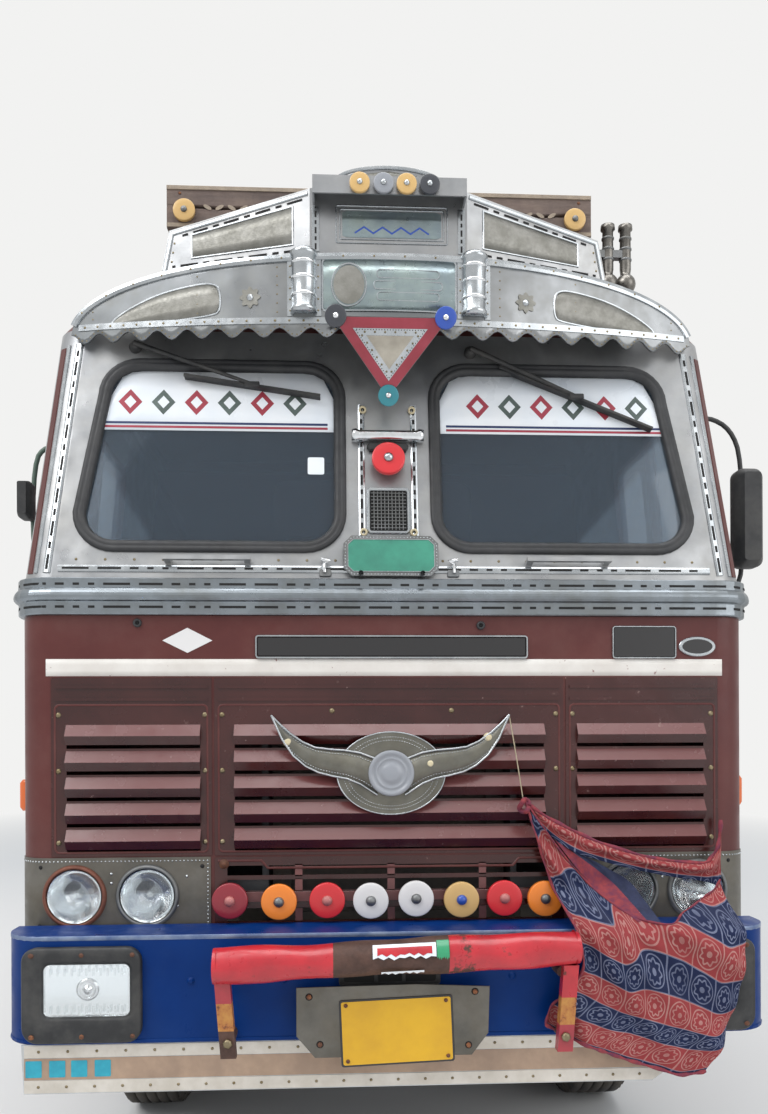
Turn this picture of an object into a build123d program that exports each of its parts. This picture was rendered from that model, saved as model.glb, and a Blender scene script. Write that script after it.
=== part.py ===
"""Three-axle forward-control haulage truck with a coachbuilt, decorated cab.

Millimetres. +X is to the right of someone facing the truck's front, +Y runs back along the truck, +Z up.
The origin is on the ground, under the middle of the truck's length and width.
"""
from build123d import *
import os
from math import cos, pi, sin, sqrt

os.makedirs("parts", exist_ok=True)

# Clearances between separate pieces
seat_gap = 0.3  # beside curved or press-formed seats
panel_gap = 6  # shut line round doors and the tailgate
pin_gap = 0.08  # radial, between a pin or spindle and its bearing

# Overall layout along Y, from the cowl's front face
bull_bar_reach = 356
load_length = 6900
load_start = 2090  # headboard's front face
tailgate_thickness = 60
gate_hinge_reach = 20  # how far the tailgate's hinges stand out behind it
body_half = 1220  # half width of the load body
rear_reach = load_start + load_length + panel_gap + tailgate_thickness + gate_hinge_reach
cowl_y = -(rear_reach - bull_bar_reach) / 2
front_axle_y = cowl_y + 1350
rear_axle_ys = [cowl_y + 5930, cowl_y + 7260]

# Tyres and wheels
tyre_radius = 520
tyre_width = 274
bead_radius = 262
tread_width = 220
front_track = 1930
twin_spacing = 316
twin_inset = 7  # how far the outer twin's side lies inside the load body's
rear_track = 2 * (body_half - twin_inset) - twin_spacing - tyre_width
hub_bore = 45
hub_height = tyre_radius

# Chassis frame
rail_top = 980
rail_height = 250
rail_web_x = 432  # outer face of each rail's web
rail_flange = 75
rail_plate = 10
rail_front = -120
rail_rear = load_start + load_length - 150

# Cab
cab_half_width = 1200
cab_top_half_width = 1120
cab_wall = 40
cab_depth = 1950
cab_floor_z = 1170
cowl_bottom = 1008
waist_z = 2030  # top of the pressed cowl, bottom of the belt rail
belt_top = 2150
frame_top = 3020  # top of the windscreen surround
screen_lean = 160  # how far the surround's top lies behind its foot
screen_foot = 10
corner_radius = 110
door_front = 390
door_rear = 1290
door_bottom = 1176
door_top = 2930
roof_thickness = 90


def box_between(low, high, mode=Mode.ADD):
    """A box from its lowest to its highest corner."""
    size = [b - a for a, b in zip(low, high)]
    middle = tuple((a + b) / 2 for a, b in zip(low, high))
    with Locations(middle):
        Box(*size, mode=mode)


def facing_front(y):
    """A sketch plane across the truck at y, seen from the front: local x is X and local y is Z."""
    return Plane(origin=(0, y, 0), x_dir=(1, 0, 0), z_dir=(0, -1, 0))


def facing_side(x):
    """A sketch plane along the truck at x: local x is Y and local y is Z."""
    return Plane(origin=(x, 0, 0), x_dir=(0, 1, 0), z_dir=(1, 0, 0))


def polygon_face(points, mode=Mode.ADD):
    """A filled outline in the sketch being built."""
    Polygon(*points, align=None, mode=mode)


def side_wall_profile(z_low, z_high, outer=0.0, inner=cab_wall):
    """The cab side's section across the truck, upright to the waist and leaning in above it."""
    lean = (cab_half_width - cab_top_half_width) / (frame_top - belt_top)

    def x_at(z):
        return cab_half_width - max(0, z - belt_top) * lean

    heights = [z for z in (belt_top,) if z_low < z < z_high]
    outside = [(x_at(z) - outer, z) for z in (z_low, *heights, z_high)]
    inside = [(x_at(z) - inner, z) for z in (z_high, *heights[::-1], z_low)]
    return outside + inside


def screen_y(z):
    """Front face of the windscreen surround at height z."""
    return cowl_y + screen_foot + (z - belt_top) * screen_lean / (frame_top - belt_top)


def wheel_section(x, y):
    """A sketch plane through the axle line at y, with local x measured outward in X from x."""
    return Plane(origin=(x, y, hub_height), x_dir=(1, 0, 0), z_dir=(0, -1, 0))


def axle_line(y):
    """The line that the wheels of the axle at y turn about."""
    return Axis((0, y, hub_height), (1, 0, 0))


def mirrored(points, side):
    """The outline as it stands on that side of the truck."""
    return [(side * u, v) for u, v in points]


pieces = {}

# Chassis: two channel rails, the cross members between them with the tow plate, and the underrun bar
rail_inner_x = rail_web_x - rail_flange
rail_foot = rail_top - rail_height
with BuildPart() as chassis_rails:
    with BuildSketch(facing_front(cowl_y + rail_front)):
        for side in (1, -1):
            channel = [
                (rail_web_x, rail_top),
                (rail_web_x, rail_foot),
                (rail_inner_x, rail_foot),
                (rail_inner_x, rail_foot + rail_plate),
                (rail_web_x - rail_plate, rail_foot + rail_plate),
                (rail_web_x - rail_plate, rail_top - rail_plate),
                (rail_inner_x, rail_top - rail_plate),
                (rail_inner_x, rail_top),
            ]
            polygon_face(mirrored(channel, side))
    extrude(amount=rail_front - rail_rear)
pieces["chassis_rails"] = chassis_rails

last_member = rail_rear - 90
cross_member_ys = [cowl_y + d for d in (0, 2130, 3300, 4600, 5930, 7260, last_member)]
cross_member_width = 90
tow_eye_y = cowl_y + rail_rear + 70
tow_eye_z = 855
tow_eye_radius = 20
tow_plate = 30
tow_plate_half = 60
member_low, member_high = rail_foot + rail_plate, rail_top - rail_plate
member_half = rail_web_x - rail_plate
with BuildPart() as cross_members:
    for y in cross_member_ys:
        box_between((-member_half, y, member_low), (member_half, y + rail_plate, member_high))
        for z in (member_low, member_high - rail_plate):
            box_between(
                (-member_half, y, z), (member_half, y + cross_member_width, z + rail_plate)
            )
    box_between(
        (-tow_plate_half, cowl_y + last_member + 4, tow_eye_z - tow_plate / 2),
        (tow_plate_half, tow_eye_y, tow_eye_z + tow_plate / 2),
    )
    with Locations((0, tow_eye_y, tow_eye_z)):
        Cylinder(tow_plate_half, tow_plate)
        Cylinder(tow_eye_radius, tow_plate, mode=Mode.SUBTRACT)
pieces["cross_members"] = cross_members

underrun_z = 560
underrun_half = 1150
underrun_size = 110
underrun_y = cowl_y + rail_rear - 60
with BuildPart() as rear_underrun:
    for side in (1, -1):
        ends = sorted((side * rail_inner_x, side * rail_web_x))
        box_between((ends[0], underrun_y, underrun_z), (ends[1], underrun_y + rail_plate, rail_foot))
    box_between(
        (-underrun_half, underrun_y - underrun_size, underrun_z - underrun_size / 2),
        (underrun_half, underrun_y, underrun_z + underrun_size / 2),
    )
pieces["rear_underrun"] = rear_underrun

# Front axle: dropped forged beam with an eye for each kingpin
kingpin_x = 805
kingpin_radius = 22
eye_radius = 50
eye_low, eye_high = 465, 575
beam_depth = 90
spring_pad_z = 500
with BuildPart() as front_axle_beam:
    with BuildSketch(facing_front(front_axle_y + beam_depth / 2)):
        right_half = [(770, 470), (770, 570), (690, 560), (500, spring_pad_z)]
        left_half = [(-x, z) for x, z in right_half[::-1]]
        polygon_face(right_half + left_half + [(-690, 455), (-520, 400), (520, 400), (690, 455)])
    extrude(amount=beam_depth)
    for side in (1, -1):
        with Locations((side * kingpin_x, front_axle_y, (eye_low + eye_high) / 2)):
            Cylinder(eye_radius, eye_high - eye_low)
            Cylinder(kingpin_radius + pin_gap, eye_high - eye_low, mode=Mode.SUBTRACT)
pieces["front_axle_beam"] = front_axle_beam

# Steering knuckles: yoke round the beam's eye, kingpin and stub axle, one for each side
yoke_arm = 40
yoke_gap = 4
yoke_half_depth = 55
yoke_back = eye_radius + 10
yoke_web = 38
stub_length = 150
for side, label in ((-1, "knuckle_right"), (1, "knuckle_left")):
    with BuildPart() as knuckle:
        for z_low in (eye_low - yoke_gap - yoke_arm, eye_high + yoke_gap):
            with Locations((side * kingpin_x, front_axle_y, z_low + yoke_arm / 2)):
                Cylinder(eye_radius, yoke_arm)
            ends = sorted((side * kingpin_x, side * (kingpin_x + yoke_back + 10)))
            box_between(
                (ends[0], front_axle_y - eye_radius, z_low),
                (ends[1], front_axle_y + eye_radius, z_low + yoke_arm),
            )
        ends = sorted((side * (kingpin_x + yoke_back), side * (kingpin_x + yoke_back + yoke_web)))
        box_between(
            (ends[0], front_axle_y - yoke_half_depth, eye_low - yoke_gap - yoke_arm),
            (ends[1], front_axle_y + yoke_half_depth, eye_high + yoke_gap + yoke_arm),
        )
        with Locations((side * kingpin_x, front_axle_y, (eye_low + eye_high) / 2)):
            Cylinder(kingpin_radius, eye_high - eye_low + 2 * (yoke_gap + yoke_arm))
        stub_start = kingpin_x + yoke_back + yoke_web
        with Locations((side * (stub_start + stub_length / 2), front_axle_y, hub_height)):
            Cylinder(hub_bore - pin_gap, stub_length, rotation=(0, 90, 0))
    pieces[label] = knuckle

# Rear axles: the driven one with its round casing, and the plain trailing one
wheel_mid = rear_track / 2  # from the truck's middle to the middle of a pair of twins
casing_end = wheel_mid - 183
spindle_end = wheel_mid + 92
casing_tube = 80
casing_half = 130
casing_radius = 205
pinion_z = hub_height + 40
pinion_nose = 300
pinion_nose_radius = 90
# x, radius of each half, from the middle out
trailing_profile = [(0, casing_tube), (casing_end, casing_tube)]
driven_profile = [(0, casing_radius), (casing_half, casing_radius), (casing_half, casing_tube)]
driven_profile += trailing_profile[1:]
with BuildPart() as rear_axles:
    for y, profile in zip(rear_axle_ys, (driven_profile, trailing_profile)):
        spindle = [(casing_end, hub_bore - pin_gap), (spindle_end, hub_bore - pin_gap)]
        half = profile + spindle
        outline = half + [(spindle_end, 0), (-spindle_end, 0)]
        outline += [(-x, r) for x, r in half[::-1] if x > 0]
        with BuildSketch(wheel_section(0, y)):
            polygon_face(outline)
        revolve(axis=axle_line(y))
    with BuildSketch(facing_front(rear_axle_ys[0])):
        with Locations((0, pinion_z)):
            Circle(pinion_nose_radius)
    extrude(amount=pinion_nose)
pieces["rear_axles"] = rear_axles


# Tyres and wheels: plain rings of their real size, on rims with a disc, a hub and a brake drum
rim_half = 117
rim_wall = 10
rim_radius = bead_radius - seat_gap
rim_inside = rim_radius - rim_wall
disc_plate = 14
disc_inner = 90
hub_radius = 100
drum_radius = 190
cap_wall = 20  # hub's end over the spindle
spindle_gap = 8  # between the spindle's end and the cap


def ring_outline(x_low, x_high, r_low, r_high):
    """A ring's section, from x_low to x_high along the axle."""
    return [(x_low, r_low), (x_high, r_low), (x_high, r_high), (x_low, r_high)]


def hub_outline(drum_start, drum_end, spindle_tip):
    """The section of a hub with its brake drum, closed over the spindle's tip."""
    bore_end = spindle_tip + spindle_gap
    return [
        (drum_start, hub_bore),
        (drum_start, drum_radius),
        (drum_end, drum_radius),
        (drum_end, hub_radius),
        (bore_end + cap_wall, hub_radius),
        (bore_end + cap_wall, 0),
        (bore_end, 0),
        (bore_end, hub_bore),
    ]


front_x = front_track / 2
front_disc_x = 60
front_hub = hub_outline(
    stub_start + spindle_gap - front_x, -20, stub_start + stub_length - front_x
)
tyre_side = tyre_width / 2
for side, label in ((-1, "right"), (1, "left")):
    with BuildPart() as tyre:
        with BuildSketch(wheel_section(side * front_x, front_axle_y)):
            polygon_face(ring_outline(-tyre_side, tyre_side, bead_radius, tyre_radius))
        revolve(axis=axle_line(front_axle_y))
    with BuildPart() as wheel:
        with BuildSketch(wheel_section(side * front_x, front_axle_y)):
            polygon_face(ring_outline(-rim_half, rim_half, rim_inside, rim_radius))
            disc = ring_outline(front_disc_x, front_disc_x + disc_plate, disc_inner, rim_inside + 1)
            for outline in (disc, front_hub):
                polygon_face(mirrored(outline, side))
        revolve(axis=axle_line(front_axle_y))
    pieces["front_tyre_" + label] = tyre
    pieces["front_wheel_" + label] = wheel

twin_hub = hub_outline(-168, -54, spindle_end - wheel_mid)
twin_rim_half = rim_half + twin_spacing / 2
for n, y in enumerate(rear_axle_ys, start=1):
    for side, label in ((-1, "right"), (1, "left")):
        with BuildPart() as tyres:
            with BuildSketch(wheel_section(side * wheel_mid, y)):
                for x in (-twin_spacing / 2, twin_spacing / 2):
                    polygon_face(
                        ring_outline(x - tyre_side, x + tyre_side, bead_radius, tyre_radius)
                    )
            revolve(axis=axle_line(y))
        with BuildPart() as wheels:
            with BuildSketch(wheel_section(side * wheel_mid, y)):
                polygon_face(ring_outline(-twin_rim_half, twin_rim_half, rim_inside, rim_radius))
                polygon_face(ring_outline(-disc_plate, disc_plate, disc_inner, rim_inside + 1))
                polygon_face(mirrored(twin_hub, side))
            revolve(axis=axle_line(y))
        pieces[f"rear_tyres_{n}_{label}"] = tyres
        pieces[f"rear_wheels_{n}_{label}"] = wheels

# Leaf springs: packs of curved leaves, each shorter than the one above, with their frame hangers
spring_x = 392
leaf_width = 70
leaf_group = 29  # leaves drawn as one, of the same length
hanger_length = 70
# axle y, underside of the pack, half span, radius of the top leaf, share of the span for each group
spring_packs = [
    (front_axle_y, spring_pad_z, 640, 2150, (1.0, 0.7, 0.4)),
    (rear_axle_ys[0], hub_height + casing_tube + 8, 540, 9000, (1.0, 0.7, 0.4)),
    (rear_axle_ys[1], hub_height + casing_tube + 8, 540, 9000, (1.0, 0.7, 0.4)),
]
with BuildPart() as leaf_springs:
    for y, underside, half_span, radius, shares in spring_packs:
        top_z = underside + leaf_group * len(shares)
        centre_z = top_z + radius
        for side in (1, -1):
            x_low = side * spring_x - leaf_width / 2
            with BuildSketch(facing_side(x_low)):
                for n, share in enumerate(shares):
                    inner, outer = radius + leaf_group * n, radius + leaf_group * (n + 1)
                    angle = half_span * share / radius
                    with BuildLine():
                        corners = [
                            (y + s * r * sin(angle), centre_z - r * cos(angle))
                            for s, r in ((-1, inner), (1, inner), (1, outer), (-1, outer))
                        ]
                        ThreePointArc(corners[0], (y, centre_z - inner), corners[1])
                        Line(corners[1], corners[2])
                        ThreePointArc(corners[2], (y, centre_z - outer), corners[3])
                        Line(corners[3], corners[0])
                    make_face()
            extrude(amount=leaf_width)
            end_z = centre_z - sqrt(radius**2 - half_span**2)
            for end in (-1, 1):
                y_end = y + end * (half_span - hanger_length / 2)
                box_between(
                    (x_low, y_end - hanger_length / 2, end_z - 45),
                    (x_low + leaf_width, y_end + hanger_length / 2, rail_foot),
                )
            if y != front_axle_y:
                box_between(
                    (x_low, y - 60, hub_height + casing_tube - 40),
                    (x_low + leaf_width, y + 60, underside + 4),
                )
                with Locations((side * spring_x, y, hub_height)):
                    Cylinder(
                        casing_tube + seat_gap,
                        leaf_width + 2,
                        rotation=(0, 90, 0),
                        mode=Mode.SUBTRACT,
                    )
pieces["leaf_springs"] = leaf_springs

# Engine as a plain block, radiator behind the grille, gearbox and propeller shafts
engine_low = (-330, cowl_y + 330, 640)
engine_high = (330, cowl_y + 1380, 1500)
with BuildPart() as engine_block:
    box_between(engine_low, engine_high)
    for side in (1, -1):
        ends = sorted((side * (engine_high[0] - 1), side * rail_web_x))
        for y in (cowl_y + 420, cowl_y + 1240):
            box_between((ends[0], y, rail_top), (ends[1], y + 80, rail_top + 40))
pieces["engine_block"] = engine_block

radiator_half = 390
radiator_y = 110
radiator_depth = 90
radiator_low, radiator_high = rail_top, 1790
with BuildPart() as radiator:
    box_between(
        (-radiator_half, cowl_y + radiator_y, radiator_low),
        (radiator_half, cowl_y + radiator_y + radiator_depth, radiator_high),
    )
    # recessed core between the side tanks
    box_between(
        (-radiator_half + 60, cowl_y + radiator_y, radiator_low + 70),
        (radiator_half - 60, cowl_y + radiator_y + 20, radiator_high - 70),
        mode=Mode.SUBTRACT,
    )
pieces["radiator"] = radiator

shaft_radius = 48
joint_radius, joint_length = 82, 34
gearbox_end = 2060
gearbox_z = 680
with BuildPart() as driveline:
    box_between((-190, engine_high[1], 650), (190, cowl_y + 1700, 1080))
    box_between((-150, cowl_y + 1699, 590), (150, cowl_y + gearbox_end, 1000))
    start = Vector(0, cowl_y + gearbox_end, gearbox_z)
    end = Vector(0, rear_axle_ys[0] - pinion_nose - 20, pinion_z)
    run = end - start
    with BuildSketch(Plane(origin=start - run * 0.005, z_dir=run)):
        Circle(shaft_radius)
    extrude(amount=run.length * 1.005)
    for share in (0.005, 0.5):
        with BuildSketch(Plane(origin=start + run * share, z_dir=run)):
            Circle(joint_radius)
        extrude(amount=joint_length)
    with BuildSketch(facing_front(rear_axle_ys[0] - pinion_nose)):
        with Locations((0, pinion_z)):
            Circle(joint_radius)
    extrude(amount=joint_length)
pieces["driveline"] = driveline

# Silencer under the left rail with its pipes
silencer_radius = 130
silencer_x, silencer_z = 620, 720
silencer_y, silencer_length = 2250, 900
pipe_radius = 42
with BuildPart() as exhaust:
    with BuildSketch(facing_front(cowl_y + silencer_y)):
        with Locations((silencer_x, silencer_z)):
            Circle(silencer_radius)
    extrude(amount=-silencer_length)
    with BuildSketch(facing_front(cowl_y + 1990)):
        with Locations((silencer_x - 110, silencer_z)):
            Circle(pipe_radius)
    extrude(amount=-(silencer_y - 1990))
    with BuildSketch(facing_front(cowl_y + silencer_y + silencer_length)):
        with Locations((silencer_x + 20, silencer_z - 20)):
            Circle(pipe_radius)
    extrude(amount=-250)
    for y in (silencer_y + 120, silencer_y + silencer_length - 180):
        box_between(
            (rail_web_x, cowl_y + y, silencer_z + 60),
            (silencer_x, cowl_y + y + 60, silencer_z + silencer_radius + 6),
        )
pieces["exhaust"] = exhaust

# Fuel tank on the right, air reservoirs and battery box on the left, strapped to the rails
tank_x = (rail_web_x + 30, 1090)
tank_z = (470, 1010)
tank_y = (2250, 3350)
tank_round = 70
reservoir_radius = 125
with BuildPart() as side_tanks:
    with BuildSketch(facing_front(cowl_y + tank_y[0])):
        with Locations((-(tank_x[0] + tank_x[1]) / 2, (tank_z[0] + tank_z[1]) / 2)):
            RectangleRounded(tank_x[1] - tank_x[0], tank_z[1] - tank_z[0], tank_round)
    extrude(amount=tank_y[0] - tank_y[1])
    for y in (2450, 3090):
        box_between(
            (-tank_x[0] - 40, cowl_y + y, rail_foot + 40),
            (-rail_web_x, cowl_y + y + 60, rail_top - 40),
        )
    for n in range(2):
        y_start = cowl_y + 3500 + 760 * n
        with BuildSketch(facing_front(y_start)):
            with Locations((rail_web_x + 60 + reservoir_radius, rail_foot + 30)):
                Circle(reservoir_radius)
        extrude(amount=-680)
        for shift in (120, 500):
            box_between(
                (rail_web_x, y_start + shift, rail_foot + 60),
                (rail_web_x + 60 + reservoir_radius, y_start + shift + 50, rail_foot + 100),
            )
pieces["side_tanks"] = side_tanks

# Front bumper: pressed beam wrapped round both ends, on brackets from the rails
bumper_face = -200
bumper_half = 1185
bumper_low, bumper_mid, bumper_high = 715, 1000, 1040
bumper_plate = 8
bumper_return = 250
panel_plate = 3


def lug_starts(middle):
    """Where the two lugs start that hold a hinge barrel between them."""
    reach = barrel_length / 2 + lug_gap
    return (middle - reach - lug_length, middle + reach)


def plan_outline(half_width, front, rear, radius):
    """A plan outline in the sketch being built, rounded at both front corners."""
    with Locations((0, cowl_y + (front + rear) / 2)):
        Rectangle(2 * half_width, rear - front)
    corners = vertices().group_by(Axis.Y)[0]
    fillet(corners, radius=radius)


with BuildPart() as front_bumper:
    with BuildSketch(Plane.XY.offset(bumper_low)):
        plan_outline(bumper_half, bumper_face, bumper_return, 120)
    extrude(amount=bumper_high - bumper_low)
    with BuildSketch(Plane.XY.offset(bumper_low)):
        plan_outline(
            bumper_half - bumper_plate,
            bumper_face + bumper_plate,
            bumper_return + 1,
            120 - bumper_plate,
        )
    extrude(amount=bumper_high - bumper_plate - bumper_low, mode=Mode.SUBTRACT)
    box_between(
        (-cab_half_width, cowl_y - 20, bumper_mid),
        (cab_half_width, cowl_y + bumper_return + 1, bumper_high + 1),
        mode=Mode.SUBTRACT,
    )
    for side in (1, -1):
        ends = sorted((side * (rail_web_x - rail_flange), side * rail_web_x))
        box_between(
            (ends[0], cowl_y + bumper_face + 4, rail_foot + 20),
            (ends[1], cowl_y + rail_front, rail_top - 20),
        )
pieces["front_bumper"] = front_bumper

# Apron sheet below the bumper, torn away at its left end
skirt_low, skirt_high = 565, 745
with BuildPart() as bumper_skirt:
    with BuildSketch(facing_front(cowl_y + bumper_face + bumper_plate)):
        polygon_face([(-1060, skirt_high), (-1060, skirt_low), (800, skirt_low), (1060, skirt_high)])
        polygon_face(
            [
                (-1060, skirt_low),
                (-1060, bumper_low - 1),
                (-1127, bumper_low - 1),
                (-1120, skirt_low),
            ]
        )
    extrude(amount=-4)
pieces["bumper_skirt"] = bumper_skirt

# Bull bar: one stout tube on two legs bolted to the bumper
bar_radius = 56
bar_y, bar_z = -300, 985
bar_half = 540
bar_tilt = 2  # degrees that its left end stands high
leg_width = 50
with BuildPart() as bull_bar:
    with Locations((0, cowl_y + bar_y, bar_z)):
        Cylinder(bar_radius, 2 * bar_half, rotation=(0, 90 - bar_tilt, 0))
    for side in (1, -1):
        ends = sorted((side * (bar_half - 20), side * (bar_half - 20 - leg_width)))
        box_between(
            (ends[0], cowl_y + bar_y - 20, 700),
            (ends[1], cowl_y + bar_y + 20, bar_z),
        )
        for z in (725, 930):
            box_between(
                (ends[0], cowl_y + bar_y + 10, z),
                (ends[1], cowl_y + bumper_face, z + 40),
            )
pieces["bull_bar"] = bull_bar

# Lower cab front: pressed steel cowl with openings for the grille, the radiator air and the lamps
cowl_return = door_front - panel_gap
seam_x = 574
lamp_xs = (785, 1016)
lamp_z = 1128
lamp_hole = 95
hinge_x = cab_half_width + 12
hinge_y = 387
hinge_zs = (1400, 1900)
hinge_pin = 6
hinge_barrel = 12
barrel_length = 60
lug_length = 20
lug_gap = 0.5
# x_low, x_high, z_low, z_high
cowl_openings = [
    (-544, 544, 1036, 1232),
    (-544, 544, 1272, 1730),
    (604, 1050, 1272, 1730),
    (-1050, -604, 1272, 1730),
]
with BuildPart() as cowl_panel:
    with BuildSketch(Plane.XY.offset(cowl_bottom)):
        plan_outline(cab_half_width, 0, cowl_return, corner_radius)
    extrude(amount=waist_z - cowl_bottom)
    with BuildSketch(Plane.XY.offset(cowl_bottom)):
        plan_outline(
            cab_half_width - cab_wall, cab_wall, cowl_return + 1, corner_radius - cab_wall
        )
    extrude(amount=waist_z - cowl_bottom, mode=Mode.SUBTRACT)
    for x_low, x_high, z_low, z_high in cowl_openings:
        box_between(
            (x_low, cowl_y - 1, z_low),
            (x_high, cowl_y + cab_wall + 1, z_high),
            mode=Mode.SUBTRACT,
        )
    with BuildSketch(facing_front(cowl_y - 1)):
        with Locations(*[(side * x, lamp_z) for side in (1, -1) for x in lamp_xs]):
            Circle(lamp_hole)
    extrude(amount=-cab_wall - 2, mode=Mode.SUBTRACT)
    for side in (1, -1):
        for z in hinge_zs:
            for low in lug_starts(z):
                with Locations((side * hinge_x, cowl_y + hinge_y, low + lug_length / 2)):
                    Cylinder(hinge_barrel, lug_length)
                ends = sorted((side * cab_half_width, side * (hinge_x - 2)))
                box_between(
                    (ends[0], cowl_y + hinge_y - 60, low),
                    (ends[1], cowl_y + hinge_y - 4, low + lug_length),
                )
            with Locations((side * hinge_x, cowl_y + hinge_y, z)):
                Cylinder(hinge_pin, barrel_length + 2 * lug_gap + 2)
pieces["cowl_panel"] = cowl_panel

# Grille: louvred sheets screwed to the cowl, and the slotted sheet below them
louvre_pitch = 84
louvre_tops = [1680 - louvre_pitch * n for n in range(5)]
louvre_sheet = 3
louvre_profile = [
    (0, 0),
    (-25, -38),
    (-8, -66),
    (-4, -64),
    (-20, -38),
    (0, -8),
]
louvre_cheek = [(0, 0), (-25, -38), (-8, -66), (0, -66)]
louvre_root = cowl_y - louvre_sheet + 1
# sheet x_low, x_high, louvre x_low, x_high
grille_sheets = [
    (-570, 570, -505, 505),
    (578, 1088, 615, 1040),
    (-1088, -578, -1040, -615),
]
grille_low, grille_high = 1256, 1830
with BuildPart() as grilles:
    for x_low, x_high, slot_low, slot_high in grille_sheets:
        box_between(
            (x_low, cowl_y - louvre_sheet, grille_low), (x_high, cowl_y, grille_high)
        )
        for top in louvre_tops:
            box_between(
                (slot_low, cowl_y - louvre_sheet - 1, top - 78),
                (slot_high, cowl_y + 1, top - 8),
                mode=Mode.SUBTRACT,
            )
            with BuildSketch(facing_side(slot_low)):
                polygon_face([(louvre_root + a, top + b) for a, b in louvre_profile])
            extrude(amount=slot_high - slot_low)
            for x in (slot_low - 1, slot_high - 3):
                with BuildSketch(facing_side(x)):
                    polygon_face([(louvre_root + a, top + b) for a, b in louvre_cheek])
                extrude(amount=4)
        for z in (1760, 1800):
            box_between(
                (x_low + 12, cowl_y - louvre_sheet - 5, z - 5),
                (x_high - 12, cowl_y - louvre_sheet, z + 5),
            )
    box_between((-570, cowl_y - louvre_sheet, 1012), (570, cowl_y, 1250))
    for z_low, z_high in ((1040, 1084), (1140, 1176), (1190, 1222)):
        box_between(
            (-530, cowl_y - louvre_sheet - 1, z_low), (530, cowl_y + 1, z_high), mode=Mode.SUBTRACT
        )
pieces["grilles"] = grilles

# Headlamp panels wrapped round the cowl's corners
lamp_panel_hole = 90
with BuildPart() as headlamp_panels:
    with BuildSketch(Plane.XY.offset(cowl_bottom)):
        plan_outline(
            cab_half_width + panel_plate, -panel_plate, cowl_return, corner_radius + panel_plate
        )
    extrude(amount=1252 - cowl_bottom)
    with BuildSketch(Plane.XY.offset(cowl_bottom)):
        plan_outline(cab_half_width, 0, cowl_return + 1, corner_radius)
    extrude(amount=1252 - cowl_bottom, mode=Mode.SUBTRACT)
    box_between(
        (-583, cowl_y - 10, cowl_bottom - 1), (583, cowl_y + 10, 1260), mode=Mode.SUBTRACT
    )
    box_between(
        (-1300, cowl_y + 150, cowl_bottom - 1), (1300, cowl_y + 500, 1260), mode=Mode.SUBTRACT
    )
    with BuildSketch(facing_front(cowl_y - panel_plate - 1)):
        with Locations(*[(side * x, lamp_z) for side in (1, -1) for x in lamp_xs]):
            Circle(lamp_panel_hole)
    extrude(amount=-panel_plate - 2, mode=Mode.SUBTRACT)
pieces["headlamp_panels"] = headlamp_panels

# Lamp bezels: rings on the headlamp panels and frames on the bumper
lens_radius = 88
lens_depth = 50
ring_radius = 102
# x_low, x_high, z_low, z_high
lower_lamp = (799, 1052, 804, 958)
lower_frame = (764, 1116, 723, 1009)
frame_corner, lamp_corner = 45, 18
lamp_back = 10  # sheet left behind the lower lamps' glasses
frame_depth = 25


def lamp_rectangle(limits, side, radius):
    """A rectangle between x and z limits in the sketch being built, on that side of the truck."""
    x_low, x_high, z_low, z_high = limits
    with Locations((side * (x_low + x_high) / 2, (z_low + z_high) / 2)):
        RectangleRounded(x_high - x_low, z_high - z_low, radius)


with BuildPart() as lamp_bezels:
    with BuildSketch(facing_front(cowl_y - panel_plate)):
        with Locations(*[(side * x, lamp_z) for side in (1, -1) for x in lamp_xs]):
            Circle(ring_radius)
            Circle(lens_radius + seat_gap, mode=Mode.SUBTRACT)
    extrude(amount=12)
    for side in (1, -1):
        with BuildSketch(facing_front(cowl_y + bumper_face)):
            lamp_rectangle(lower_frame, side, frame_corner)
        extrude(amount=frame_depth)
        with BuildSketch(facing_front(cowl_y + bumper_face - lamp_back)):
            lamp_rectangle(lower_lamp, side, lamp_corner)
        extrude(amount=frame_depth, mode=Mode.SUBTRACT)
pieces["lamp_bezels"] = lamp_bezels

# Lamp glasses: round headlamps with their shells behind, rectangular lamps on the bumper
with BuildPart() as lamp_lenses:
    for side in (1, -1):
        for x in lamp_xs:
            with BuildSketch(facing_front(cowl_y - 14)):
                with Locations((side * x, lamp_z)):
                    Circle(lens_radius)
            extrude(amount=-lens_depth)
        with BuildSketch(facing_front(cowl_y + bumper_face - lamp_back)):
            lamp_rectangle(lower_lamp, side, lamp_corner)
        extrude(amount=10)
pieces["lamp_lenses"] = lamp_lenses

# Belt rail: stainless band between the cowl and the windscreen surround
with BuildPart() as belt_rail:
    with BuildSketch(Plane.XY.offset(waist_z)):
        plan_outline(cab_half_width + 4, -26, cowl_return, corner_radius)
    extrude(amount=belt_top - waist_z)
    with BuildSketch(Plane.XY.offset(waist_z)):
        plan_outline(cab_half_width - cab_wall, cab_wall, cowl_return + 1, corner_radius - cab_wall)
    extrude(amount=belt_top - waist_z, mode=Mode.SUBTRACT)
pieces["belt_rail"] = belt_rail

# Windscreen surround: leaning steel shell with two rounded openings and the A-pillars
screen_plane = Plane(
    origin=(0, cowl_y + screen_foot, belt_top),
    x_dir=(1, 0, 0),
    z_dir=(0, -(frame_top - belt_top), screen_lean),
)
slope = sqrt((frame_top - belt_top) ** 2 + screen_lean**2) / (frame_top - belt_top)


def on_screen(z):
    """Distance up the leaning screen plane at height z."""
    return (z - belt_top) * slope


window_inner = 155  # upright edge beside the centre pillar
window_outer = (1015, 948)  # leaning edge, at its foot and its top
window_z = (2255, 2900)
window_corner = 120
# middles of one windscreen's four round corners
window_centres = [
    (x, on_screen(z) + lift)
    for z, outer, lift in zip(window_z, window_outer, (window_corner, -window_corner))
    for x in (window_inner + window_corner, outer - window_corner)
]


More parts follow.
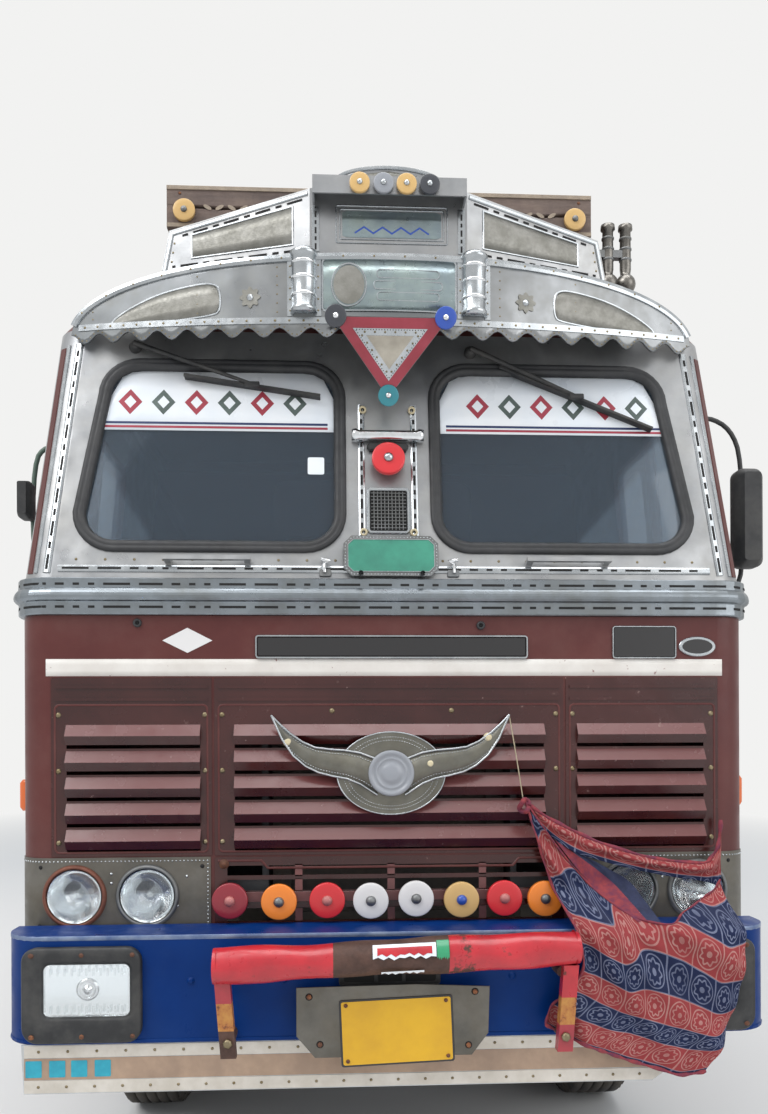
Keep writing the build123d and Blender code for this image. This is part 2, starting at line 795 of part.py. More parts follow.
def window_face(side, grow):
    """The windscreen outline of that side of the truck, grown all round by that much."""
    with BuildSketch() as outline:
        with Locations(*mirrored(window_centres, side)):
            Circle(window_corner + grow)
        make_hull()
    return outline.sketch_local


def window_outlines(grow, mode=Mode.ADD):
    """Both windscreen outlines in the sketch being built, grown all round by that much."""
    for side in (1, -1):
        add(window_face(side, grow), mode=mode)


grab_z = 2208
with BuildPart() as windscreen_frame:
    with BuildSketch(Plane.XY.offset(belt_top)):
        plan_outline(cab_half_width, screen_foot, cowl_return, corner_radius)
    with BuildSketch(Plane.XY.offset(frame_top)):
        plan_outline(cab_top_half_width, screen_foot + screen_lean, cowl_return, corner_radius)
    loft(ruled=True)
    with BuildSketch(Plane.XY.offset(belt_top)):
        plan_outline(
            cab_half_width - cab_wall,
            screen_foot + cab_wall,
            cowl_return + 1,
            corner_radius - cab_wall,
        )
    with BuildSketch(Plane.XY.offset(frame_top)):
        plan_outline(
            cab_top_half_width - cab_wall,
            screen_foot + screen_lean + cab_wall,
            cowl_return + 1,
            corner_radius - cab_wall,
        )
    loft(ruled=True, mode=Mode.SUBTRACT)
    with BuildSketch(screen_plane.offset(20)):
        window_outlines(0)
    extrude(amount=-120, mode=Mode.SUBTRACT)
    # grab handles below the glass
    for x_low, x_high in ((-730, -450), (450, 730)):
        with BuildSketch(screen_plane.offset(30)):
            with Locations(((x_low + x_high) / 2, on_screen(grab_z))):
                Rectangle(x_high - x_low, 14)
        extrude(amount=14)
        with BuildSketch(screen_plane.offset(-2)):
            with Locations(
                (x_low + 12, on_screen(grab_z)), (x_high - 12, on_screen(grab_z))
            ):
                Rectangle(20, 14)
        extrude(amount=34)
pieces["windscreen_frame"] = windscreen_frame

# Rubber seals and the two flat windscreens
seal_lip, seal_cover = 15, 25
with BuildPart() as windscreen_seals:
    with BuildSketch(screen_plane):
        window_outlines(seal_lip)
        window_outlines(-seal_cover, mode=Mode.SUBTRACT)
    extrude(amount=9)
    with BuildSketch(screen_plane):
        window_outlines(-seat_gap)
        window_outlines(-seal_cover, mode=Mode.SUBTRACT)
    extrude(amount=-26)
pieces["windscreen_seals"] = windscreen_seals
with BuildPart() as windscreen_glass:
    with BuildSketch(screen_plane.offset(-8)):
        window_outlines(-seal_cover - seat_gap)
    extrude(amount=-6)
pieces["windscreen_glass"] = windscreen_glass

# Cab floor with the hollow engine cover, standing on four mounts on the rails
floor_plate = 40
tunnel_half = 420
tunnel_wall = 20
cover_rear, cover_top = 250, 1840  # tall front part of the engine cover
tunnel_rear, tunnel_top = 1480, 1560  # its low part
cab_back = cab_depth
with BuildPart() as cab_floor:
    low = cab_floor_z - floor_plate
    with BuildSketch(Plane.XY.offset(low)):
        plan_outline(
            cab_half_width - cab_wall, cab_wall, cowl_return + 1, corner_radius - cab_wall
        )
    extrude(amount=floor_plate)
    box_between(
        (-cab_half_width, cowl_y + cowl_return + 1, low),
        (cab_half_width, cowl_y + cab_back, cab_floor_z),
    )
    # y_low, y_high, top of each part of the engine cover
    cover = ((cab_wall, cover_rear, cover_top), (cover_rear - tunnel_wall, tunnel_rear, tunnel_top))
    for y_low, y_high, top in cover:
        box_between(
            (-tunnel_half, cowl_y + y_low, low), (tunnel_half, cowl_y + y_high, top)
        )
    for y_low, y_high, top in cover:
        box_between(
            (-tunnel_half + tunnel_wall, cowl_y + y_low - 1, low - 1),
            (tunnel_half - tunnel_wall, cowl_y + y_high - tunnel_wall, top - tunnel_wall),
            mode=Mode.SUBTRACT,
        )
    for side in (1, -1):
        ends = sorted((side * (rail_web_x - rail_flange), side * rail_web_x))
        for y in (cowl_y + 215, cowl_y + 1760):
            box_between((ends[0], y, rail_top), (ends[1], y + 80, low + 1))
pieces["cab_floor"] = cab_floor

# Cab rear quarters, back wall and the rails over the doors
door_rear_gap = 16
quarter_front = door_rear + door_rear_gap
with BuildPart() as cab_rear_shell:
    for side in (1, -1):
        with BuildSketch(facing_front(cowl_y + quarter_front)):
            polygon_face(mirrored(side_wall_profile(cab_floor_z, frame_top), side))
        extrude(amount=quarter_front - cab_back)
        with BuildSketch(facing_front(cowl_y + cowl_return + 1)):
            polygon_face(mirrored(side_wall_profile(door_top + panel_gap, frame_top), side))
        extrude(amount=cowl_return + 1 - quarter_front)
    with BuildSketch(facing_front(cowl_y + cab_back - cab_wall)):
        polygon_face(
            [
                (-cab_half_width, cab_floor_z),
                (cab_half_width, cab_floor_z),
                (cab_half_width, belt_top),
                (cab_top_half_width, frame_top),
                (-cab_top_half_width, frame_top),
                (-cab_half_width, belt_top),
            ]
        )
    extrude(amount=-cab_wall)
    # rear light
    with BuildSketch(facing_front(cowl_y + cab_back - cab_wall - 1)):
        with Locations((0, 2500)):
            RectangleRounded(900, 380, 60)
    extrude(amount=-cab_wall - 2, mode=Mode.SUBTRACT)
pieces["cab_rear_shell"] = cab_rear_shell

roof_top = frame_top + roof_thickness
with BuildPart() as cab_roof:
    with BuildSketch(Plane.XY.offset(frame_top)):
        plan_outline(cab_top_half_width, screen_foot + screen_lean, cab_back, corner_radius)
    with BuildSketch(Plane.XY.offset(roof_top)):
        plan_outline(
            cab_top_half_width - 60, screen_foot + screen_lean + 50, cab_back - 20, corner_radius
        )
    loft(ruled=True)
    box_between(
        (-cab_top_half_width + 80, cowl_y + 260, frame_top - 1),
        (cab_top_half_width - 80, cowl_y + cab_back - 60, roof_top - 40),
        mode=Mode.SUBTRACT,
    )
pieces["cab_roof"] = cab_roof

# Doors, each with its window opening and the hinge barrels at its front edge
door_thickness = 45
door_window_y = (480, 1200)
door_window_z = (2190, 2830)
door_window_corner = 60
for side, label in ((-1, "right"), (1, "left")):
    with BuildPart() as door:
        with BuildSketch(facing_front(cowl_y + door_front)):
            polygon_face(mirrored(side_wall_profile(door_bottom, door_top, 0, door_thickness), side))
        extrude(amount=door_front - door_rear)
        with BuildSketch(facing_side(side * cab_half_width - 300)):
            with Locations(
                (
                    cowl_y + (door_window_y[0] + door_window_y[1]) / 2,
                    (door_window_z[0] + door_window_z[1]) / 2,
                )
            ):
                RectangleRounded(
                    door_window_y[1] - door_window_y[0],
                    door_window_z[1] - door_window_z[0],
                    door_window_corner,
                )
        extrude(amount=600, mode=Mode.SUBTRACT)
        for z in hinge_zs:
            with Locations((side * hinge_x, cowl_y + hinge_y, z)):
                Cylinder(hinge_barrel, barrel_length)
            ends = sorted((side * (cab_half_width - 1), side * (hinge_x - 2)))
            box_between(
                (ends[0], cowl_y + hinge_y + 4, z - barrel_length / 2),
                (ends[1], cowl_y + hinge_y + 90, z + barrel_length / 2),
            )
            with Locations((side * hinge_x, cowl_y + hinge_y, z)):
                Cylinder(hinge_pin + pin_gap, barrel_length, mode=Mode.SUBTRACT)
        # outside handle
        handle = sorted((side * (cab_half_width - 1), side * (cab_half_width + 18)))
        box_between(
            (handle[0], cowl_y + door_rear - 190, 1960),
            (handle[1], cowl_y + door_rear - 60, 1985),
        )
    pieces["door_" + label] = door
    with BuildPart() as pane:
        with BuildSketch(facing_front(cowl_y + door_window_y[0])):
            polygon_face(
                mirrored(side_wall_profile(door_window_z[0], door_window_z[1], 18, 24), side)
            )
        extrude(amount=door_window_y[0] - door_window_y[1])
        with BuildSketch(facing_side(side * cab_half_width - 300)):
            with Locations(
                (
                    cowl_y + (door_window_y[0] + door_window_y[1]) / 2,
                    (door_window_z[0] + door_window_z[1]) / 2,
                )
            ):
                RectangleRounded(
                    door_window_y[1] - door_window_y[0] - 2 * seat_gap,
                    door_window_z[1] - door_window_z[0] - 2 * seat_gap,
                    door_window_corner - seat_gap,
                )
        extrude(amount=600, mode=Mode.INTERSECT)
    pieces["door_glass_" + label] = pane

# Cab inside: dashboard with the steering wheel, and the seats
dash_low, dash_high = 1700, 1960
wheel_x = -560
wheel_ring, wheel_tube = 235, 17
wheel_centre = (wheel_x, cowl_y + 470, 2010)
wheel_tilt = Vector(0, 1, 2.2)
with BuildPart() as dashboard:
    box_between(
        (-cab_half_width + cab_wall, cowl_y + 260, dash_low),
        (cab_half_width - cab_wall, cowl_y + 340, dash_high),
    )
    with BuildSketch(Plane.XY.offset(dash_high - 30)):
        plan_outline(cab_half_width - cab_wall, cab_wall, 341, corner_radius - cab_wall)
    extrude(amount=30)
    rim_plane = Plane(origin=wheel_centre, x_dir=(1, 0, 0), z_dir=wheel_tilt)
    with BuildSketch(rim_plane):
        Circle(wheel_ring + wheel_tube)
        Circle(wheel_ring - wheel_tube, mode=Mode.SUBTRACT)
    extrude(amount=wheel_tube)
    with BuildSketch(rim_plane):
        Rectangle(2 * wheel_ring, 40)
        Circle(60)
    extrude(amount=wheel_tube - 4)
    with BuildSketch(rim_plane.offset(4)):
        Circle(32)
    extrude(amount=-300)
pieces["dashboard"] = dashboard

# x of the seat's middle, width
seats = [(-720, 520), (720, 560)]
with BuildPart() as cab_seats:
    for x, width in seats:
        box_between(
            (x - width / 2, cowl_y + 800, cab_floor_z), (x + width / 2, cowl_y + 1240, 1560)
        )
        box_between(
            (x - width / 2, cowl_y + 760, 1550), (x + width / 2, cowl_y + 1300, 1680)
        )
        with BuildSketch(facing_side(x - width / 2)):
            polygon_face(
                [
                    (cowl_y + 1200, 1600),
                    (cowl_y + 1300, 1600),
                    (cowl_y + 1420, 2380),
                    (cowl_y + 1320, 2380),
                ]
            )
        extrude(amount=width)
    # sleeping bench along the back wall
    box_between(
        (-cab_half_width + cab_wall, cowl_y + 1500, cab_floor_z),
        (cab_half_width - cab_wall, cowl_y + cab_back - cab_wall, 1640),
    )
pieces["cab_seats"] = cab_seats

# Wipers hung from above the glass: pivot, arm to the blade's middle, and the blade's two ends
# in X and height on the screen
wiper_sets = [
    ((-852, 2945), (-607, 2812), (-674, 2841), (-221, 2761)),
    ((279, 2935), (560, 2770), (416, 2818), (862, 2660)),
]


def strip(start, end, width):
    """The outline of a straight strip between two points."""
    dx, dy = end[0] - start[0], end[1] - start[1]
    length = sqrt(dx**2 + dy**2)
    nx, ny = -dy / length * width / 2, dx / length * width / 2
    return [
        (start[0] + nx, start[1] + ny),
        (end[0] + nx, end[1] + ny),
        (end[0] - nx, end[1] - ny),
        (start[0] - nx, start[1] - ny),
    ]


with BuildPart() as wipers:
    for points in wiper_sets:
        pivot, elbow, tip_a, tip_b = [(x, on_screen(z)) for x, z in points]
        with BuildSketch(screen_plane):
            with Locations(pivot):
                Circle(14)
        extrude(amount=30)
        with BuildSketch(screen_plane.offset(18)):
            polygon_face(strip(pivot, elbow, 12))
        extrude(amount=6)
        with BuildSketch(screen_plane.offset(10)):
            polygon_face(strip(tip_a, tip_b, 12))
        extrude(amount=9)
pieces["wipers"] = wipers

# Visor: bowed sheet under a rounded outline, with a wavy lower edge and two half-round pillars
visor_half = 1060
visor_low, visor_rise = 2930, 253
visor_end_lift = 45  # how much higher the lower edge is at both ends
visor_roundness = 2.4  # 2 would be half an ellipse, and more is squarer
visor_front, visor_end_y = -60, 150
visor_sheet = 8
lobes = 21
lobe_depth = 16
lobe_steps = 6
rim_steps = 48
visor_sag = visor_end_y - visor_front
visor_radius = (visor_half**2 + visor_sag**2) / (2 * visor_sag)
pillar_x, pillar_radius = 274, 41
pillar_z = (2990, 3198)
pillar_back = -38


def visor_base(x):
    """Middle height of the visor's wavy lower edge at x."""
    return visor_low + visor_end_lift * (x / visor_half) ** 2


def visor_rim(x):
    """Height of the visor's upper edge at x."""
    share = abs(x) / visor_half
    return visor_base(x) + visor_rise * (1 - share**visor_roundness) ** (1 / visor_roundness)


lobe_xs = [visor_half * (2 * n / (lobes * lobe_steps) - 1) for n in range(lobes * lobe_steps + 1)]
lobe_turn = 2 * pi * lobes / (2 * visor_half)
lower_edge = [(x, visor_base(x) - lobe_depth * cos(lobe_turn * x)) for x in lobe_xs]
rim_xs = [visor_half * cos(pi * n / rim_steps) for n in range(1, rim_steps)]
upper_edge = [(x, visor_rim(x)) for x in rim_xs]
with BuildPart() as visor:
    with BuildSketch(Plane.XY.offset(visor_low - 2 * lobe_depth)):
        with Locations((0, cowl_y + visor_front + visor_radius)):
            Circle(visor_radius)
            Circle(visor_radius - visor_sheet, mode=Mode.SUBTRACT)
        with Locations((0, cowl_y + visor_front + visor_radius + visor_sag)):
            Rectangle(3 * visor_radius, 2 * visor_radius, mode=Mode.SUBTRACT)
    extrude(amount=visor_rise + 4 * lobe_depth)
    # shelf lying on the roof
    with BuildSketch(Plane.XY.offset(roof_top)):
        with Locations((0, cowl_y + visor_front + visor_radius)):
            Circle(visor_radius - 2)
        with Locations((0, cowl_y + 400 + 2 * visor_radius)):
            Rectangle(3 * visor_radius, 4 * visor_radius, mode=Mode.SUBTRACT)
    extrude(amount=6)
    with BuildSketch(facing_front(cowl_y - 400)):
        polygon_face(lower_edge + upper_edge)
    extrude(amount=-1000, mode=Mode.INTERSECT)
    with BuildSketch(Plane.XY.offset(pillar_z[0])):
        front = visor_front + visor_radius - sqrt(visor_radius**2 - pillar_x**2)
        for side in (1, -1):
            with Locations((side * pillar_x, cowl_y + front)):
                Circle(pillar_radius)
        with Locations((0, cowl_y + pillar_back + pillar_radius)):
            Rectangle(3 * pillar_x, 2 * pillar_radius, mode=Mode.SUBTRACT)
    extrude(amount=pillar_z[1] - pillar_z[0])
pieces["visor"] = visor

# Roof crown: folded sheet front with a raised middle, standing on the visor's shelf
crown_sheet = 6
crown_base = roof_top + 6
crown_front, crown_fold_x = -30, 255
crown_half, crown_side, crown_back = 750, 120, 420  # half width, and where each side starts and ends
crown_half_plan = [(crown_half, crown_back), (crown_half, crown_side), (crown_fold_x, crown_front)]
crown_plan = mirrored(crown_half_plan, -1) + crown_half_plan[::-1]
inner_half_plan = [
    (crown_half - crown_sheet, crown_back + 1),
    (crown_half - crown_sheet, crown_side + 4),
    (crown_fold_x - 2, crown_front + crown_sheet),
]
inner_plan = mirrored(inner_half_plan, -1) + inner_half_plan[::-1]
arch_half, arch_low, arch_rise = 175, 3420, 62
arch = [
    (arch_half * s, arch_low + arch_rise * (1 - s**2))
    for s in (-1, -0.75, -0.5, -0.25, 0, 0.25, 0.5, 0.75, 1)
]
crown_edge = [(755, crown_base), (755, 3190), (725, 3330), (254, 3403)]
# box that carries the reflectors, open below
fascia_half, fascia_front = 245, -100
fascia_low, fascia_high = 3351, 3408
with BuildPart() as roof_crown:
    with BuildSketch(Plane.XY.offset(crown_base)):
        polygon_face([(x, cowl_y + y) for x, y in crown_plan])
        polygon_face([(x, cowl_y + y) for x, y in inner_plan], mode=Mode.SUBTRACT)
    extrude(amount=arch_low + arch_rise - crown_base)
    with BuildSketch(facing_front(cowl_y - 400)):
        polygon_face(mirrored(crown_edge, -1) + arch + crown_edge[::-1])
    extrude(amount=-1000, mode=Mode.INTERSECT)
    box_between(
        (-fascia_half, cowl_y + fascia_front, fascia_low),
        (fascia_half, cowl_y + crown_front + 1, fascia_high),
    )
    box_between(
        (-fascia_half + crown_sheet, cowl_y + fascia_front + crown_sheet, fascia_low - 1),
        (fascia_half - crown_sheet, cowl_y + crown_front, fascia_high - crown_sheet),
        mode=Mode.SUBTRACT,
    )
pieces["roof_crown"] = roof_crown

# Roof rack: boarded tray on the cab roof, with a pair of ball-ended posts on its left side
rack_half = 785
rack_front, rack_rear = 421, 1900
rack_top = 3660
board = 22
post_xs = (858, 925)
# radius, z_low, z_high of each post's ball, stem and cap
post_profile = [(38, 3307, 3383), (21, 3380, 3552), (27, 3550, 3570)]
with BuildPart() as roof_rack:
    box_between(
        (-rack_half, cowl_y + rack_front, roof_top), (rack_half, cowl_y + rack_rear, roof_top + 20)
    )
    for z_low, z_high in ((roof_top, 3270), (3330, 3440), (3500, rack_top)):
        box_between(
            (-rack_half, cowl_y + rack_front, z_low),
            (rack_half, cowl_y + rack_front + board, z_high),
        )
        box_between(
            (-rack_half, cowl_y + rack_rear - board, z_low), (rack_half, cowl_y + rack_rear, z_high)
        )
        for x in (-rack_half, rack_half - board):
            box_between(
                (x, cowl_y + rack_front, z_low), (x + board, cowl_y + rack_rear, z_high)
            )
    for x in (-rack_half + board - 1, -30, rack_half - board - 49):
        for y in (rack_front + board - 1, (rack_front + rack_rear) / 2, rack_rear - board - 49):
            if x == -30 and y == (rack_front + rack_rear) / 2:
                continue
            box_between((x, cowl_y + y, roof_top + 10), (x + 50, cowl_y + y + 50, rack_top - 10))
    box_between((rack_half - 1, cowl_y + 440, 3440), (post_xs[1], cowl_y + 470, 3470))
    for x in post_xs:
        for radius, z_low, z_high in post_profile:
            with Locations((x, cowl_y + 455, (z_low + z_high) / 2)):
                Cylinder(radius, z_high - z_low)
pieces["roof_rack"] = roof_rack

# Coloured reflector rollers, each a disc on its spindle
disc_thickness = 24
disc_sides = 16
lower_disc_xs = (-518, -362, -208, -68, 78, 225, 365, 498)


def roller(plane, centre, radius, reach, nose):
    """A disc that ends reach ahead of the plane, with its square spindle and a nose in front."""
    with BuildSketch(plane) as spindle_face:
        with Locations(centre):
            Rectangle(24, 24)
    extrude(spindle_face.sketch, amount=reach + nose)
    with BuildSketch(plane.offset(reach - disc_thickness)) as disc_face:
        with Locations(centre):
            RegularPolygon(radius, disc_sides)
    extrude(disc_face.sketch, amount=disc_thickness)


disc_z = 1112
pillar_disc_z = 2550
crown_disc_xs, crown_disc_z = (-96, -21, 52, 125), 3377
with BuildPart() as roller_discs:
    for x in lower_disc_xs:
        roller(facing_front(cowl_y - louvre_sheet), (x, disc_z), 57, 50, 10)
    roller(screen_plane, (0, on_screen(pillar_disc_z)), 55, 54, -14)
    for x in crown_disc_xs:
        roller(facing_front(cowl_y + fascia_front), (x, crown_disc_z), 32, disc_thickness, 8)
    for x in (-720, 720):
        roller(facing_front(cowl_y + rack_front), (x, 3560), 40, disc_thickness, 0)
pieces["roller_discs"] = roller_discs

# Winged ornament on the centre louvres: an oval plate, two curved wings over it and a hub
nose_y = cowl_y - louvre_sheet + 1 - 25
ornament_z = 1519
oval_half = (175, 133)
ornament_hub = 72
oval_plate, wing_plate, hub_plate = 4, 8, 16
# from the hub's middle, out along the upper edge and back along the lower one
wing_upper = [(-45, 45), (-147, 74), (-281, 100), (-385, 188)]
wing_lower = [(-385, 188), (-345, 98), (-270, 20), (-142, -17), (-45, -70)]
with BuildPart() as winged_ornament:
    with BuildSketch(facing_front(nose_y)):
        with Locations((0, ornament_z)):
            Ellipse(*oval_half)
    extrude(amount=oval_plate)
    for side in (1, -1):
        with BuildSketch(facing_front(nose_y)):
            with BuildLine():
                upper, lower = [
                    Spline(*[(-side * x, ornament_z + z) for x, z in edge])
                    for edge in (wing_upper, wing_lower)
                ]
                Line(lower @ 1, upper @ 0)
            make_face()
        extrude(amount=wing_plate)
    with BuildSketch(facing_front(nose_y)):
        with Locations((0, ornament_z)):
            Circle(ornament_hub)
    extrude(amount=hub_plate)
pieces["winged_ornament"] = winged_ornament

# Triangular plate hung in front of the centre pillar
emblem_top, emblem_tip = (-105, 2962), (50, 2760)  # y and z
emblem_half = 186
emblem_post, emblem_post_z = 104, 2775
emblem_slope = Vector(0, emblem_top[0] - emblem_tip[0], emblem_top[1] - emblem_tip[1])
with BuildPart() as triangle_emblem:
    emblem_plane = Plane(
        origin=(0, cowl_y + emblem_tip[0], emblem_tip[1]),
        x_dir=(1, 0, 0),
        z_dir=Vector(1, 0, 0).cross(emblem_slope),
    )
    with BuildSketch(emblem_plane):
        polygon_face(
            [(0, 0), (emblem_half, emblem_slope.length), (-emblem_half, emblem_slope.length)]
        )
    extrude(amount=6)
    with BuildSketch(screen_plane):
        with Locations((0, on_screen(emblem_post_z))):
            Circle(6)
    extrude(amount=emblem_post)
pieces["triangle_emblem"] = triangle_emblem

# Mirrors on posts, each held by two arms from the A-pillar
mirror_y = 330
post_size = 24
arm_zs = (2280, 2520)
side_lean = (cab_half_width - cab_top_half_width) / (frame_top - belt_top)
# side, outer face of the post, head: x_low, x_high, z_low, z_high, back
mirror_sets = [
    (1, 1264, 1263, 1365, 2244, 2600, 6),
    (-1, 1256, 1225, 1275, 2400, 2530, -post_size + 1),
]
with BuildPart() as mirrors:
    for side, post_x, x_low, x_high, z_low, z_high, back in mirror_sets:
        for z in arm_zs:
            arm = [(post_x - 2, z), (post_x - 2, z + post_size)]
            arm += [
                (cab_half_width - (top - belt_top) * side_lean, top) for top in (z + post_size, z)
            ]
            with BuildSketch(facing_front(cowl_y + mirror_y)):
                polygon_face(mirrored(arm, side))
            extrude(amount=post_size)
        ends = sorted((side * (post_x - post_size), side * post_x))
        box_between(
            (ends[0], cowl_y + mirror_y - post_size, 2240), (ends[1], cowl_y + mirror_y, 2560)
        )
        ends = sorted((side * x_low, side * x_high))
        box_between(
            (ends[0], cowl_y + mirror_y - 40, z_low), (ends[1], cowl_y + mirror_y + back, z_high)
        )
pieces["mirrors"] = mirrors

# Front mudguards under the cab floor, each with its step box ahead of the wheel
guard_inner = 560
guard_outer = cab_half_width - 4
with BuildPart() as mudguards:
    top = cab_floor_z - floor_plate
    for side in (1, -1):
        ends = sorted((side * guard_inner, side * guard_outer))
        box_between((ends[0], cowl_y + 690, top - 12), (ends[1], cowl_y + 2000, top))
        box_between((ends[0], cowl_y + 690, 660), (ends[1], cowl_y + 700, top))
        box_between((ends[0], cowl_y + 2000, 620), (ends[1], cowl_y + 2010, top))
        step = sorted((side * 880, side * guard_outer))
        box_between((step[0], cowl_y + 400, 540), (step[1], cowl_y + 691, top))
        for z_low, z_high in ((560, 820), (850, top - 12)):
            inner = sorted((side * 900, side * (guard_outer + 1)))
            box_between(
                (inner[0], cowl_y + 420, z_low),
                (inner[1], cowl_y + 680, z_high),
                mode=Mode.SUBTRACT,
            )
pieces["mudguards"] = mudguards

# Load body: deck on bearers and sills, walls with posts, and the headboard
deck_low, deck_high = 1130, 1160
board_top = deck_high + 12
deck_margin = 60
body_front, body_rear = load_start, load_start + load_length
gate_front = body_rear + panel_gap
gate_back = gate_front + tailgate_thickness
gate_hinge_y = gate_back + gate_hinge_reach - hinge_barrel
gate_hinge_z = 1146
gate_hinge_xs = (-900, 0, 900)
with BuildPart() as load_floor:
    box_between(
        (-body_half, cowl_y + body_front, deck_low), (body_half, cowl_y + body_rear, deck_high)
    )
    for side in (1, -1):
        ends = sorted((side * (rail_web_x - rail_flange), side * rail_web_x))
        box_between(
            (ends[0], cowl_y + body_front + 40, rail_top),
            (ends[1], cowl_y + rail_rear, deck_low + 1),
        )
        ends = sorted((side * (body_half - 50), side * body_half))
        box_between(
            (ends[0], cowl_y + body_front, deck_low - 60),
            (ends[1], cowl_y + body_rear, deck_low + 1),
        )
    for n in range(11):
        y = cowl_y + body_front + n * (load_length - 60) / 10
        box_between((-body_half + 1, y, deck_low - 60), (body_half - 1, y + 60, deck_low + 1))
    for x in gate_hinge_xs:
        for low in lug_starts(x):
            box_between(
                (low, cowl_y + body_rear - 1, gate_hinge_z - hinge_barrel),
                (low + lug_length, cowl_y + gate_hinge_y + hinge_barrel, gate_hinge_z + hinge_barrel),
            )
        with Locations((x, cowl_y + gate_hinge_y, gate_hinge_z)):
            Cylinder(hinge_pin, barrel_length + 2 * lug_gap + 2, rotation=(0, 90, 0))
    # deck boards, clear of the walls on all sides
    box_between(
        (-body_half + deck_margin, cowl_y + body_front + deck_margin, deck_high),
        (body_half - deck_margin, cowl_y + body_rear - 8, board_top),
    )
pieces["load_floor"] = load_floor

wall_top, headboard_top = 2950, 3300
wall_sheet = 12
post_depth, post_width = 40, 70
wall_inside = body_half - post_depth
with BuildPart() as load_walls:
    for side in (1, -1):
        ends = sorted((side * (wall_inside - wall_sheet), side * wall_inside))
        box_between(
            (ends[0], cowl_y + body_front, deck_high), (ends[1], cowl_y + body_rear, wall_top)
        )
        ends = sorted((side * (wall_inside - 1), side * body_half))
        for n in range(11):
            y = cowl_y + body_front + n * (load_length - post_width) / 10
            box_between((ends[0], y, deck_high), (ends[1], y + post_width, wall_top))
        for z in (deck_high, 1760, 2360, wall_top - 70):
            box_between(
                (ends[0], cowl_y + body_front, z), (ends[1], cowl_y + body_rear, z + 70)
            )
    box_between(
        (-wall_inside, cowl_y + body_front, deck_high),
        (wall_inside, cowl_y + body_front + 40, headboard_top),
    )
    box_between(
        (-body_half, cowl_y + body_rear - 70, wall_top - 71),
        (body_half, cowl_y + body_rear, wall_top),
    )
pieces["load_walls"] = load_walls

# Tailgate: framed panel hinged at deck level, hanging straight down when open
gate_low, gate_high = 1172, 2060
gate_post = 60
with BuildPart() as tailgate:
    box_between(
        (-body_half, cowl_y + gate_front, gate_low),
        (body_half, cowl_y + gate_front + 14, gate_high),
    )
    for share in (-1, -0.5, 0, 0.5, 1):
        x = share * (body_half - gate_post / 2) - gate_post / 2
        box_between(
            (x, cowl_y + gate_front, gate_low), (x + gate_post, cowl_y + gate_back, gate_high)
        )
    for z in (gate_low, gate_high - 70):
        box_between(
            (-body_half, cowl_y + gate_front, z), (body_half, cowl_y + gate_back, z + 70)
        )
    for x in gate_hinge_xs:
        box_between(
            (x - barrel_length / 2, cowl_y + gate_back - 12, gate_hinge_z),
            (x + barrel_length / 2, cowl_y + gate_hinge_y, gate_low + 20),
        )
        with Locations((x, cowl_y + gate_hinge_y, gate_hinge_z)):
            Cylinder(hinge_barrel, barrel_length, rotation=(0, 90, 0))
            Cylinder(
                hinge_pin + pin_gap, barrel_length, rotation=(0, 90, 0), mode=Mode.SUBTRACT
            )
pieces["tailgate"] = tailgate

# Printed cloth tied over the left headlamp: a folded sheet inside its outline from the front
cloth_fold = [(-30, 1410), (-44, 1410), (-240, 1060), (-240, 560), (-225, 560), (-225, 1050)]
cloth_edge = [
    (420, 1405),
    (553, 1055),
    (568, 941),
    (575, 720),
    (690, 639),
    (901, 569),
    (975, 592),
    (985, 680),
    (1078, 791),
    (1114, 1106),
    (1100, 1366),
    (985, 1228),
    (789, 1254),
    (600, 1310),
]
with BuildPart() as lamp_cloth:
    with BuildSketch(facing_side(400)):
        polygon_face([(cowl_y + y, z) for y, z in cloth_fold])
    extrude(amount=800)
    with BuildSketch(facing_front(cowl_y - 300)):
        polygon_face(cloth_edge)
    extrude(amount=-400, mode=Mode.INTERSECT)
pieces["lamp_cloth"] = lamp_cloth

for label, piece in pieces.items():
    piece.part.label = label
    export_step(piece.part, f"parts/{label}.step")
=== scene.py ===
"""The visible finish of a decorated haulage truck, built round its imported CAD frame.

Metres, in the frame's own axes: +X is the truck's own left, +Y runs back along it, +Z up, and the front
faces -Y. Heights and widths of the front are those of the real truck, as its photograph shows them.
"""
import logging
from collections.abc import Callable, Iterable, Sequence
from dataclasses import dataclass, field
from enum import Enum
from math import atan2, ceil, cos, hypot, pi, radians, sin, sqrt, tan
from typing import Protocol

import bpy
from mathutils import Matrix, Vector


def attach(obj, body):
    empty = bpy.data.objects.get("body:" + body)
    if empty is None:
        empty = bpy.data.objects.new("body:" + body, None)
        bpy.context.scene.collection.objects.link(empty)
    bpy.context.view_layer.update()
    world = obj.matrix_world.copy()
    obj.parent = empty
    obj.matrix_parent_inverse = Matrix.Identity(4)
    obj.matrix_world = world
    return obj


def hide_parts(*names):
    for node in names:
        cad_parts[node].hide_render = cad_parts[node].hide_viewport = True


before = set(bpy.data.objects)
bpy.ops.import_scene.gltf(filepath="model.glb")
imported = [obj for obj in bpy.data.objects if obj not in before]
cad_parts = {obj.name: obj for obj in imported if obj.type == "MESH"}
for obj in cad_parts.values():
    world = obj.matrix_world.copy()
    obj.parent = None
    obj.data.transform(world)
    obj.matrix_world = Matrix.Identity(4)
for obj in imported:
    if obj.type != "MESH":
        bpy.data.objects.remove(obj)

log = logging.getLogger("truck")
Point = tuple[float, float]
Path = Sequence[Point]
Tree = bpy.types.NodeTree
Socket = bpy.types.NodeSocket
COWL = -4.360  # where the cowl's front face stands along Y
SIDES = (1, -1)  # the truck's own left and right
AHEAD, UP, ACROSS = Vector((0, -1, 0)), Vector((0, 0, 1)), Vector((1, 0, 0))


def at(x: float, y: float, z: float) -> Vector:
    """Give the point that far to the left, behind the cowl's front face, and above the ground."""
    return Vector((x, COWL + y, z))


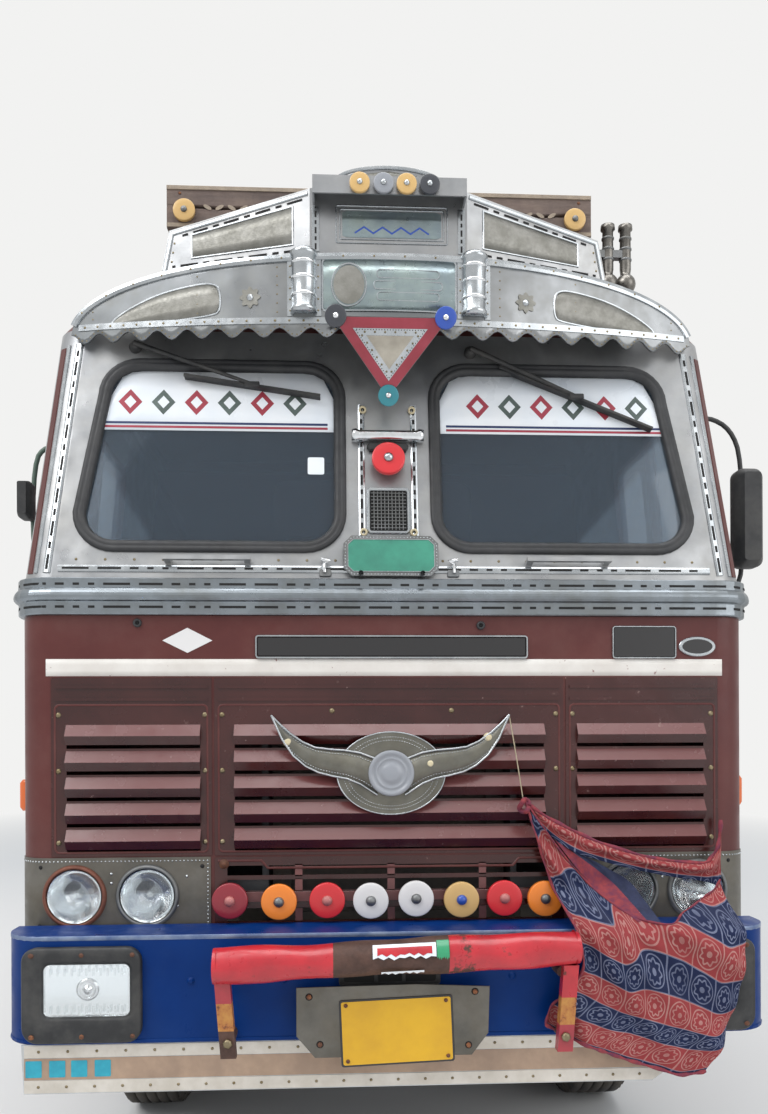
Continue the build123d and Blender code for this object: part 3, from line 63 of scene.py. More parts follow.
def linear(code: str) -> tuple[float, ...]:
    """Turn an sRGB hex colour to the linear values that shaders take.

    Args:
        code: Six hex digits.

    Returns:
        Red, green, blue and an alpha of 1.
    """
    parts = [int(code[i : i + 2], 16) / 255 for i in (0, 2, 4)]
    return (*(c / 12.92 if c <= 0.04045 else ((c + 0.055) / 1.055) ** 2.4 for c in parts), 1.0)


def placed(name: str, data: bpy.types.ID) -> bpy.types.Object:
    """Put an object with that data into the scene.

    Args:
        name: The object's name.
        data: Its mesh, lamp or camera.

    Returns:
        The object.
    """
    made = bpy.data.objects.new(name, data)
    bpy.context.scene.collection.objects.link(made)
    return made


# Finishes


def add_node(tree: Tree, kind: str, settings: dict | None = None, out: int | str = 0) -> Socket | None:
    """Add one node with its settings and links.

    Args:
        tree: The node tree.
        kind: The node's type without its ShaderNode prefix.
        settings: Attributes by name, and inputs by name or number: a socket, a hex colour or a value.
        out: Name or number of the output that is wanted.

    Returns:
        That output's socket, or None where the node has no outputs.
    """
    node = tree.nodes.new("ShaderNode" + kind)
    for key, value in (settings or {}).items():
        if not (isinstance(key, int) or key in node.inputs):
            setattr(node, key, value)
        elif isinstance(value, Socket):
            tree.links.new(value, node.inputs[key])
        else:
            node.inputs[key].default_value = linear(value) if isinstance(value, str) else value
    return node.outputs[out] if node.outputs else None


def blank(name: str) -> tuple[bpy.types.Material, Tree]:
    """Make a material without nodes.

    Args:
        name: Its name.

    Returns:
        The material and its node tree.
    """
    made = bpy.data.materials.new(name)
    made.use_nodes = True
    made.node_tree.nodes.clear()
    return made, made.node_tree


class Wear(Enum):
    """How a finish has aged: how soft the marks' edges are, how matt they are, how much they cover."""

    DUST = (0.34, 0.8, 0.45)
    CHIPS = (0.015, 0.45, 1.0)
    RUST = (0.06, 0.85, 1.0)


@dataclass(frozen=True)
class Worn:
    """Dust, chips or rust on a finish."""

    kind: Wear
    colour: str
    share: float  # of the surface that they take
    size: float  # of the marks, in metres


@dataclass(frozen=True)
class Finish:
    """One material and how its surface was made. Lengths are in metres."""

    name: str
    colour: str
    second: str = ""  # colour of the broad patches
    patch: float = 0.4  # size of the broad patches
    metal: float = 0.0
    rough: float = 0.5
    spread: float = 0.1  # how far the roughness goes up and down
    coat: float = 0.0
    grain: Point = (0.0, 0.0)  # size and depth of the fine surface texture
    dent: Point = (0.0, 0.0)  # size and depth of the shallow dents
    worn: Worn | None = None
    stretch: tuple[float, float, float] = (1.0, 1.0, 1.0)  # shrinks the pattern's scale along the grain
    transmission: float = 0.0
    alpha: float = 1.0
    painted_glow: float = 0.0
    specular: float = 0.5
    painted_top_highlight: str = ""  # painted highlight: a paler colour on faces that look up, where the light falls

    def build(self) -> bpy.types.Material:
        """Make the material, or give the one already made.

        Returns:
            The Blender material.
        """
        if self.name in bpy.data.materials:
            return bpy.data.materials[self.name]
        made, tree = blank(self.name)
        place = add_node(tree, "TexCoord", out="Object")
        grained = add_node(tree, "Mapping", {"Vector": place, "Scale": self.stretch})
        settings = {
            "Base Color": self.colour, "Metallic": self.metal, "Roughness": self.rough,
            "Coat Weight": self.coat, "Coat Roughness": 0.12, "Alpha": self.alpha,
            "Transmission Weight": self.transmission, "Specular IOR Level": self.specular,
        }
        # painted glow: an emission on parts that are not lit lamps
        if self.painted_glow:
            settings |= {"Emission Color": self.colour, "Emission Strength": self.painted_glow}
        settings |= self.shade(tree, place, grained) | self.relief(tree, place, grained)
        add_node(tree, "OutputMaterial", {"Surface": add_node(tree, "BsdfPrincipled", settings)})
        return made

    def shade(self, tree: Tree, place: Socket, grained: Socket) -> dict[str, Socket]:
        """Work out colour and roughness over the surface: broad patches, a painted highlight on upward faces,
        then wear.

        Args:
            tree: The node tree.
            place: The coordinates.
            grained: The coordinates along the grain.

        Returns:
            The shader's inputs that aren't the same all over.
        """
        colour, rough = self.colour, self.rough
        if self.second:
            settings = {"Vector": grained, "Scale": 1 / self.patch, "Detail": 5.0, "Roughness": 0.62}
            cloud = add_node(tree, "TexNoise", settings)
            share = add_node(tree, "MapRange", {"Value": cloud, "From Min": 0.36, "From Max": 0.64})
            colour = add_node(tree, "Mix", {"data_type": "RGBA", 0: share, 6: colour, 7: self.second}, 2)
            smears = add_node(tree, "TexNoise", {"Vector": place, "Scale": 5 / self.patch, "Detail": 4.0})
            ends = {"To Min": self.rough - self.spread, "To Max": self.rough + self.spread}
            rough = add_node(tree, "MapRange", {"Value": smears, "From Min": 0.3, "From Max": 0.7} | ends)
        # painted highlight: faces that look up are mixed towards a paler colour, as where light falls on them
        if self.painted_top_highlight:
            up = add_node(tree, "SeparateXYZ", {"Vector": add_node(tree, "NewGeometry", out="Normal")}, "Z")
            share = add_node(tree, "MapRange", {"Value": up, "From Min": 0.05, "From Max": 0.55})
            colour = add_node(tree, "Mix", {"data_type": "RGBA", 0: share, 6: colour, 7: self.painted_top_highlight}, 2)
        if self.worn:
            soft, matt, cover = self.worn.kind.value
            settings = {"Vector": place, "Scale": 1 / self.worn.size, "Detail": 8.0, "Roughness": 0.7}
            spots = add_node(tree, "TexNoise", settings)
            middle = 0.5 + (0.5 - self.worn.share) * 0.42
            ends = {"From Min": middle - soft / 2, "From Max": middle + soft / 2, "To Max": cover}
            share = add_node(tree, "MapRange", {"Value": spots} | ends)
            colour = add_node(tree, "Mix", {"data_type": "RGBA", 0: share, 6: colour, 7: self.worn.colour}, 2)
            rough = add_node(tree, "Mix", {0: share, 2: rough, 3: matt})
        found = {"Base Color": colour, "Roughness": rough}
        return {key: value for key, value in found.items() if isinstance(value, Socket)}

    def relief(self, tree: Tree, place: Socket, grained: Socket) -> dict[str, Socket]:
        """Work out the bump of the shallow dents and the fine grain.

        Args:
            tree: The node tree.
            place: The coordinates.
            grained: The coordinates along the grain.

        Returns:
            The shader's normal, or nothing where the surface is smooth.
        """
        normal = {}
        for (size, depth), where, detail in ((self.dent, place, 1.5), (self.grain, grained, 3.0)):
            if size:
                height = add_node(tree, "TexNoise", {"Vector": where, "Scale": 1 / size, "Detail": detail})
                bump = {"Strength": 1.0, "Distance": depth, "Height": height} | normal
                normal = {"Normal": add_node(tree, "Bump", bump)}
        return normal


def dust(colour: str, share: float, size: float) -> Worn:
    """Give a haze of dust or grime in that colour."""
    return Worn(Wear.DUST, colour, share, size)


def chips(colour: str, share: float, size: float) -> Worn:
    """Give sharp chips that show that colour."""
    return Worn(Wear.CHIPS, colour, share, size)


def rust(colour: str, share: float, size: float) -> Worn:
    """Give rust that breaks through in that colour."""
    return Worn(Wear.RUST, colour, share, size)


# Polished stainless sheet, hammered by hand: broad soft reflections that bend at shallow dents
STAINLESS = Finish(
    "stainless_sheet_polished", "949698", "767a7d", 0.4, 1.0, 0.3, 0.06, dent=(0.24, 0.012),
    worn=dust("8d897f", 0.2, 0.2),
)
# The same sheet pressed and left dull: greyer, with a fine drawn grain
DULL_STEEL = Finish(
    "zinc_sheet_dull", "85878a", "6c6f70", 0.18, 0.85, 0.46, 0.08, grain=(0.006, 0.0004), dent=(0.2, 0.006),
    worn=dust("6f6b60", 0.4, 0.15),
)
# Stainless gone brown and dull by the lamps and behind the number plate
OLIVE_STEEL = Finish(
    "stainless_sheet_browned", "716e68", "5c5a55", 0.18, 0.8, 0.42, 0.08, dent=(0.2, 0.006),
    worn=dust("6a6254", 0.3, 0.1),
)
# Stainless painted pale and half matt: painted light, so that it stays bright in the visor's shade
STAINLESS_PAINTED_LIT = Finish(
    "stainless_sheet_painted_lit", "acadae", "95979a", 0.3, 0.8, 0.34, 0.08, dent=(0.18, 0.01),
    worn=dust("8d897f", 0.2, 0.2),
)
# Stainless etched dull inside its polished border: a flat grey field
ETCHED = Finish("stainless_sheet_etched", "8f8e89", "7b7a74", 0.05, 0.85, 0.5, grain=(0.004, 0.0005))
# Stainless under a thin grey-green lacquer: a cooler, duller sheen
TINTED = Finish("stainless_sheet_tinted", "9aa8a6", "87949a", 0.12, 0.8, 0.32, 0.08)
# Old stainless gone matt and greenish
ORNAMENT = Finish(
    "stainless_sheet_tarnished", "77766f", "63625c", 0.1, 0.85, 0.42, worn=dust("6f6a5c", 0.4, 0.06),
)
# Stainless with a warm cast, half matt
BEIGE_STEEL = Finish("stainless_sheet_warm", "b5afa3", "9d978c", 0.1, 0.9, 0.4)
# Trims kept bright: sharper highlights than the sheets
BRIGHT = Finish("stainless_trim_bright", "b9bdc0", "a3a8ac", 0.1, 1.0, 0.25, 0.06)
# The belt rail's stainless, rubbed and dusty: cooler and darker than the sheets
BELT = Finish(
    "stainless_rail_dull", "8b9298", "757c82", 0.2, 1.0, 0.3, 0.06, worn=dust("787468", 0.25, 0.2),
)
# Chrome plating: near mirror, dark and light bands
CHROME = Finish("chrome_plated_steel", "e2e4e6", "cfd2d5", 0.05, 1.0, 0.12, 0.05)
# Bowl silvered inside: the brightest thing behind a lamp's glass
REFLECTOR_BOWL = Finish("lamp_reflector_silvered", "e8edf0", rough=0.08, metal=1.0)
# Dull brown-yellow heads that show as dots on the bright strips
BRASS = Finish("brass_rivet_dull", "8a7f68", "75694f", 0.05, 0.9, 0.42)
# Aluminium as it leaves the mill, dented: broad blurred reflections
ALUMINIUM = Finish(
    "aluminium_sheet_mill", "c9ccce", "b3b7ba", 0.2, 1.0, 0.38, 0.08, dent=(0.16, 0.008),
    worn=dust("a09a8e", 0.35, 0.12),
)
# Aluminium gone chalky: nearly white strips, and the tanned sheet between them
STRIP_PALE = Finish("aluminium_strip_pale", "d2ccc3", "c0b9ae", 0.1, 0.4, 0.5, 0.08)
TAN_SHEET = Finish("aluminium_sheet_tanned", "ad937d", "98816f", 0.1, 0.2, 0.5, 0.08)
# Cellulose enamel on steel, faded by sun: pinkish brown with dust
MAROON = Finish(
    "enamel_maroon_faded", "502625", "5b2f2c", 0.35, 0.0, 0.4, 0.08, dent=(0.3, 0.004),
    worn=dust("6e4e49", 0.15, 0.3), specular=0.3,
)
# The same enamel on the grilles, painted dark for the shade under the lip, with chips, and a painted
# highlight on its upper faces
MAROON_CHIPPED_SHADED_LIT = Finish(
    "enamel_maroon_chipped_shade_highlight", "32100f", "401a18", 0.3, 0.0, 0.24, 0.06, worn=chips("8a706a", 0.06, 0.03),
    specular=0.55, painted_top_highlight="6a3e3d",
)
# The same enamel painted paler: a painted highlight where the light falls on the grille's bars
MAROON_PAINTED_HIGHLIGHT = Finish("enamel_maroon_painted_highlight", "744b49", "65403f", 0.1, 0.0, 0.35, 0.08, specular=0.4)
# Enamel on the pressed bumper, deep blue and half gloss, and the pale strip along its top: steel rubbed
# through, and a painted highlight where the top edge catches the light
BLUE = Finish(
    "enamel_blue_worn", "022a66", "063272", 0.3, 0.0, 0.36, dent=(0.35, 0.006),
    worn=dust("203a6a", 0.15, 0.2), specular=0.12,
)
WORN_BLUE_AND_HIGHLIGHT = Finish("steel_worn_bare_blue_and_highlight", "7f8ca3", "4f6288", 0.08, 0.4, 0.42)
# Hand-painted lines: off-white or coloured enamel, chipped to what is under it
WHITE_STRIPE = Finish(
    "enamel_white_stripe", "dedad4", "cfc9c2", 0.2, 0.0, 0.4, worn=chips("8c6a66", 0.1, 0.03),
)
CREAM = Finish("enamel_cream_band", "cfc3a2", "c1b391", 0.2, 0.0, 0.45, worn=chips("7c5e50", 0.1, 0.04))
TEAL_PAINT = Finish("enamel_teal_band", "2f6f72", "275f62", 0.2, 0.0, 0.45)
# Paint over rust: brown scale breaks through the red and the ochre bands
RED_PAINT = Finish(
    "enamel_red_rusting", "a3323a", "8d2a33", 0.12, 0.0, 0.42, coat=0.2, worn=rust("6f4a3a", 0.22, 0.05),
)
BAR_RED = Finish(
    "enamel_red_bright_chipped", "c22631", "a9202b", 0.1, 0.0, 0.34, 0.08, 0.3, dent=(0.12, 0.004),
    worn=rust("4c2c24", 0.22, 0.08),
)
OCHRE = Finish("enamel_ochre_worn", "b5823f", "a0602f", 0.03, 0.0, 0.5, worn=rust("6a4230", 0.25, 0.03))
# Bare steel gone to scale: matt, rough to the touch, orange-brown
RUST = Finish(
    "mild_steel_rusted", "6b4634", "54382c", 0.06, 0.2, 0.75, grain=(0.004, 0.0012),
    worn=rust("8a5a3c", 0.4, 0.05),
)
BAR_RUST = Finish("bar_steel_rusted", "5a4138", "47332c", 0.05, 0.3, 0.62, grain=(0.004, 0.0008))
SPRING = Finish("spring_steel_rusted", "4a3b32", "382e29", 0.1, 0.5, 0.68, grain=(0.004, 0.0008))
RUSTY_RIM = Finish("lamp_rim_rusting", "7d4f3f", "6b4236", 0.04, 0.4, 0.6)
# Cast iron under oil and dust: dark, faintly shining
CAST = Finish("cast_iron_oily", "3c3c3d", "2c2a28", 0.15, 0.4, 0.58, 0.12, grain=(0.003, 0.0008))
# Chassis black, tank grey and wheel red: enamel under road dust
CHASSIS = Finish("chassis_black_dusty", "2b2a2b", "3a3734", 0.3, 0.0, 0.62, worn=dust("6e6457", 0.5, 0.15))
TANK = Finish("tank_enamel_grey", "5a5f63", "4c5054", 0.3, 0.0, 0.45, worn=dust("857a6b", 0.45, 0.2))
RIM = Finish("wheel_enamel_red", "8a2f2c", "7a2a28", 0.1, 0.0, 0.45, worn=dust("7a6a5b", 0.45, 0.08))
# The load body's enamel: faded, thick with road dust in broad patches
BODY = Finish(
    "body_enamel_maroon", "66393a", "734543", 0.5, 0.0, 0.48, coat=0.15, dent=(0.5, 0.006),
    worn=dust("94806f", 0.42, 0.25),
)
# Small steel parts in their own paint or tarnish
HOOD_GREEN = Finish("steel_painted_grey_green", "5d6a66", "4d5855", 0.05, 0.3, 0.5)
ARM_GREEN = Finish("steel_tube_green", "55665c", "48584f", 0.05, 0.2, 0.5)
POST_STEEL = Finish("steel_post_tarnished", "807d78", "64615d", 0.04, 0.9, 0.34)
# Moulded black plastic, greyed by dust, and the unlit dark inside an opening
BLACK = Finish(
    "plastic_black_moulded", "1d1e20", "2a2b2d", 0.1, grain=(0.002, 0.0002), worn=dust("55524c", 0.25, 0.1),
)
GAP = Finish("gap_black_matt", "0d0d0e", rough=0.8)
# Rubber gone grey: matt, darker where it is fresh
RUBBER = Finish("rubber_seal_aged", "232426", "2c2d30", 0.12, 0.0, 0.55, worn=dust("4a4948", 0.2, 0.1))
TYRE = Finish(
    "tyre_rubber_worn", "2b2b2c", "363432", 0.15, 0.0, 0.78, 0.08, grain=(0.003, 0.0006),
    worn=dust("75695a", 0.45, 0.12),
)
# Clear laminated glass over a dark cab, mostly reflection, and the lamps' clear pressed glass
GLASS = Finish("glass_laminated", "7f97ad", rough=0.03, transmission=0.85, alpha=0.55)
LAMP_GLASS = Finish("glass_lamp_fluted", "e9eef0", rough=0.06, transmission=0.9, alpha=0.4)
# Cut vinyl: even colour, a soft satin shine
FILM = Finish("vinyl_film_white", "eef0f2", "dde4ec", 0.5, 0.0, 0.3, 0.05)
TAPE_RED = Finish("vinyl_tape_red", "a53c4c", "97323f", 0.1, 0.0, 0.4, 0.08)
CYAN_TILE = Finish("vinyl_tile_cyan", "2aa3b8", "2390a6", 0.05, 0.0, 0.4, 0.08)
NAVY = Finish("vinyl_line_navy", "27345c", rough=0.4)
PLATE_GREEN = Finish("plate_vinyl_green", "3f8f78", "357a68", 0.1, 0.0, 0.45)
# Embossed seat vinyl: dark, a little shine on a fine grain
SEAT = Finish("vinyl_seat_cover", "4a2322", "3c1d1d", 0.1, grain=(0.003, 0.0004))
# Stove-enamelled plates: glossy black, and a yellow warmed by the sun
NAME_DARK = Finish("plate_enamel_black", "1c1b1d", rough=0.35, coat=0.3)
PLATE_BRIGHT = Finish("plate_sheet_yellow", "d8a71c", "cb9a1e", 0.15, 0.0, 0.45, 0.08)
# Floor enamel walked dull: flat dark grey
CAB_GREY = Finish("floor_enamel_grey", "3f4143", "34363a", 0.2, 0.0, 0.6)
# Weathered boards: grey-brown, split along their grain, which runs along X on the rack and Y on the deck
BOARDS = Finish(
    "softwood_weathered", "6a5a53", "564a46", 0.05, 0.0, 0.75, 0.08, grain=(0.012, 0.0016),
    worn=dust("8f7d70", 0.4, 0.1), stretch=(0.12, 1.0, 1.0),
)
DECK = Finish(
    "hardwood_deck_worn", "7c6650", "655140", 0.05, 0.0, 0.78, 0.08, grain=(0.012, 0.0016),
    worn=dust("93836d", 0.4, 0.2), stretch=(1.0, 0.12, 1.0),
)
BOARDS_PALE = Finish("softwood_frame_painted", "a0917f", "8a7d70", 0.05, 0.0, 0.75, 0.08, grain=(0.01, 0.001))
BOARDS_DARK = Finish("softwood_post_weathered", "4b3a33", "3d302b", 0.05, 0.0, 0.8, 0.08, grain=(0.01, 0.001))
# Cotton turned over and sewn: the print's red and navy grounds, faded and grubby
COTTON_RED = Finish(
    "cotton_hem_red", "8f3a3f", "742c34", 0.03, 0.0, 0.92, 0.05, grain=(0.003, 0.001),
    worn=dust("1f2c60", 0.3, 0.03),
)
COTTON_NAVY = Finish("cotton_navy_faded", "2c3350", "20263e", 0.05, 0.0, 0.9, 0.05, grain=(0.002, 0.0003))
STRING = Finish("twine_pale", "b8ab90", "9d9178", 0.01, 0.0, 0.9, 0.05, grain=(0.002, 0.0004))
# Moulded acrylic, its skin glossier than its body, with a faint painted glow for the light that comes through
# it
RED, ORANGE, CRIMSON, AMBER, WHITE, GREY, DARK, BLUE_DISC, TEAL, GREEN = (
    Finish("acrylic_" + name, colour, rough=0.32, coat=0.2, painted_glow=0.06)
    for name, colour in (
        ("red", "cc2c32"), ("orange", "e8822c"), ("crimson", "8a2430"), ("amber", "c9a56a"),
        ("white", "d5d3d2"), ("grey", "8d9096"), ("dark", "3a3c42"), ("blue", "2d4fa6"),
        ("teal", "2f7f8a"), ("green", "2f8f63"),
    )
)
ROSE = Finish("acrylic_rose_worn", "b5706c", rough=0.4)
# The side indicator's lens, unlit, with a faint painted glow
ORANGE_LENS = Finish("acrylic_indicator_orange", "d2642a", rough=0.3, coat=0.3, painted_glow=0.08)


@dataclass(frozen=True)
class PrintedCotton:
    """Thin cotton block-printed in rows of red and navy squares, each with a plain lobed ring.

    It is soft and matt. Its threads are too fine to show, so the weave is drawn coarser than the real one.
    """

    name: str = "cotton_sheet_printed"
    grounds: tuple[str, str] = ("8c3a3c", "1d2542")  # red and navy
    lines: tuple[str, str] = ("a97b75", "6e748b")  # printed on each
    square: float = 0.085  # side of a printed square

    def build(self) -> bpy.types.Material:
        """Make the material.

        Returns:
            The Blender material.
        """
        made, tree = blank(self.name)
        place = add_node(tree, "UVMap", {"uv_map": "cut"})
        squares = add_node(tree, "VectorMath", {"operation": "SCALE", 0: place, 3: 1 / self.square})
        part = add_node(tree, "VectorMath", {"operation": "FRACTION", 0: squares})
        part = add_node(tree, "VectorMath", {"operation": "SUBTRACT", 0: part, 1: (0.5, 0.5, 0.0)})
        row = add_node(tree, "SeparateXYZ", {0: squares}, "Y")
        row = add_node(tree, "Math", {"operation": "FLOORED_MODULO", 0: row, 1: 2.0})
        odd = add_node(tree, "Math", {"operation": "LESS_THAN", 0: row, 1: 1.0})
        ground, line = (
            add_node(tree, "Mix", {"data_type": "RGBA", 0: odd, 6: first, 7: second}, 2)
            for first, second in (self.grounds, self.lines)
        )
        radius = add_node(tree, "VectorMath", {"operation": "LENGTH", 0: part}, "Value")
        sides = add_node(tree, "VectorMath", {"operation": "ABSOLUTE", 0: part})
        u, v = (add_node(tree, "SeparateXYZ", {0: sides}, axis) for axis in "XY")
        edge = add_node(tree, "Math", {"operation": "MAXIMUM", 0: u, 1: v})
        u, v = (add_node(tree, "SeparateXYZ", {0: part}, axis) for axis in "XY")
        turn = add_node(tree, "Math", {"operation": "ARCTAN2", 0: u, 1: v})
        lobes = add_node(tree, "Math", {"operation": "MULTIPLY", 0: turn, 1: 8.0})
        wave = add_node(tree, "Math", {"operation": "SINE", 0: lobes})
        lobed = add_node(tree, "Math", {"operation": "MULTIPLY_ADD", 0: wave, 1: 0.035, 2: radius})
        colour = ground
        for value, middle, half in (
            (edge, 0.49, 0.018), (radius, 0.4, 0.02), (lobed, 0.27, 0.03), (radius, 0.0, 0.09),
        ):
            drawn = add_node(tree, "Math", {"operation": "COMPARE", 0: value, 1: middle, 2: half})
            colour = add_node(tree, "Mix", {"data_type": "RGBA", 0: drawn, 6: colour, 7: line}, 2)
        settings = {"Vector": place, "Scale": 14.0, "Detail": 5.0, "Roughness": 0.7}
        blotch = add_node(tree, "TexNoise", settings)
        ends = {"From Min": 0.38, "From Max": 0.7, "To Max": 0.6}
        faded = add_node(tree, "MapRange", {"Value": blotch} | ends)
        colour = add_node(tree, "Mix", {"data_type": "RGBA", 0: faded, 6: colour, 7: ground}, 2)
        weave = add_node(tree, "TexNoise", {"Vector": place, "Scale": 160.0, "Detail": 3.0})
        normal = add_node(tree, "Bump", {"Strength": 0.5, "Distance": 0.001, "Height": weave})
        settings = {
            "Base Color": colour, "Normal": normal, "Roughness": 0.92, "Sheen Weight": 0.1,
            "Sheen Roughness": 0.4, "Specular IOR Level": 0.2,
        }
        add_node(tree, "OutputMaterial", {"Surface": add_node(tree, "BsdfPrincipled", settings)})
        return made


# Surfaces that pieces lie on


class Surface(Protocol):
    """What pieces are laid on: u runs across it from the middle of the truck, z is the height."""

    def point(self, u: float, z: float, out: float = 0.0) -> Vector:
        """Give the point at u and height z, that far off the surface."""


@dataclass(frozen=True)
class Skin:
    """A front surface that wraps round both corners of the cab."""

    half: float
    front: float
    corner: float = 0.11
    foot: float = 0.0  # height that the lean and taper start from
    lean: float = 0.0  # how far back it goes for each metre of height
    taper: float = 0.0  # how much narrower each side gets for each metre of height

    def half_at(self, z: float) -> float:
        """Give the half width at a height."""
        return self.half - self.taper * (z - self.foot)

    def point(self, u: float, z: float, out: float = 0.0) -> Vector:
        """Give a point on or off the surface.

        Args:
            u: Across from the middle, and on round the corner.
            z: Its height.
            out: How far off the surface.

        Returns:
            The point.
        """
        flat = self.half_at(z) - self.corner
        run = abs(u) - flat
        angle = min(max(run / self.corner, 0.0), pi / 2)
        x = flat + self.corner * sin(angle) if run > 0 else abs(u)
        y = self.front + self.lean * (z - self.foot)
        if run > 0:
            y += self.corner * (1 - cos(angle)) + max(run - self.corner * pi / 2, 0.0)
        side = 1 if u >= 0 else -1
        normal = Vector((side * sin(angle), -cos(angle), self.lean * cos(angle))).normalized()
        return at(side * x, y, z) + normal * out


@dataclass(frozen=True)
class Bow:
    """The visor's surface: a shallow upright cylinder."""

    front: float = -0.06
    radius: float = 2.78

    def point(self, u: float, z: float, out: float = 0.0) -> Vector:
        """Give the point at u and height z, that far off the surface."""
        away = (self.radius + out) / self.radius
        return at(u * away, self.front + self.radius - away * sqrt(self.radius**2 - u**2), z)


@dataclass(frozen=True)
class Folded:
    """The crown's surface: a flat middle and two wings that slope back."""

    middle: float = 0.255
    front: float = -0.03
    end: float = 0.75
    rear: float = 0.12

    def point(self, u: float, z: float, out: float = 0.0) -> Vector:
        """Give a point on or off the surface.

        Args:
            u: Across from the middle.
            z: Its height.
            out: How far off the surface.

        Returns:
            The point.
        """
        slope = (self.rear - self.front) / (self.end - self.middle)
        run = max(abs(u) - self.middle, 0.0)
        lean = (slope if u >= 0 else -slope) if run > 0 else 0.0
        return at(u, self.front + run * slope, z) + Vector((lean, -1, 0)).normalized() * out


def flat_skin(front: float) -> Skin:
    """Give an upright plane across the truck, so wide that its corners don't matter."""
    return Skin(5.0, front)


SCREEN_RISE, SCREEN_LEAN = 0.87, 0.16  # the windscreens' height, and how far their top lies back
SCREEN_SLOPE = hypot(SCREEN_RISE, SCREEN_LEAN) / SCREEN_RISE  # length up them for each metre of height
COWL_SKIN = Skin(1.2, 0.0)
SHEET_SKIN = Skin(1.2, -0.003)
LAMP_SKIN = Skin(1.203, -0.003, 0.113)
SCREEN_SKIN = Skin(1.2, 0.01, 0.11, 2.15, SCREEN_LEAN / SCREEN_RISE, 0.08 / SCREEN_RISE)
BUMPER_SKIN = Skin(1.185, -0.2, 0.12)
VISOR_SKIN = Bow()
CROWN_SKIN = Folded()


# Outlines


def angles(count: int) -> list[float]:
    """Give evenly spaced angles round a circle."""
    return [2 * pi * n / count for n in range(count)]


def between(a: Point, b: Point, share: float) -> Point:
    """Give the point at that share of the way from one to another."""
    return (a[0] + (b[0] - a[0]) * share, a[1] + (b[1] - a[1]) * share)


def pairs(outline: Path) -> list[tuple[Point, Point]]:
    """Give each point of a closed outline with the next one."""
    return list(zip(outline, [*outline[1:], outline[0]]))


def along(path: Path, distance: float) -> Point:
    """Give the point that far along a path.

    Args:
        path: Its points.
        distance: From its start.

    Returns:
        The point, or the path's end where it is shorter.
    """
    for a, b in zip(path, path[1:]):
        step = hypot(b[0] - a[0], b[1] - a[1])
        if distance <= step:
            return between(a, b, distance / step if step else 0.0)
        distance -= step
    return path[-1]


def path_length(path: Path) -> float:
    """Give the length of a path of points."""
    return sum(hypot(b[0] - a[0], b[1] - a[1]) for a, b in zip(path, path[1:]))


def spaced(path: Path, pitch: float) -> list[Point]:
    """Give points along a path, a half pitch in from its ends.

    Args:
        path: Its points.
        pitch: About how far apart.

    Returns:
        The points.
    """
    total = path_length(path)
    count = max(1, round(total / pitch))
    return [along(path, total * (n + 0.5) / count) for n in range(count)]


def divided(path: Path, step: float = 0.04) -> list[Point]:
    """Add points to a path so that it bends with the surface under it.

    Args:
        path: Its points.
        step: The most that two points may be apart.

    Returns:
        The finer path.
    """
    fine = []
    for a, b in zip(path, path[1:]):
        count = max(1, ceil(hypot(b[0] - a[0], b[1] - a[1]) / step))
        fine += [between(a, b, n / count) for n in range(count)]
    return [*fine, path[-1]]


def softened(outline: Path) -> list[Point]:
    """Cut an outline's corners twice, so that it looks drawn by hand.

    Args:
        outline: Its points.

    Returns:
        The rounder outline.
    """
    for _ in range(2):
        outline = [between(a, b, share) for a, b in pairs(outline) for share in (0.25, 0.75)]
    return list(outline)


def rectangle(left: float, low: float, right: float, high: float) -> list[Point]:
    """Give a rectangle's corners, anticlockwise."""
    return [(left, low), (right, low), (right, high), (left, high)]


def rounded(low: Point, high: Point, radius: float, steps: int = 4) -> list[Point]:
    """Give a rectangle's outline with round corners, anticlockwise.

    Args:
        low: Its lower left corner.
        high: Its upper right corner.
        radius: Of its corners.
        steps: How many steps each corner takes.

    Returns:
        The outline.
    """
    points = []
    left, right = low[0] + radius, high[0] - radius
    foot, top = low[1] + radius, high[1] - radius
    for n, (x, y) in enumerate(((right, top), (left, top), (left, foot), (right, foot))):
        for k in range(steps + 1):
            turn = pi / 2 * (n + k / steps)
            points.append((x + radius * cos(turn), y + radius * sin(turn)))
    return points


def across(u: float, z: float, wide: float, high: float, radius: float) -> list[Point]:
    """Give a rounded rectangle about a middle, anticlockwise."""
    return rounded((u - wide / 2, z - high / 2), (u + wide / 2, z + high / 2), radius)


def ellipse(centre: Point, wide: float, high: float, count: int = 40) -> list[Point]:
    """Give an ellipse's outline, anticlockwise."""
    return [(centre[0] + wide * cos(t), centre[1] + high * sin(t)) for t in angles(count)]


def petals(centre: Point, radius: float, count: int, depth: float) -> list[Point]:
    """Give a rosette's outline: a circle with round lobes.

    Args:
        centre: Its middle.
        radius: Of the circle.
        count: How many lobes.
        depth: How far they stand out, as a share of the radius.

    Returns:
        The outline.
    """
    reaches = [(t, radius * (1 + depth * cos(count * t))) for t in angles(count * 6)]
    return [(centre[0] + reach * cos(t), centre[1] + reach * sin(t)) for t, reach in reaches]


def inset(outline: Path, by: float) -> list[Point]:
    """Move an anticlockwise outline inward.

    Args:
        outline: The outline.
        by: How far.

    Returns:
        The smaller outline.
    """
    result = []
    for (a, (x, y)), b in zip(pairs([outline[-1], *outline[:-1]]), [*outline[1:], outline[0]]):
        first, second = max(hypot(x - a[0], y - a[1]), 1e-9), max(hypot(b[0] - x, b[1] - y), 1e-9)
        n = (
            -((y - a[1]) / first + (b[1] - y) / second) / 2,
            ((x - a[0]) / first + (b[0] - x) / second) / 2,
        )
        scale = by / max(n[0] ** 2 + n[1] ** 2, 0.25)
        result.append((x + n[0] * scale, y + n[1] * scale))
    return result


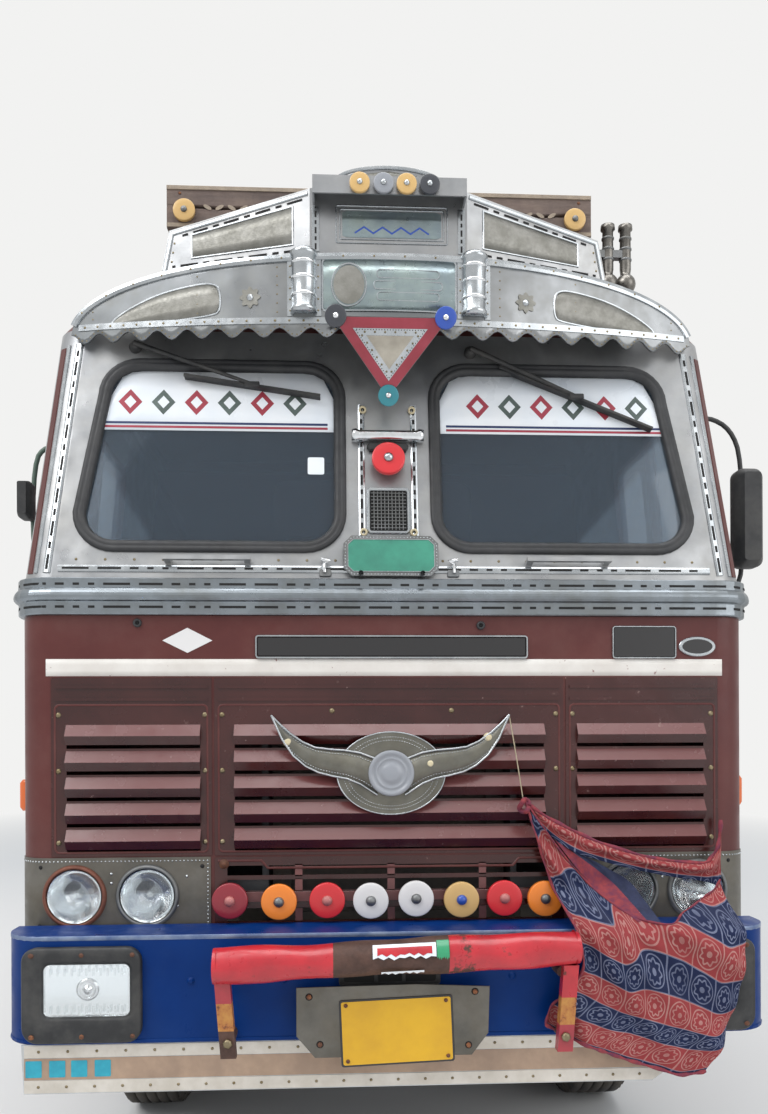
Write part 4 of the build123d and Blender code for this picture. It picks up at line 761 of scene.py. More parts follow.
def mirror(points: Iterable[Point], side: int) -> list[Point]:
    """Give an outline as it stands on that side, still anticlockwise."""
    turned = [(side * x, z) for x, z in points]
    return turned if side > 0 else turned[::-1]


def closed(outline: Path) -> list[Point]:
    """Repeat an outline's first point at its end."""
    return [*outline, outline[0]]


def bar(half: float, height: float, slope: float = 0.001, foot: float = 0.0) -> list[Point]:
    """Give a flat strip's section: distances to its path's left and off the surface."""
    top = foot + height
    return [(half, foot), (half - slope, top), (slope - half, top), (-half, foot)]


# Gathering meshes


@dataclass
class Shape:
    """The mesh of one piece while it is gathered, with its finishes."""

    name: str
    finishes: list[Finish] = field(default_factory=list)
    points: list[Vector] = field(default_factory=list)
    faces: list[tuple[int, ...]] = field(default_factory=list)
    marks: list[tuple[int, bool]] = field(default_factory=list)

    def add(
        self, points: Sequence[Vector], faces: Iterable[Sequence[int]], finish: Finish, smooth: bool = False
    ) -> None:
        """Add points and the faces between them.

        Args:
            points: The new points.
            faces: Numbers among the new points.
            finish: What they are made of.
            smooth: Whether they are shaded as one curved surface.
        """
        start = len(self.points)
        self.points.extend(points)
        if finish not in self.finishes:
            self.finishes.append(finish)
        for face in faces:
            self.faces.append(tuple(start + n for n in face))
            self.marks.append((self.finishes.index(finish), smooth))

    def cap(self, row: Sequence[Vector], finish: Finish, smooth: bool = False) -> None:
        """Add one face between the points of a row."""
        self.add(row, [tuple(range(len(row)))], finish, smooth)

    def box(self, low: Vector, high: Vector, finish: Finish) -> None:
        """Add a box.

        Args:
            low: The corner with the smallest coordinates.
            high: The corner with the largest.
            finish: What it is made of.
        """
        plan = rectangle(low.x, low.y, high.x, high.y)
        corners = [Vector((x, y, z)) for z in (low.z, high.z) for x, y in plan]
        walls = [(n, (n + 1) % 4, 4 + (n + 1) % 4, 4 + n) for n in range(4)]
        self.add(corners, [(0, 3, 2, 1), (4, 5, 6, 7), *walls], finish)

    def rows(
        self, rows: Sequence[Sequence[Vector]], finish: Finish, smooth: bool = True, loop: bool = False,
        around: bool = False,
    ) -> None:
        """Join rows of points with quads.

        Args:
            rows: Rows of as many points each.
            finish: What it is made of.
            smooth: Whether it is shaded as curved.
            loop: Whether the last row joins the first.
            around: Whether each row closes on itself.
        """
        wide, long = len(rows[0]), len(rows)
        faces = []
        for i in range(long if loop else long - 1):
            a, b = i * wide, (i + 1) % long * wide
            for j in range(wide if around else wide - 1):
                k = (j + 1) % wide
                faces.append((a + j, a + k, b + k, b + j))
        self.add([p for row in rows for p in row], faces, finish, smooth)

    def prism(self, base: Sequence[Vector], top: Sequence[Vector], finish: Finish) -> None:
        """Add a solid between two outlines.

        Args:
            base: The points of its foot.
            top: As many points of its top.
            finish: What it is made of.
        """
        n = len(base)
        self.add([*base, *top], [(i, (i + 1) % n, n + (i + 1) % n, n + i) for i in range(n)], finish)
        self.cap(base[::-1], finish)
        self.cap(top, finish)

    def turned(
        self, profile: Path, origin: Vector, axis: Vector, finish: Finish, sides: int = 32
    ) -> None:
        """Turn a profile about an axis.

        Args:
            profile: Distances along the axis and out from it.
            origin: Where the axis starts.
            axis: Its direction.
            finish: What it is made of.
            sides: How many steps round.
        """
        axis = axis.normalized()
        first = axis.orthogonal().normalized()
        second = axis.cross(first)
        ring = [first * cos(t) + second * sin(t) for t in angles(sides)]
        rows = [[origin + axis * a + way * max(r, 1e-5) for way in ring] for a, r in profile]
        self.rows(rows, finish, around=True)

    def boss(
        self, skin: Surface, place: Point, profile: Path, finish: Finish, sides: int = 12, out: float = 0.0
    ) -> None:
        """Turn a profile about an axis that comes forward from a surface.

        Args:
            skin: The surface.
            place: Where on it, across and up.
            profile: Distances along the axis and out from it.
            finish: What it is made of.
            sides: How many steps round.
            out: How far off the surface it starts.
        """
        self.turned(profile, skin.point(*place, out), AHEAD, finish, sides)

    def tube(
        self, path: Sequence[Vector], radius: float | Sequence[float], finish: Finish, sides: int = 12
    ) -> None:
        """Add a round bar with closed ends along a path of points.

        Args:
            path: Its middle line.
            radius: One for the whole of it, or one for each point.
            finish: What it is made of.
            sides: How many steps round.
        """
        sizes = [radius] * len(path) if isinstance(radius, float) else radius
        side = None
        rows = []
        for i, p in enumerate(path):
            way = (path[min(i + 1, len(path) - 1)] - path[max(i - 1, 0)]).normalized()
            side = way.orthogonal() if side is None else side - way * side.dot(way)
            side = side.normalized()
            other = way.cross(side)
            rows.append([p + (side * cos(t) + other * sin(t)) * sizes[i] for t in angles(sides)])
        self.rows(rows, finish, around=True)
        self.cap(rows[0][::-1], finish)
        self.cap(rows[-1], finish)

    def strip(
        self, skin: Surface, path: Path, section: Path, finish: Finish, loop: bool = False,
        smooth: bool = False,
    ) -> None:
        """Sweep a section along a path on a surface.

        Args:
            skin: The surface.
            path: Points across and up on it.
            section: Distances to the path's left and off the surface.
            finish: What it is made of.
            loop: Whether the path closes on itself.
            smooth: Whether the section is curved.
        """
        last = len(path) - 1
        rows = []
        for i, (u, z) in enumerate(path):
            before = path[i - 1] if loop else path[max(i - 1, 0)]
            after = path[(i + 1) % len(path)] if loop else path[min(i + 1, last)]
            a, b = Vector((u - before[0], z - before[1])), Vector((after[0] - u, after[1] - z))
            a, b = (a if a.length > 1e-9 else b), (b if b.length > 1e-9 else a)
            way = (a / a.length + b / b.length) / 2
            left = Vector((-way.y, way.x)) / max(way.length_squared, 0.3)
            rows.append([skin.point(u + left.x * s, z + left.y * s, out) for s, out in section])
        self.rows(rows, finish, smooth, loop)
        if not loop:
            self.cap(rows[0], finish)
            self.cap(rows[-1][::-1], finish)

    def dome(
        self, skin: Surface, u: float, z: float, radius: float, finish: Finish, out: float = 0.0,
        sides: int = 8,
    ) -> None:
        """Add a round head on a surface, such as a rivet's.

        Args:
            skin: The surface.
            u: Across.
            z: Up.
            radius: Of its foot.
            finish: What it is made of.
            out: How far off the surface its foot is.
            sides: How many steps round.
        """
        rows = []
        for share, height in ((1.0, 0.0), (0.8, 0.35), (0.4, 0.55)):
            ring = ellipse((u, z), radius * share, radius * share, sides)
            rows.append([skin.point(*p, out + radius * height) for p in ring])
        self.rows(rows, finish, around=True)
        self.cap(rows[-1], finish)

    def plate(
        self, skin: Surface, outline: Path, thick: float, finish: Finish, out: float = 0.0, edge: float = 0.0
    ) -> None:
        """Lay a flat plate on a surface.

        Args:
            skin: The surface.
            outline: Points across and up, anticlockwise.
            thick: The plate's thickness.
            finish: What it is made of.
            out: How far off the surface its back is.
            edge: Width of the bevel round its front.
        """
        steps = [(outline, 0.0), (outline, thick - edge), (inset(outline, edge), thick)]
        if not edge:
            del steps[2]
        rows = [[skin.point(u, z, out + height) for u, z in line] for line, height in steps]
        self.rows(rows, finish, False, around=True)
        self.cap(rows[-1], finish)

    def panel(self, skin: Surface, outline: Path, thick: float, finish: Finish, out: float = 0.0) -> None:
        """Lay a thin plate that bends with its surface: each column is cut at its outline.

        Args:
            skin: The surface.
            outline: Points across and up.
            thick: The plate's thickness.
            finish: What it is made of.
            out: How far off the surface its back is.
        """
        columns, steps = 24, 3
        low, high = min(u for u, _ in outline), max(u for u, _ in outline)
        rows = []
        for k in range(columns + 1):
            u = low + (high - low) * min(max(k / columns, 1e-4), 1 - 1e-4)
            cuts = [
                a[1] + (b[1] - a[1]) * (u - a[0]) / (b[0] - a[0])
                for a, b in pairs(outline) if (a[0] - u) * (b[0] - u) <= 0 and a[0] != b[0]
            ]
            column = [min(cuts) + (max(cuts) - min(cuts)) * n / steps for n in range(steps + 1)]
            front = [skin.point(u, z, out + thick) for z in column]
            rows.append(front + [skin.point(u, z, out) for z in column[::-1]])
        self.rows(rows, finish, around=True)

    def rivets(
        self, skin: Surface, path: Path, pitch: float, radius: float, finish: Finish, out: float = 0.0
    ) -> None:
        """Set round heads along a path.

        Args:
            skin: The surface.
            path: Points across and up on it.
            pitch: About how far apart they are.
            radius: Of each head.
            finish: What they are made of.
            out: How far off the surface their feet are.
        """
        for u, z in spaced(path, pitch):
            self.dome(skin, u, z, radius, finish, out, 6)

    def slots(
        self, skin: Surface, path: Path, lengths: Sequence[float], gap: float, width: float, out: float
    ) -> None:
        """Lay the dark slots of a trim along a path.

        Args:
            skin: The surface.
            path: Points across and up on it.
            lengths: The slots' lengths, in turn.
            gap: Between one and the next.
            width: Of each slot.
            out: How far off the surface they stand.
        """
        total = path_length(path)
        start, n = gap / 2, 0
        while start < total - gap / 2:
            stop = min(start + lengths[n % len(lengths)], total - gap / 4)
            steps = max(1, ceil((stop - start) / 0.05))
            piece = [along(path, start + (stop - start) * k / steps) for k in range(steps + 1)]
            self.strip(skin, piece, bar(width / 2, 0.002, 0.0, out - 0.002), GAP)
            start, n = stop + gap, n + 1

    def trim(
        self, skin: Surface, path: Path, width: float, height: float, finish: Finish, loop: bool = False
    ) -> None:
        """Lay a low rounded moulding along a path.

        Args:
            skin: The surface.
            path: Points across and up on it.
            width: Of the moulding.
            height: How far it stands off the surface.
            finish: What it is made of.
            loop: Whether the path closes on itself.
        """
        half = [(width / 2 * share, height * rise) for share, rise in ((1.0, 0.0), (0.92, 0.6), (0.5, 1.0))]
        self.strip(skin, path, [*half, *((-s, out) for s, out in half[::-1])], finish, loop)

    def make(self, body: str, slot: str, *replaced: str) -> bpy.types.Object:
        """Turn what was gathered into an object that rides on a body.

        Args:
            body: The CAD body that carries it.
            slot: The record's material slot, or nothing; not used.
            replaced: CAD nodes that it stands for.

        Returns:
            The object.
        """
        mesh = bpy.data.meshes.new(self.name)
        mesh.from_pydata(self.points, [], self.faces)
        for finish in self.finishes:
            mesh.materials.append(finish.build())
        mesh.polygons.foreach_set("material_index", [m for m, _ in self.marks])
        mesh.polygons.foreach_set("use_smooth", [s for _, s in self.marks])
        mesh.validate()
        made = placed(self.name, mesh)
        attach(made, body)
        if replaced:
            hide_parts(*replaced)
        return made


# The cowl, the visor and the crown

SLOT_LENGTHS = (0.085, 0.075, 0.028, 0.02, 0.02)  # along the belt rail and under the windscreens
SLOT_GAP = 0.028
STEEL_BAR = bar(0.010, 0.003)  # section of the thin strips up the visor


@dataclass(frozen=True)
class BeltRail:
    """Stainless rail between the cowl and the windscreens: a round bulge between two slotted strips."""

    end: float = 1.53  # how far it runs round each corner
    middle: float = 2.09
    section: tuple[Point, ...] = (
        (0.06, 0.0), (0.06, 0.015), (0.057, 0.018), (0.028, 0.019), (0.024, 0.024), (0.018, 0.029),
        (0.010, 0.0325), (0.002, 0.034), (-0.006, 0.0325), (-0.013, 0.027), (-0.017, 0.020), (-0.02, 0.018),
        (-0.054, 0.018), (-0.058, 0.015), (-0.06, 0.0),
    )
    slot_heights: Point = (2.129, 2.056)
    slot_end: float = 1.3
    slot_out: float = 0.0196

    def build(self) -> None:
        """Make the rail and its slots."""
        shape = Shape("belt_rail_dressed")
        path = divided([(-self.end, self.middle), (self.end, self.middle)], 0.03)
        shape.strip(COWL_SKIN, path, self.section, BELT)
        for z in self.slot_heights:
            path = [(-self.slot_end, z), (self.slot_end, z)]
            shape.slots(COWL_SKIN, path, SLOT_LENGTHS, SLOT_GAP, 0.0075, self.slot_out)
        shape.make("truck", "stainless", "belt_rail")


@dataclass(frozen=True)
class CowlDress:
    """What is painted, screwed or stuck on the cowl between the belt rail and the lamps."""

    stripe: Point = (1.835, 1.89)
    stripe_end: float = 1.105
    name_strip: Point = (0.008, 1.93)  # its middle
    side_plate: Point = (0.842, 1.946)
    badge: Point = (1.02, 1.932)
    screw: float = 0.009
    screw_columns: tuple[float, ...] = (0.545, 0.6, 1.065)
    screw_heights: tuple[float, ...] = (1.3, 1.53, 1.71)
    sheets: tuple[Point, ...] = ((-1.076, -0.592), (-0.556, 0.556), (0.592, 1.076))
    sheet_heights: Point = (1.268, 1.742)

    def stripe_and_plates(self) -> None:
        """Make the white stripe, the blank plates under the rail, the lozenge and the grommets."""
        shape = Shape("cowl_stripe_and_plates")
        ends = rectangle(-self.stripe_end, self.stripe[0], self.stripe_end, self.stripe[1])
        shape.panel(COWL_SKIN, ends, 0.0012, WHITE_STRIPE)
        for place, wide, high, thick, grow, rim in (
            (self.name_strip, 0.875, 0.06, 0.006, 0.01, (0.008, 0.007)),
            (self.side_plate, 0.205, 0.098, 0.005, 0.005, (0.006, 0.006)),
        ):
            shape.plate(COWL_SKIN, across(*place, wide, high, 0.006), thick, NAME_DARK, edge=0.002)
            shape.trim(COWL_SKIN, across(*place, wide + grow, high + grow, 0.008), *rim, BRIGHT, True)
        shape.plate(COWL_SKIN, ellipse(self.badge, 0.062, 0.033), 0.006, BRIGHT, edge=0.002)
        shape.plate(COWL_SKIN, ellipse(self.badge, 0.051, 0.024), 0.0075, NAME_DARK, edge=0.001)
        lozenge = [(-0.575, 1.95), (-0.655, 1.991), (-0.735, 1.95), (-0.655, 1.91)]
        shape.plate(COWL_SKIN, lozenge, 0.001, WHITE)
        for place in ((-0.814, 2.006), (0.298, 2.0)):
            grommet = [(0, 0.014), (0.006, 0.014), (0.01, 0.009), (0.004, 0.006)]
            shape.boss(COWL_SKIN, place, grommet, RUBBER, 16)
            shape.boss(COWL_SKIN, place, [(0.004, 0.006), (0.006, 0.0)], GAP, 16)
        shape.make("truck", "cab_paint")

    def grille_hardware(self) -> None:
        """Make the screws, the locks and the washers on the grille sheets."""
        shape = Shape("grille_screws_and_lock")
        places = [(side * x, z) for side in SIDES for x in self.screw_columns for z in self.screw_heights]
        for x, z in [*places, (-0.19, 1.722), (0.2, 1.722)]:
            shape.dome(SHEET_SKIN, x, z, self.screw, BRASS, sides=10)
        lock = [(0, 0.021), (0.006, 0.021), (0.009, 0.018), (0.009, 0.013), (0.006, 0.012)]
        for place in ((-0.468, 1.302), (0.492, 1.302)):
            shape.boss(SHEET_SKIN, place, lock, BRIGHT, 20)
            shape.boss(SHEET_SKIN, place, [(0.006, 0.012), (0.007, 0.0)], NAME_DARK, 20)
        washer = [(0, 0.016), (0.004, 0.016), (0.008, 0.01), (0.012, 0.009), (0.013, 0.0)]
        for place in ((x, z) for x in (-0.54, 0.54) for z in (1.02, 1.228)):
            shape.boss(SHEET_SKIN, place, washer, RUST)
        shape.make("truck", "stainless")

    def pressed_lines(self) -> None:
        """Make the borders pressed into the grille sheets, and the painted highlights on the rail and bars of
        the lower one.
        """
        shape = Shape("grille_pressed_borders")
        for left, right in self.sheets:
            border = rounded((left, self.sheet_heights[0]), (right, self.sheet_heights[1]), 0.014)
            shape.trim(SHEET_SKIN, border, 0.007, 0.0022, MAROON, True)
        notch = [(-0.56, 1.238), (-0.42, 1.238), (-0.4, 1.214)]
        shape.trim(SHEET_SKIN, [*notch, *mirror(notch, -1)], 0.008, 0.003, MAROON)
        # painted highlight: thin pale plates on the lower grille's bars and rail, where the light falls on
        # them
        for z in (1.062, 1.158, 1.206):
            for x in (-0.3, 0.0, 0.3):
                louvre = rectangle(x - 0.012, z - 0.02, x + 0.012, z + 0.02)
                shape.plate(SHEET_SKIN, louvre, 0.002, MAROON_PAINTED_HIGHLIGHT, -0.002)
        shape.plate(SHEET_SKIN, rectangle(-0.52, 1.104, 0.52, 1.136), 0.003, MAROON_PAINTED_HIGHLIGHT, edge=0.001)
        shape.make("truck", "grille_paint")

    def build(self) -> None:
        """Make all of it."""
        self.stripe_and_plates()
        self.grille_hardware()
        self.pressed_lines()


@dataclass(frozen=True)
class Visor:
    """The bowed stainless visor with its riveted strips, pillars and etched panels."""

    half: float = 1.06
    low: float = 2.93
    end_lift: float = 0.045
    rise: float = 0.253
    roundness: float = 2.4
    lobes: int = 21
    lobe_depth: float = 0.016
    sheet: float = 0.008
    strip_height: float = 0.036
    rivet: float = 0.0042
    shelf_half: float = 0.88
    shelf_rear: float = 0.4
    pillar: float = 0.274  # place across
    pillar_radius: float = 0.039
    pillar_ends: Point = (2.99, 3.198)
    panel_middle: float = 3.082
    ring: Point = (-0.13, 3.082)
    rosette: Point = (0.447, 3.05)
    leaf: tuple[Point, ...] = (
        (0.545, 3.012), (0.57, 3.0), (0.7, 2.992), (0.86, 2.993), (0.925, 3.005), (0.86, 3.046),
        (0.74, 3.088), (0.6, 3.106), (0.56, 3.1), (0.545, 3.08),
    )

    def base(self, u: float) -> float:
        """Give the middle height of the wavy lower edge at u."""
        return self.low + self.end_lift * (u / self.half) ** 2

    def rim(self, u: float) -> float:
        """Give the height of the upper edge at u."""
        share = min(abs(u) / self.half, 1.0)
        return self.base(u) + self.rise * (1 - share**self.roundness) ** (1 / self.roundness)

    def wave(self, u: float) -> float:
        """Give the height of the wavy lower edge at u."""
        return self.base(u) - self.lobe_depth * cos(pi * self.lobes * u / self.half)

    def path(self, height: Callable[[float], float], up: float, end: float, count: int = 64) -> list[Point]:
        """Give points along the visor above one of its edges, closer together at its ends.

        Args:
            height: The edge's height at a place across.
            up: How far above it.
            end: How far across they go.
            count: How many steps.

        Returns:
            The points.
        """
        places = [-end * cos(pi * n / count) for n in range(count + 1)]
        return [(u, height(u) + up) for u in places]

    def make_sheet(self, shape: Shape) -> None:
        """Add the bowed sheet with its wavy edge, and the shelf behind it that lies on the roof.

        Args:
            shape: The piece that it belongs to.
        """
        count = self.lobes * 8
        rows = []
        for k in range(count + 1):
            u = self.half * (2 * k / count - 1)
            low, high = self.wave(u), max(self.rim(u), self.wave(u) + 0.001)
            heights = [low + (high - low) * n / 8 for n in range(9)]
            front = [VISOR_SKIN.point(u, z) for z in heights]
            rows.append(front + [VISOR_SKIN.point(u, z, -self.sheet) for z in heights[::-1]])
        shape.rows(rows, STAINLESS, around=True)
        for z in (3.110, 3.116):
            fronts = [VISOR_SKIN.point(self.shelf_half * (k / 12 - 1), z, -0.003) for k in range(25)]
            shape.rows([[p, at(p.x, self.shelf_rear, z)] for p in fronts], DULL_STEEL, False)

    def make_strips(self, shape: Shape) -> None:
        """Add the riveted strips along both edges and up the sheet.

        Args:
            shape: The piece that it belongs to.
        """
        lower = self.path(self.base, self.strip_height, self.half - 0.03)
        shape.strip(VISOR_SKIN, lower, bar(0.011, 0.003), BRIGHT)
        shape.rivets(VISOR_SKIN, lower, 0.046, self.rivet, BRASS, 0.003)
        rim = self.path(self.rim, -0.011, self.half - 0.012, 96)
        bead = [(0.012, 0.0), (0.011, 0.005), (0.0, 0.007), (-0.010, 0.005), (-0.012, 0.0)]
        shape.strip(VISOR_SKIN, rim, bead, BRIGHT)
        shape.rivets(VISOR_SKIN, rim, 0.1, self.rivet, BRASS, 0.006)
        edge = [(u, self.wave(u) + 0.007) for u in (self.half * (n / 168 - 1) * 0.99 for n in range(337))]
        shape.rivets(VISOR_SKIN, edge, 0.0168, 0.0027, BRASS)
        for u in (side * u for side in SIDES for u in (0.318, 0.228)):
            path = [(u, self.base(u) + 0.05), (u, self.rim(u) - 0.02)]
            shape.strip(VISOR_SKIN, divided(path), STEEL_BAR, BRIGHT)
            shape.rivets(VISOR_SKIN, path, 0.034, self.rivet * 0.8, BRASS, 0.003)
        for u in (side * u for side in SIDES for u in (0.98, 0.62, 0.36)):
            path = [(u, self.base(u) + 0.05), (u, self.rim(u) - 0.022)]
            shape.rivets(VISOR_SKIN, path, 0.03, self.rivet * 0.7, BRASS)

    def make_pillars(self, shape: Shape) -> None:
        """Add the two half-round pillars with their feet, caps and rings.

        Args:
            shape: The piece that it belongs to.
        """
        radius = self.pillar_radius
        foot, top = self.pillar_ends
        cap = [(-0.03, 0.0), (-0.026, 0.005), (-0.014, 0.006), (-0.008, -0.002), (0.0, -0.012)]
        profile = [
            (0, 0.0), (0, radius + 0.004), (0.014, radius + 0.004), (0.02, radius),
            *((top - foot + a, radius + r) for a, r in cap), (top - foot, 0.0),
        ]
        ring = [(0, radius), (0.003, radius + 0.0035), (0.008, radius + 0.0035), (0.011, radius)]
        for side in SIDES:
            origin = VISOR_SKIN.point(side * self.pillar, foot)
            shape.turned(profile, origin, UP, BRIGHT, 28)
            for z in (foot + 0.05, (foot + top) / 2, top - 0.055):
                shape.turned(ring, Vector((origin.x, origin.y, z)), UP, CHROME, 28)

    def make_panels(self, shape: Shape) -> None:
        """Add the tinted middle panel with its plain frames, the etched leaves and the rosettes.

        Args:
            shape: The piece that it belongs to.
        """
        middle = (0.0, self.panel_middle, 0.43, 0.165)
        shape.panel(VISOR_SKIN, across(*middle, 0.01), 0.0015, TINTED)
        shape.trim(VISOR_SKIN, divided(closed(across(*middle, 0.012))), 0.007, 0.004, BRIGHT)
        shape.trim(VISOR_SKIN, ellipse(self.ring, 0.055, 0.068), 0.006, 0.004, BRIGHT, True)
        shape.plate(VISOR_SKIN, ellipse(self.ring, 0.05, 0.062), 0.0025, ETCHED)
        for up, wide in ((0.036, 0.2), (0.0, 0.22), (-0.036, 0.2)):
            line = across(0.06, self.panel_middle + up, wide, 0.026, 0.01)
            shape.trim(VISOR_SKIN, closed(line), 0.004, 0.003, BRIGHT)
        for side in SIDES:
            leaf = softened(mirror(self.leaf, side))
            shape.panel(VISOR_SKIN, leaf, 0.0012, ETCHED)
            shape.trim(VISOR_SKIN, leaf, 0.006, 0.003, BRIGHT, True)
            centre = (side * self.rosette[0], self.rosette[1])
            shape.plate(VISOR_SKIN, petals(centre, 0.03, 8, 0.16), 0.003, ETCHED)
            shape.dome(VISOR_SKIN, *centre, 0.011, BRIGHT, 0.003, 12)

    def build(self) -> None:
        """Make the visor."""
        shape = Shape("visor_dressed")
        self.make_sheet(shape)
        self.make_strips(shape)
        self.make_pillars(shape)
        self.make_panels(shape)
        shape.make("truck", "stainless", "visor")


@dataclass(frozen=True)
class Crown:
    """Trims of the roof crown: etched wings, slotted borders and the framed middle with its zigzag and arch.
    """

    wing_panel: tuple[Point, ...] = ((0.31, 3.228), (0.648, 3.228), (0.648, 3.305), (0.31, 3.352))
    top_edge: tuple[Point, ...] = ((0.262, 3.388), (0.716, 3.318), (0.742, 3.196))
    foot: float = 3.208
    middle: Point = (0.01, 3.29)
    arch: Point = (0.17, 0.05)  # half width and rise
    arch_foot: float = 3.425

    def wings(self, shape: Shape) -> None:
        """Add the etched panels and slotted borders of both wings.

        Args:
            shape: The piece that it belongs to.
        """
        for side in SIDES:
            outline = mirror(self.wing_panel, side)
            shape.panel(CROWN_SKIN, outline, 0.0012, ETCHED)
            shape.trim(CROWN_SKIN, closed(outline), 0.006, 0.0035, BRIGHT)
            shape.trim(CROWN_SKIN, mirror(self.top_edge, side), 0.014, 0.005, BRIGHT)
            border = [(side * 0.27, 3.371), (side * 0.7, 3.304)]
            shape.slots(CROWN_SKIN, border, (0.05, 0.02), 0.018, 0.007, 0.0012)
            foot = [(side * 0.27, self.foot), (side * 0.72, self.foot)]
            shape.slots(CROWN_SKIN, foot, (0.06, 0.02), 0.018, 0.007, 0.0012)
            shape.rivets(CROWN_SKIN, [(side * 0.72, 3.21), (side * 0.705, 3.3)], 0.03, 0.004, BRASS)

    def framed_middle(self, shape: Shape) -> None:
        """Add the framed middle with its double lines, its zigzag and its arch.

        Args:
            shape: The piece that it belongs to.
        """
        for cut in (0.0, 0.024):
            frame_line = across(*self.middle, 0.36 - cut, 0.12 - cut, 0.006)
            shape.trim(CROWN_SKIN, frame_line, 0.005, 0.003, BRIGHT, True)
        shape.panel(CROWN_SKIN, across(*self.middle, 0.32, 0.085, 0.006), 0.001, TINTED)
        zigzag = [(-0.11 + 0.03 * n, 3.262 + 0.02 * (n % 2)) for n in range(9)]
        shape.trim(CROWN_SKIN, zigzag, 0.006, 0.002, BLUE_DISC)
        for side in SIDES:
            path = [(side * 0.236, 3.2), (side * 0.236, 3.345)]
            shape.strip(CROWN_SKIN, path, bar(0.012, 0.003), BRIGHT)
            shape.slots(CROWN_SKIN, path, (0.02, 0.012), 0.01, 0.006, 0.0036)
        half, rise = self.arch
        arch = [(half * cos(pi * n / 16), self.arch_foot + rise * sin(pi * n / 16)) for n in range(17)]
        shape.trim(CROWN_SKIN, arch, 0.012, 0.006, BRIGHT)
        field_half = [(0.12, 3.43), (0.09, 3.452)]
        arched_field = [*field_half, (0, 3.464), *mirror(field_half, -1)]
        shape.panel(CROWN_SKIN, arched_field, 0.001, ETCHED)

    def build(self) -> None:
        """Make the crown's trims."""
        shape = Shape("crown_trims")
        self.wings(shape)
        self.framed_middle(shape)
        shape.make("truck", "stainless")


@dataclass(frozen=True)
class Ornament:
    """The winged ornament on the grille: an oval plate, two stitched wings and a turned boss."""

    z: float = 1.519
    oval: Point = (0.175, 0.133)
    face: float = -0.027
    # edges of the wing at the truck's right, out from the middle and up from z
    upper: tuple[Point, ...] = (
        (-0.045, 0.045), (-0.1, 0.066), (-0.147, 0.074), (-0.2, 0.078), (-0.245, 0.084), (-0.285, 0.102),
        (-0.325, 0.13), (-0.358, 0.16), (-0.385, 0.188),
    )
    lower: tuple[Point, ...] = (
        (-0.045, -0.07), (-0.1, -0.034), (-0.142, -0.017), (-0.19, -0.008), (-0.235, 0.004), (-0.275, 0.024),
        (-0.315, 0.058), (-0.35, 0.11), (-0.385, 0.188),
    )
    studs: tuple[Point, ...] = ((-0.332, 0.103), (0.316, 0.114), (0.127, 0.030))
    stitch: float = 0.0022

    def wing(self, shape: Shape, side: int) -> None:
        """Add one wing with its raised edges and stitching.

        Args:
            shape: The piece that it belongs to.
            side: Which side it is on.
        """
        skin = flat_skin(self.face - 0.004)
        middle = [between(top, bottom, 0.5) for top, bottom in zip(self.upper, self.lower)]
        rows = []
        for top, mid, bottom in zip(self.upper, middle, self.lower):
            ribs = [(bottom, 0.002), (bottom, 0.006), (mid, 0.0085), (top, 0.006), (top, 0.002)]
            rows.append([skin.point(-side * p[0], self.z + p[1], out) for p, out in ribs])
        shape.rows(rows, ORNAMENT)
        for edge in (self.upper, self.lower):
            shape.tube([skin.point(-side * u, self.z + v, 0.006) for u, v in edge], 0.0035, BRIGHT, 8)
            seam = [between(a, m, 0.28) for a, m in zip(edge, middle)]
            for u, v in spaced([(-side * u, self.z + v) for u, v in seam[:-1]], 0.009):
                shape.dome(skin, u, v, self.stitch, BRIGHT, 0.0072, 5)

    def build(self) -> None:
        """Make the ornament."""
        shape = Shape("winged_ornament_dressed")
        skin = flat_skin(self.face)
        oval = ellipse((0.0, self.z), *self.oval, 64)
        shape.plate(skin, oval, 0.004, ORNAMENT, edge=0.0015)
        shape.tube([skin.point(u, v, 0.004) for u, v in closed(oval)], 0.0025, BRIGHT, 6)
        for share in (0.88, 0.8):
            ring = ellipse((0.0, self.z), self.oval[0] * share, self.oval[1] * share, 64)
            for u, v in spaced(closed(ring), 0.0085):
                shape.dome(skin, u, v, self.stitch, BRIGHT, 0.0038, 5)
        for side in SIDES:
            self.wing(shape, side)
        boss = [
            (0, 0.074), (0.016, 0.074), (0.02, 0.07), (0.019, 0.062), (0.015, 0.059), (0.014, 0.052),
            (0.0165, 0.05), (0.0165, 0.046), (0.014, 0.044), (0.014, 0.034), (0.018, 0.03), (0.02, 0.02),
            (0.0205, 0.0),
        ]
        shape.boss(skin, (0.0, self.z), boss, GREY, 48)
        for u, v in self.studs:
            shape.dome(skin, u, self.z + v, 0.016, CREAM, 0.005, 16)
        shape.make("truck", "ornament_steel", "winged_ornament")


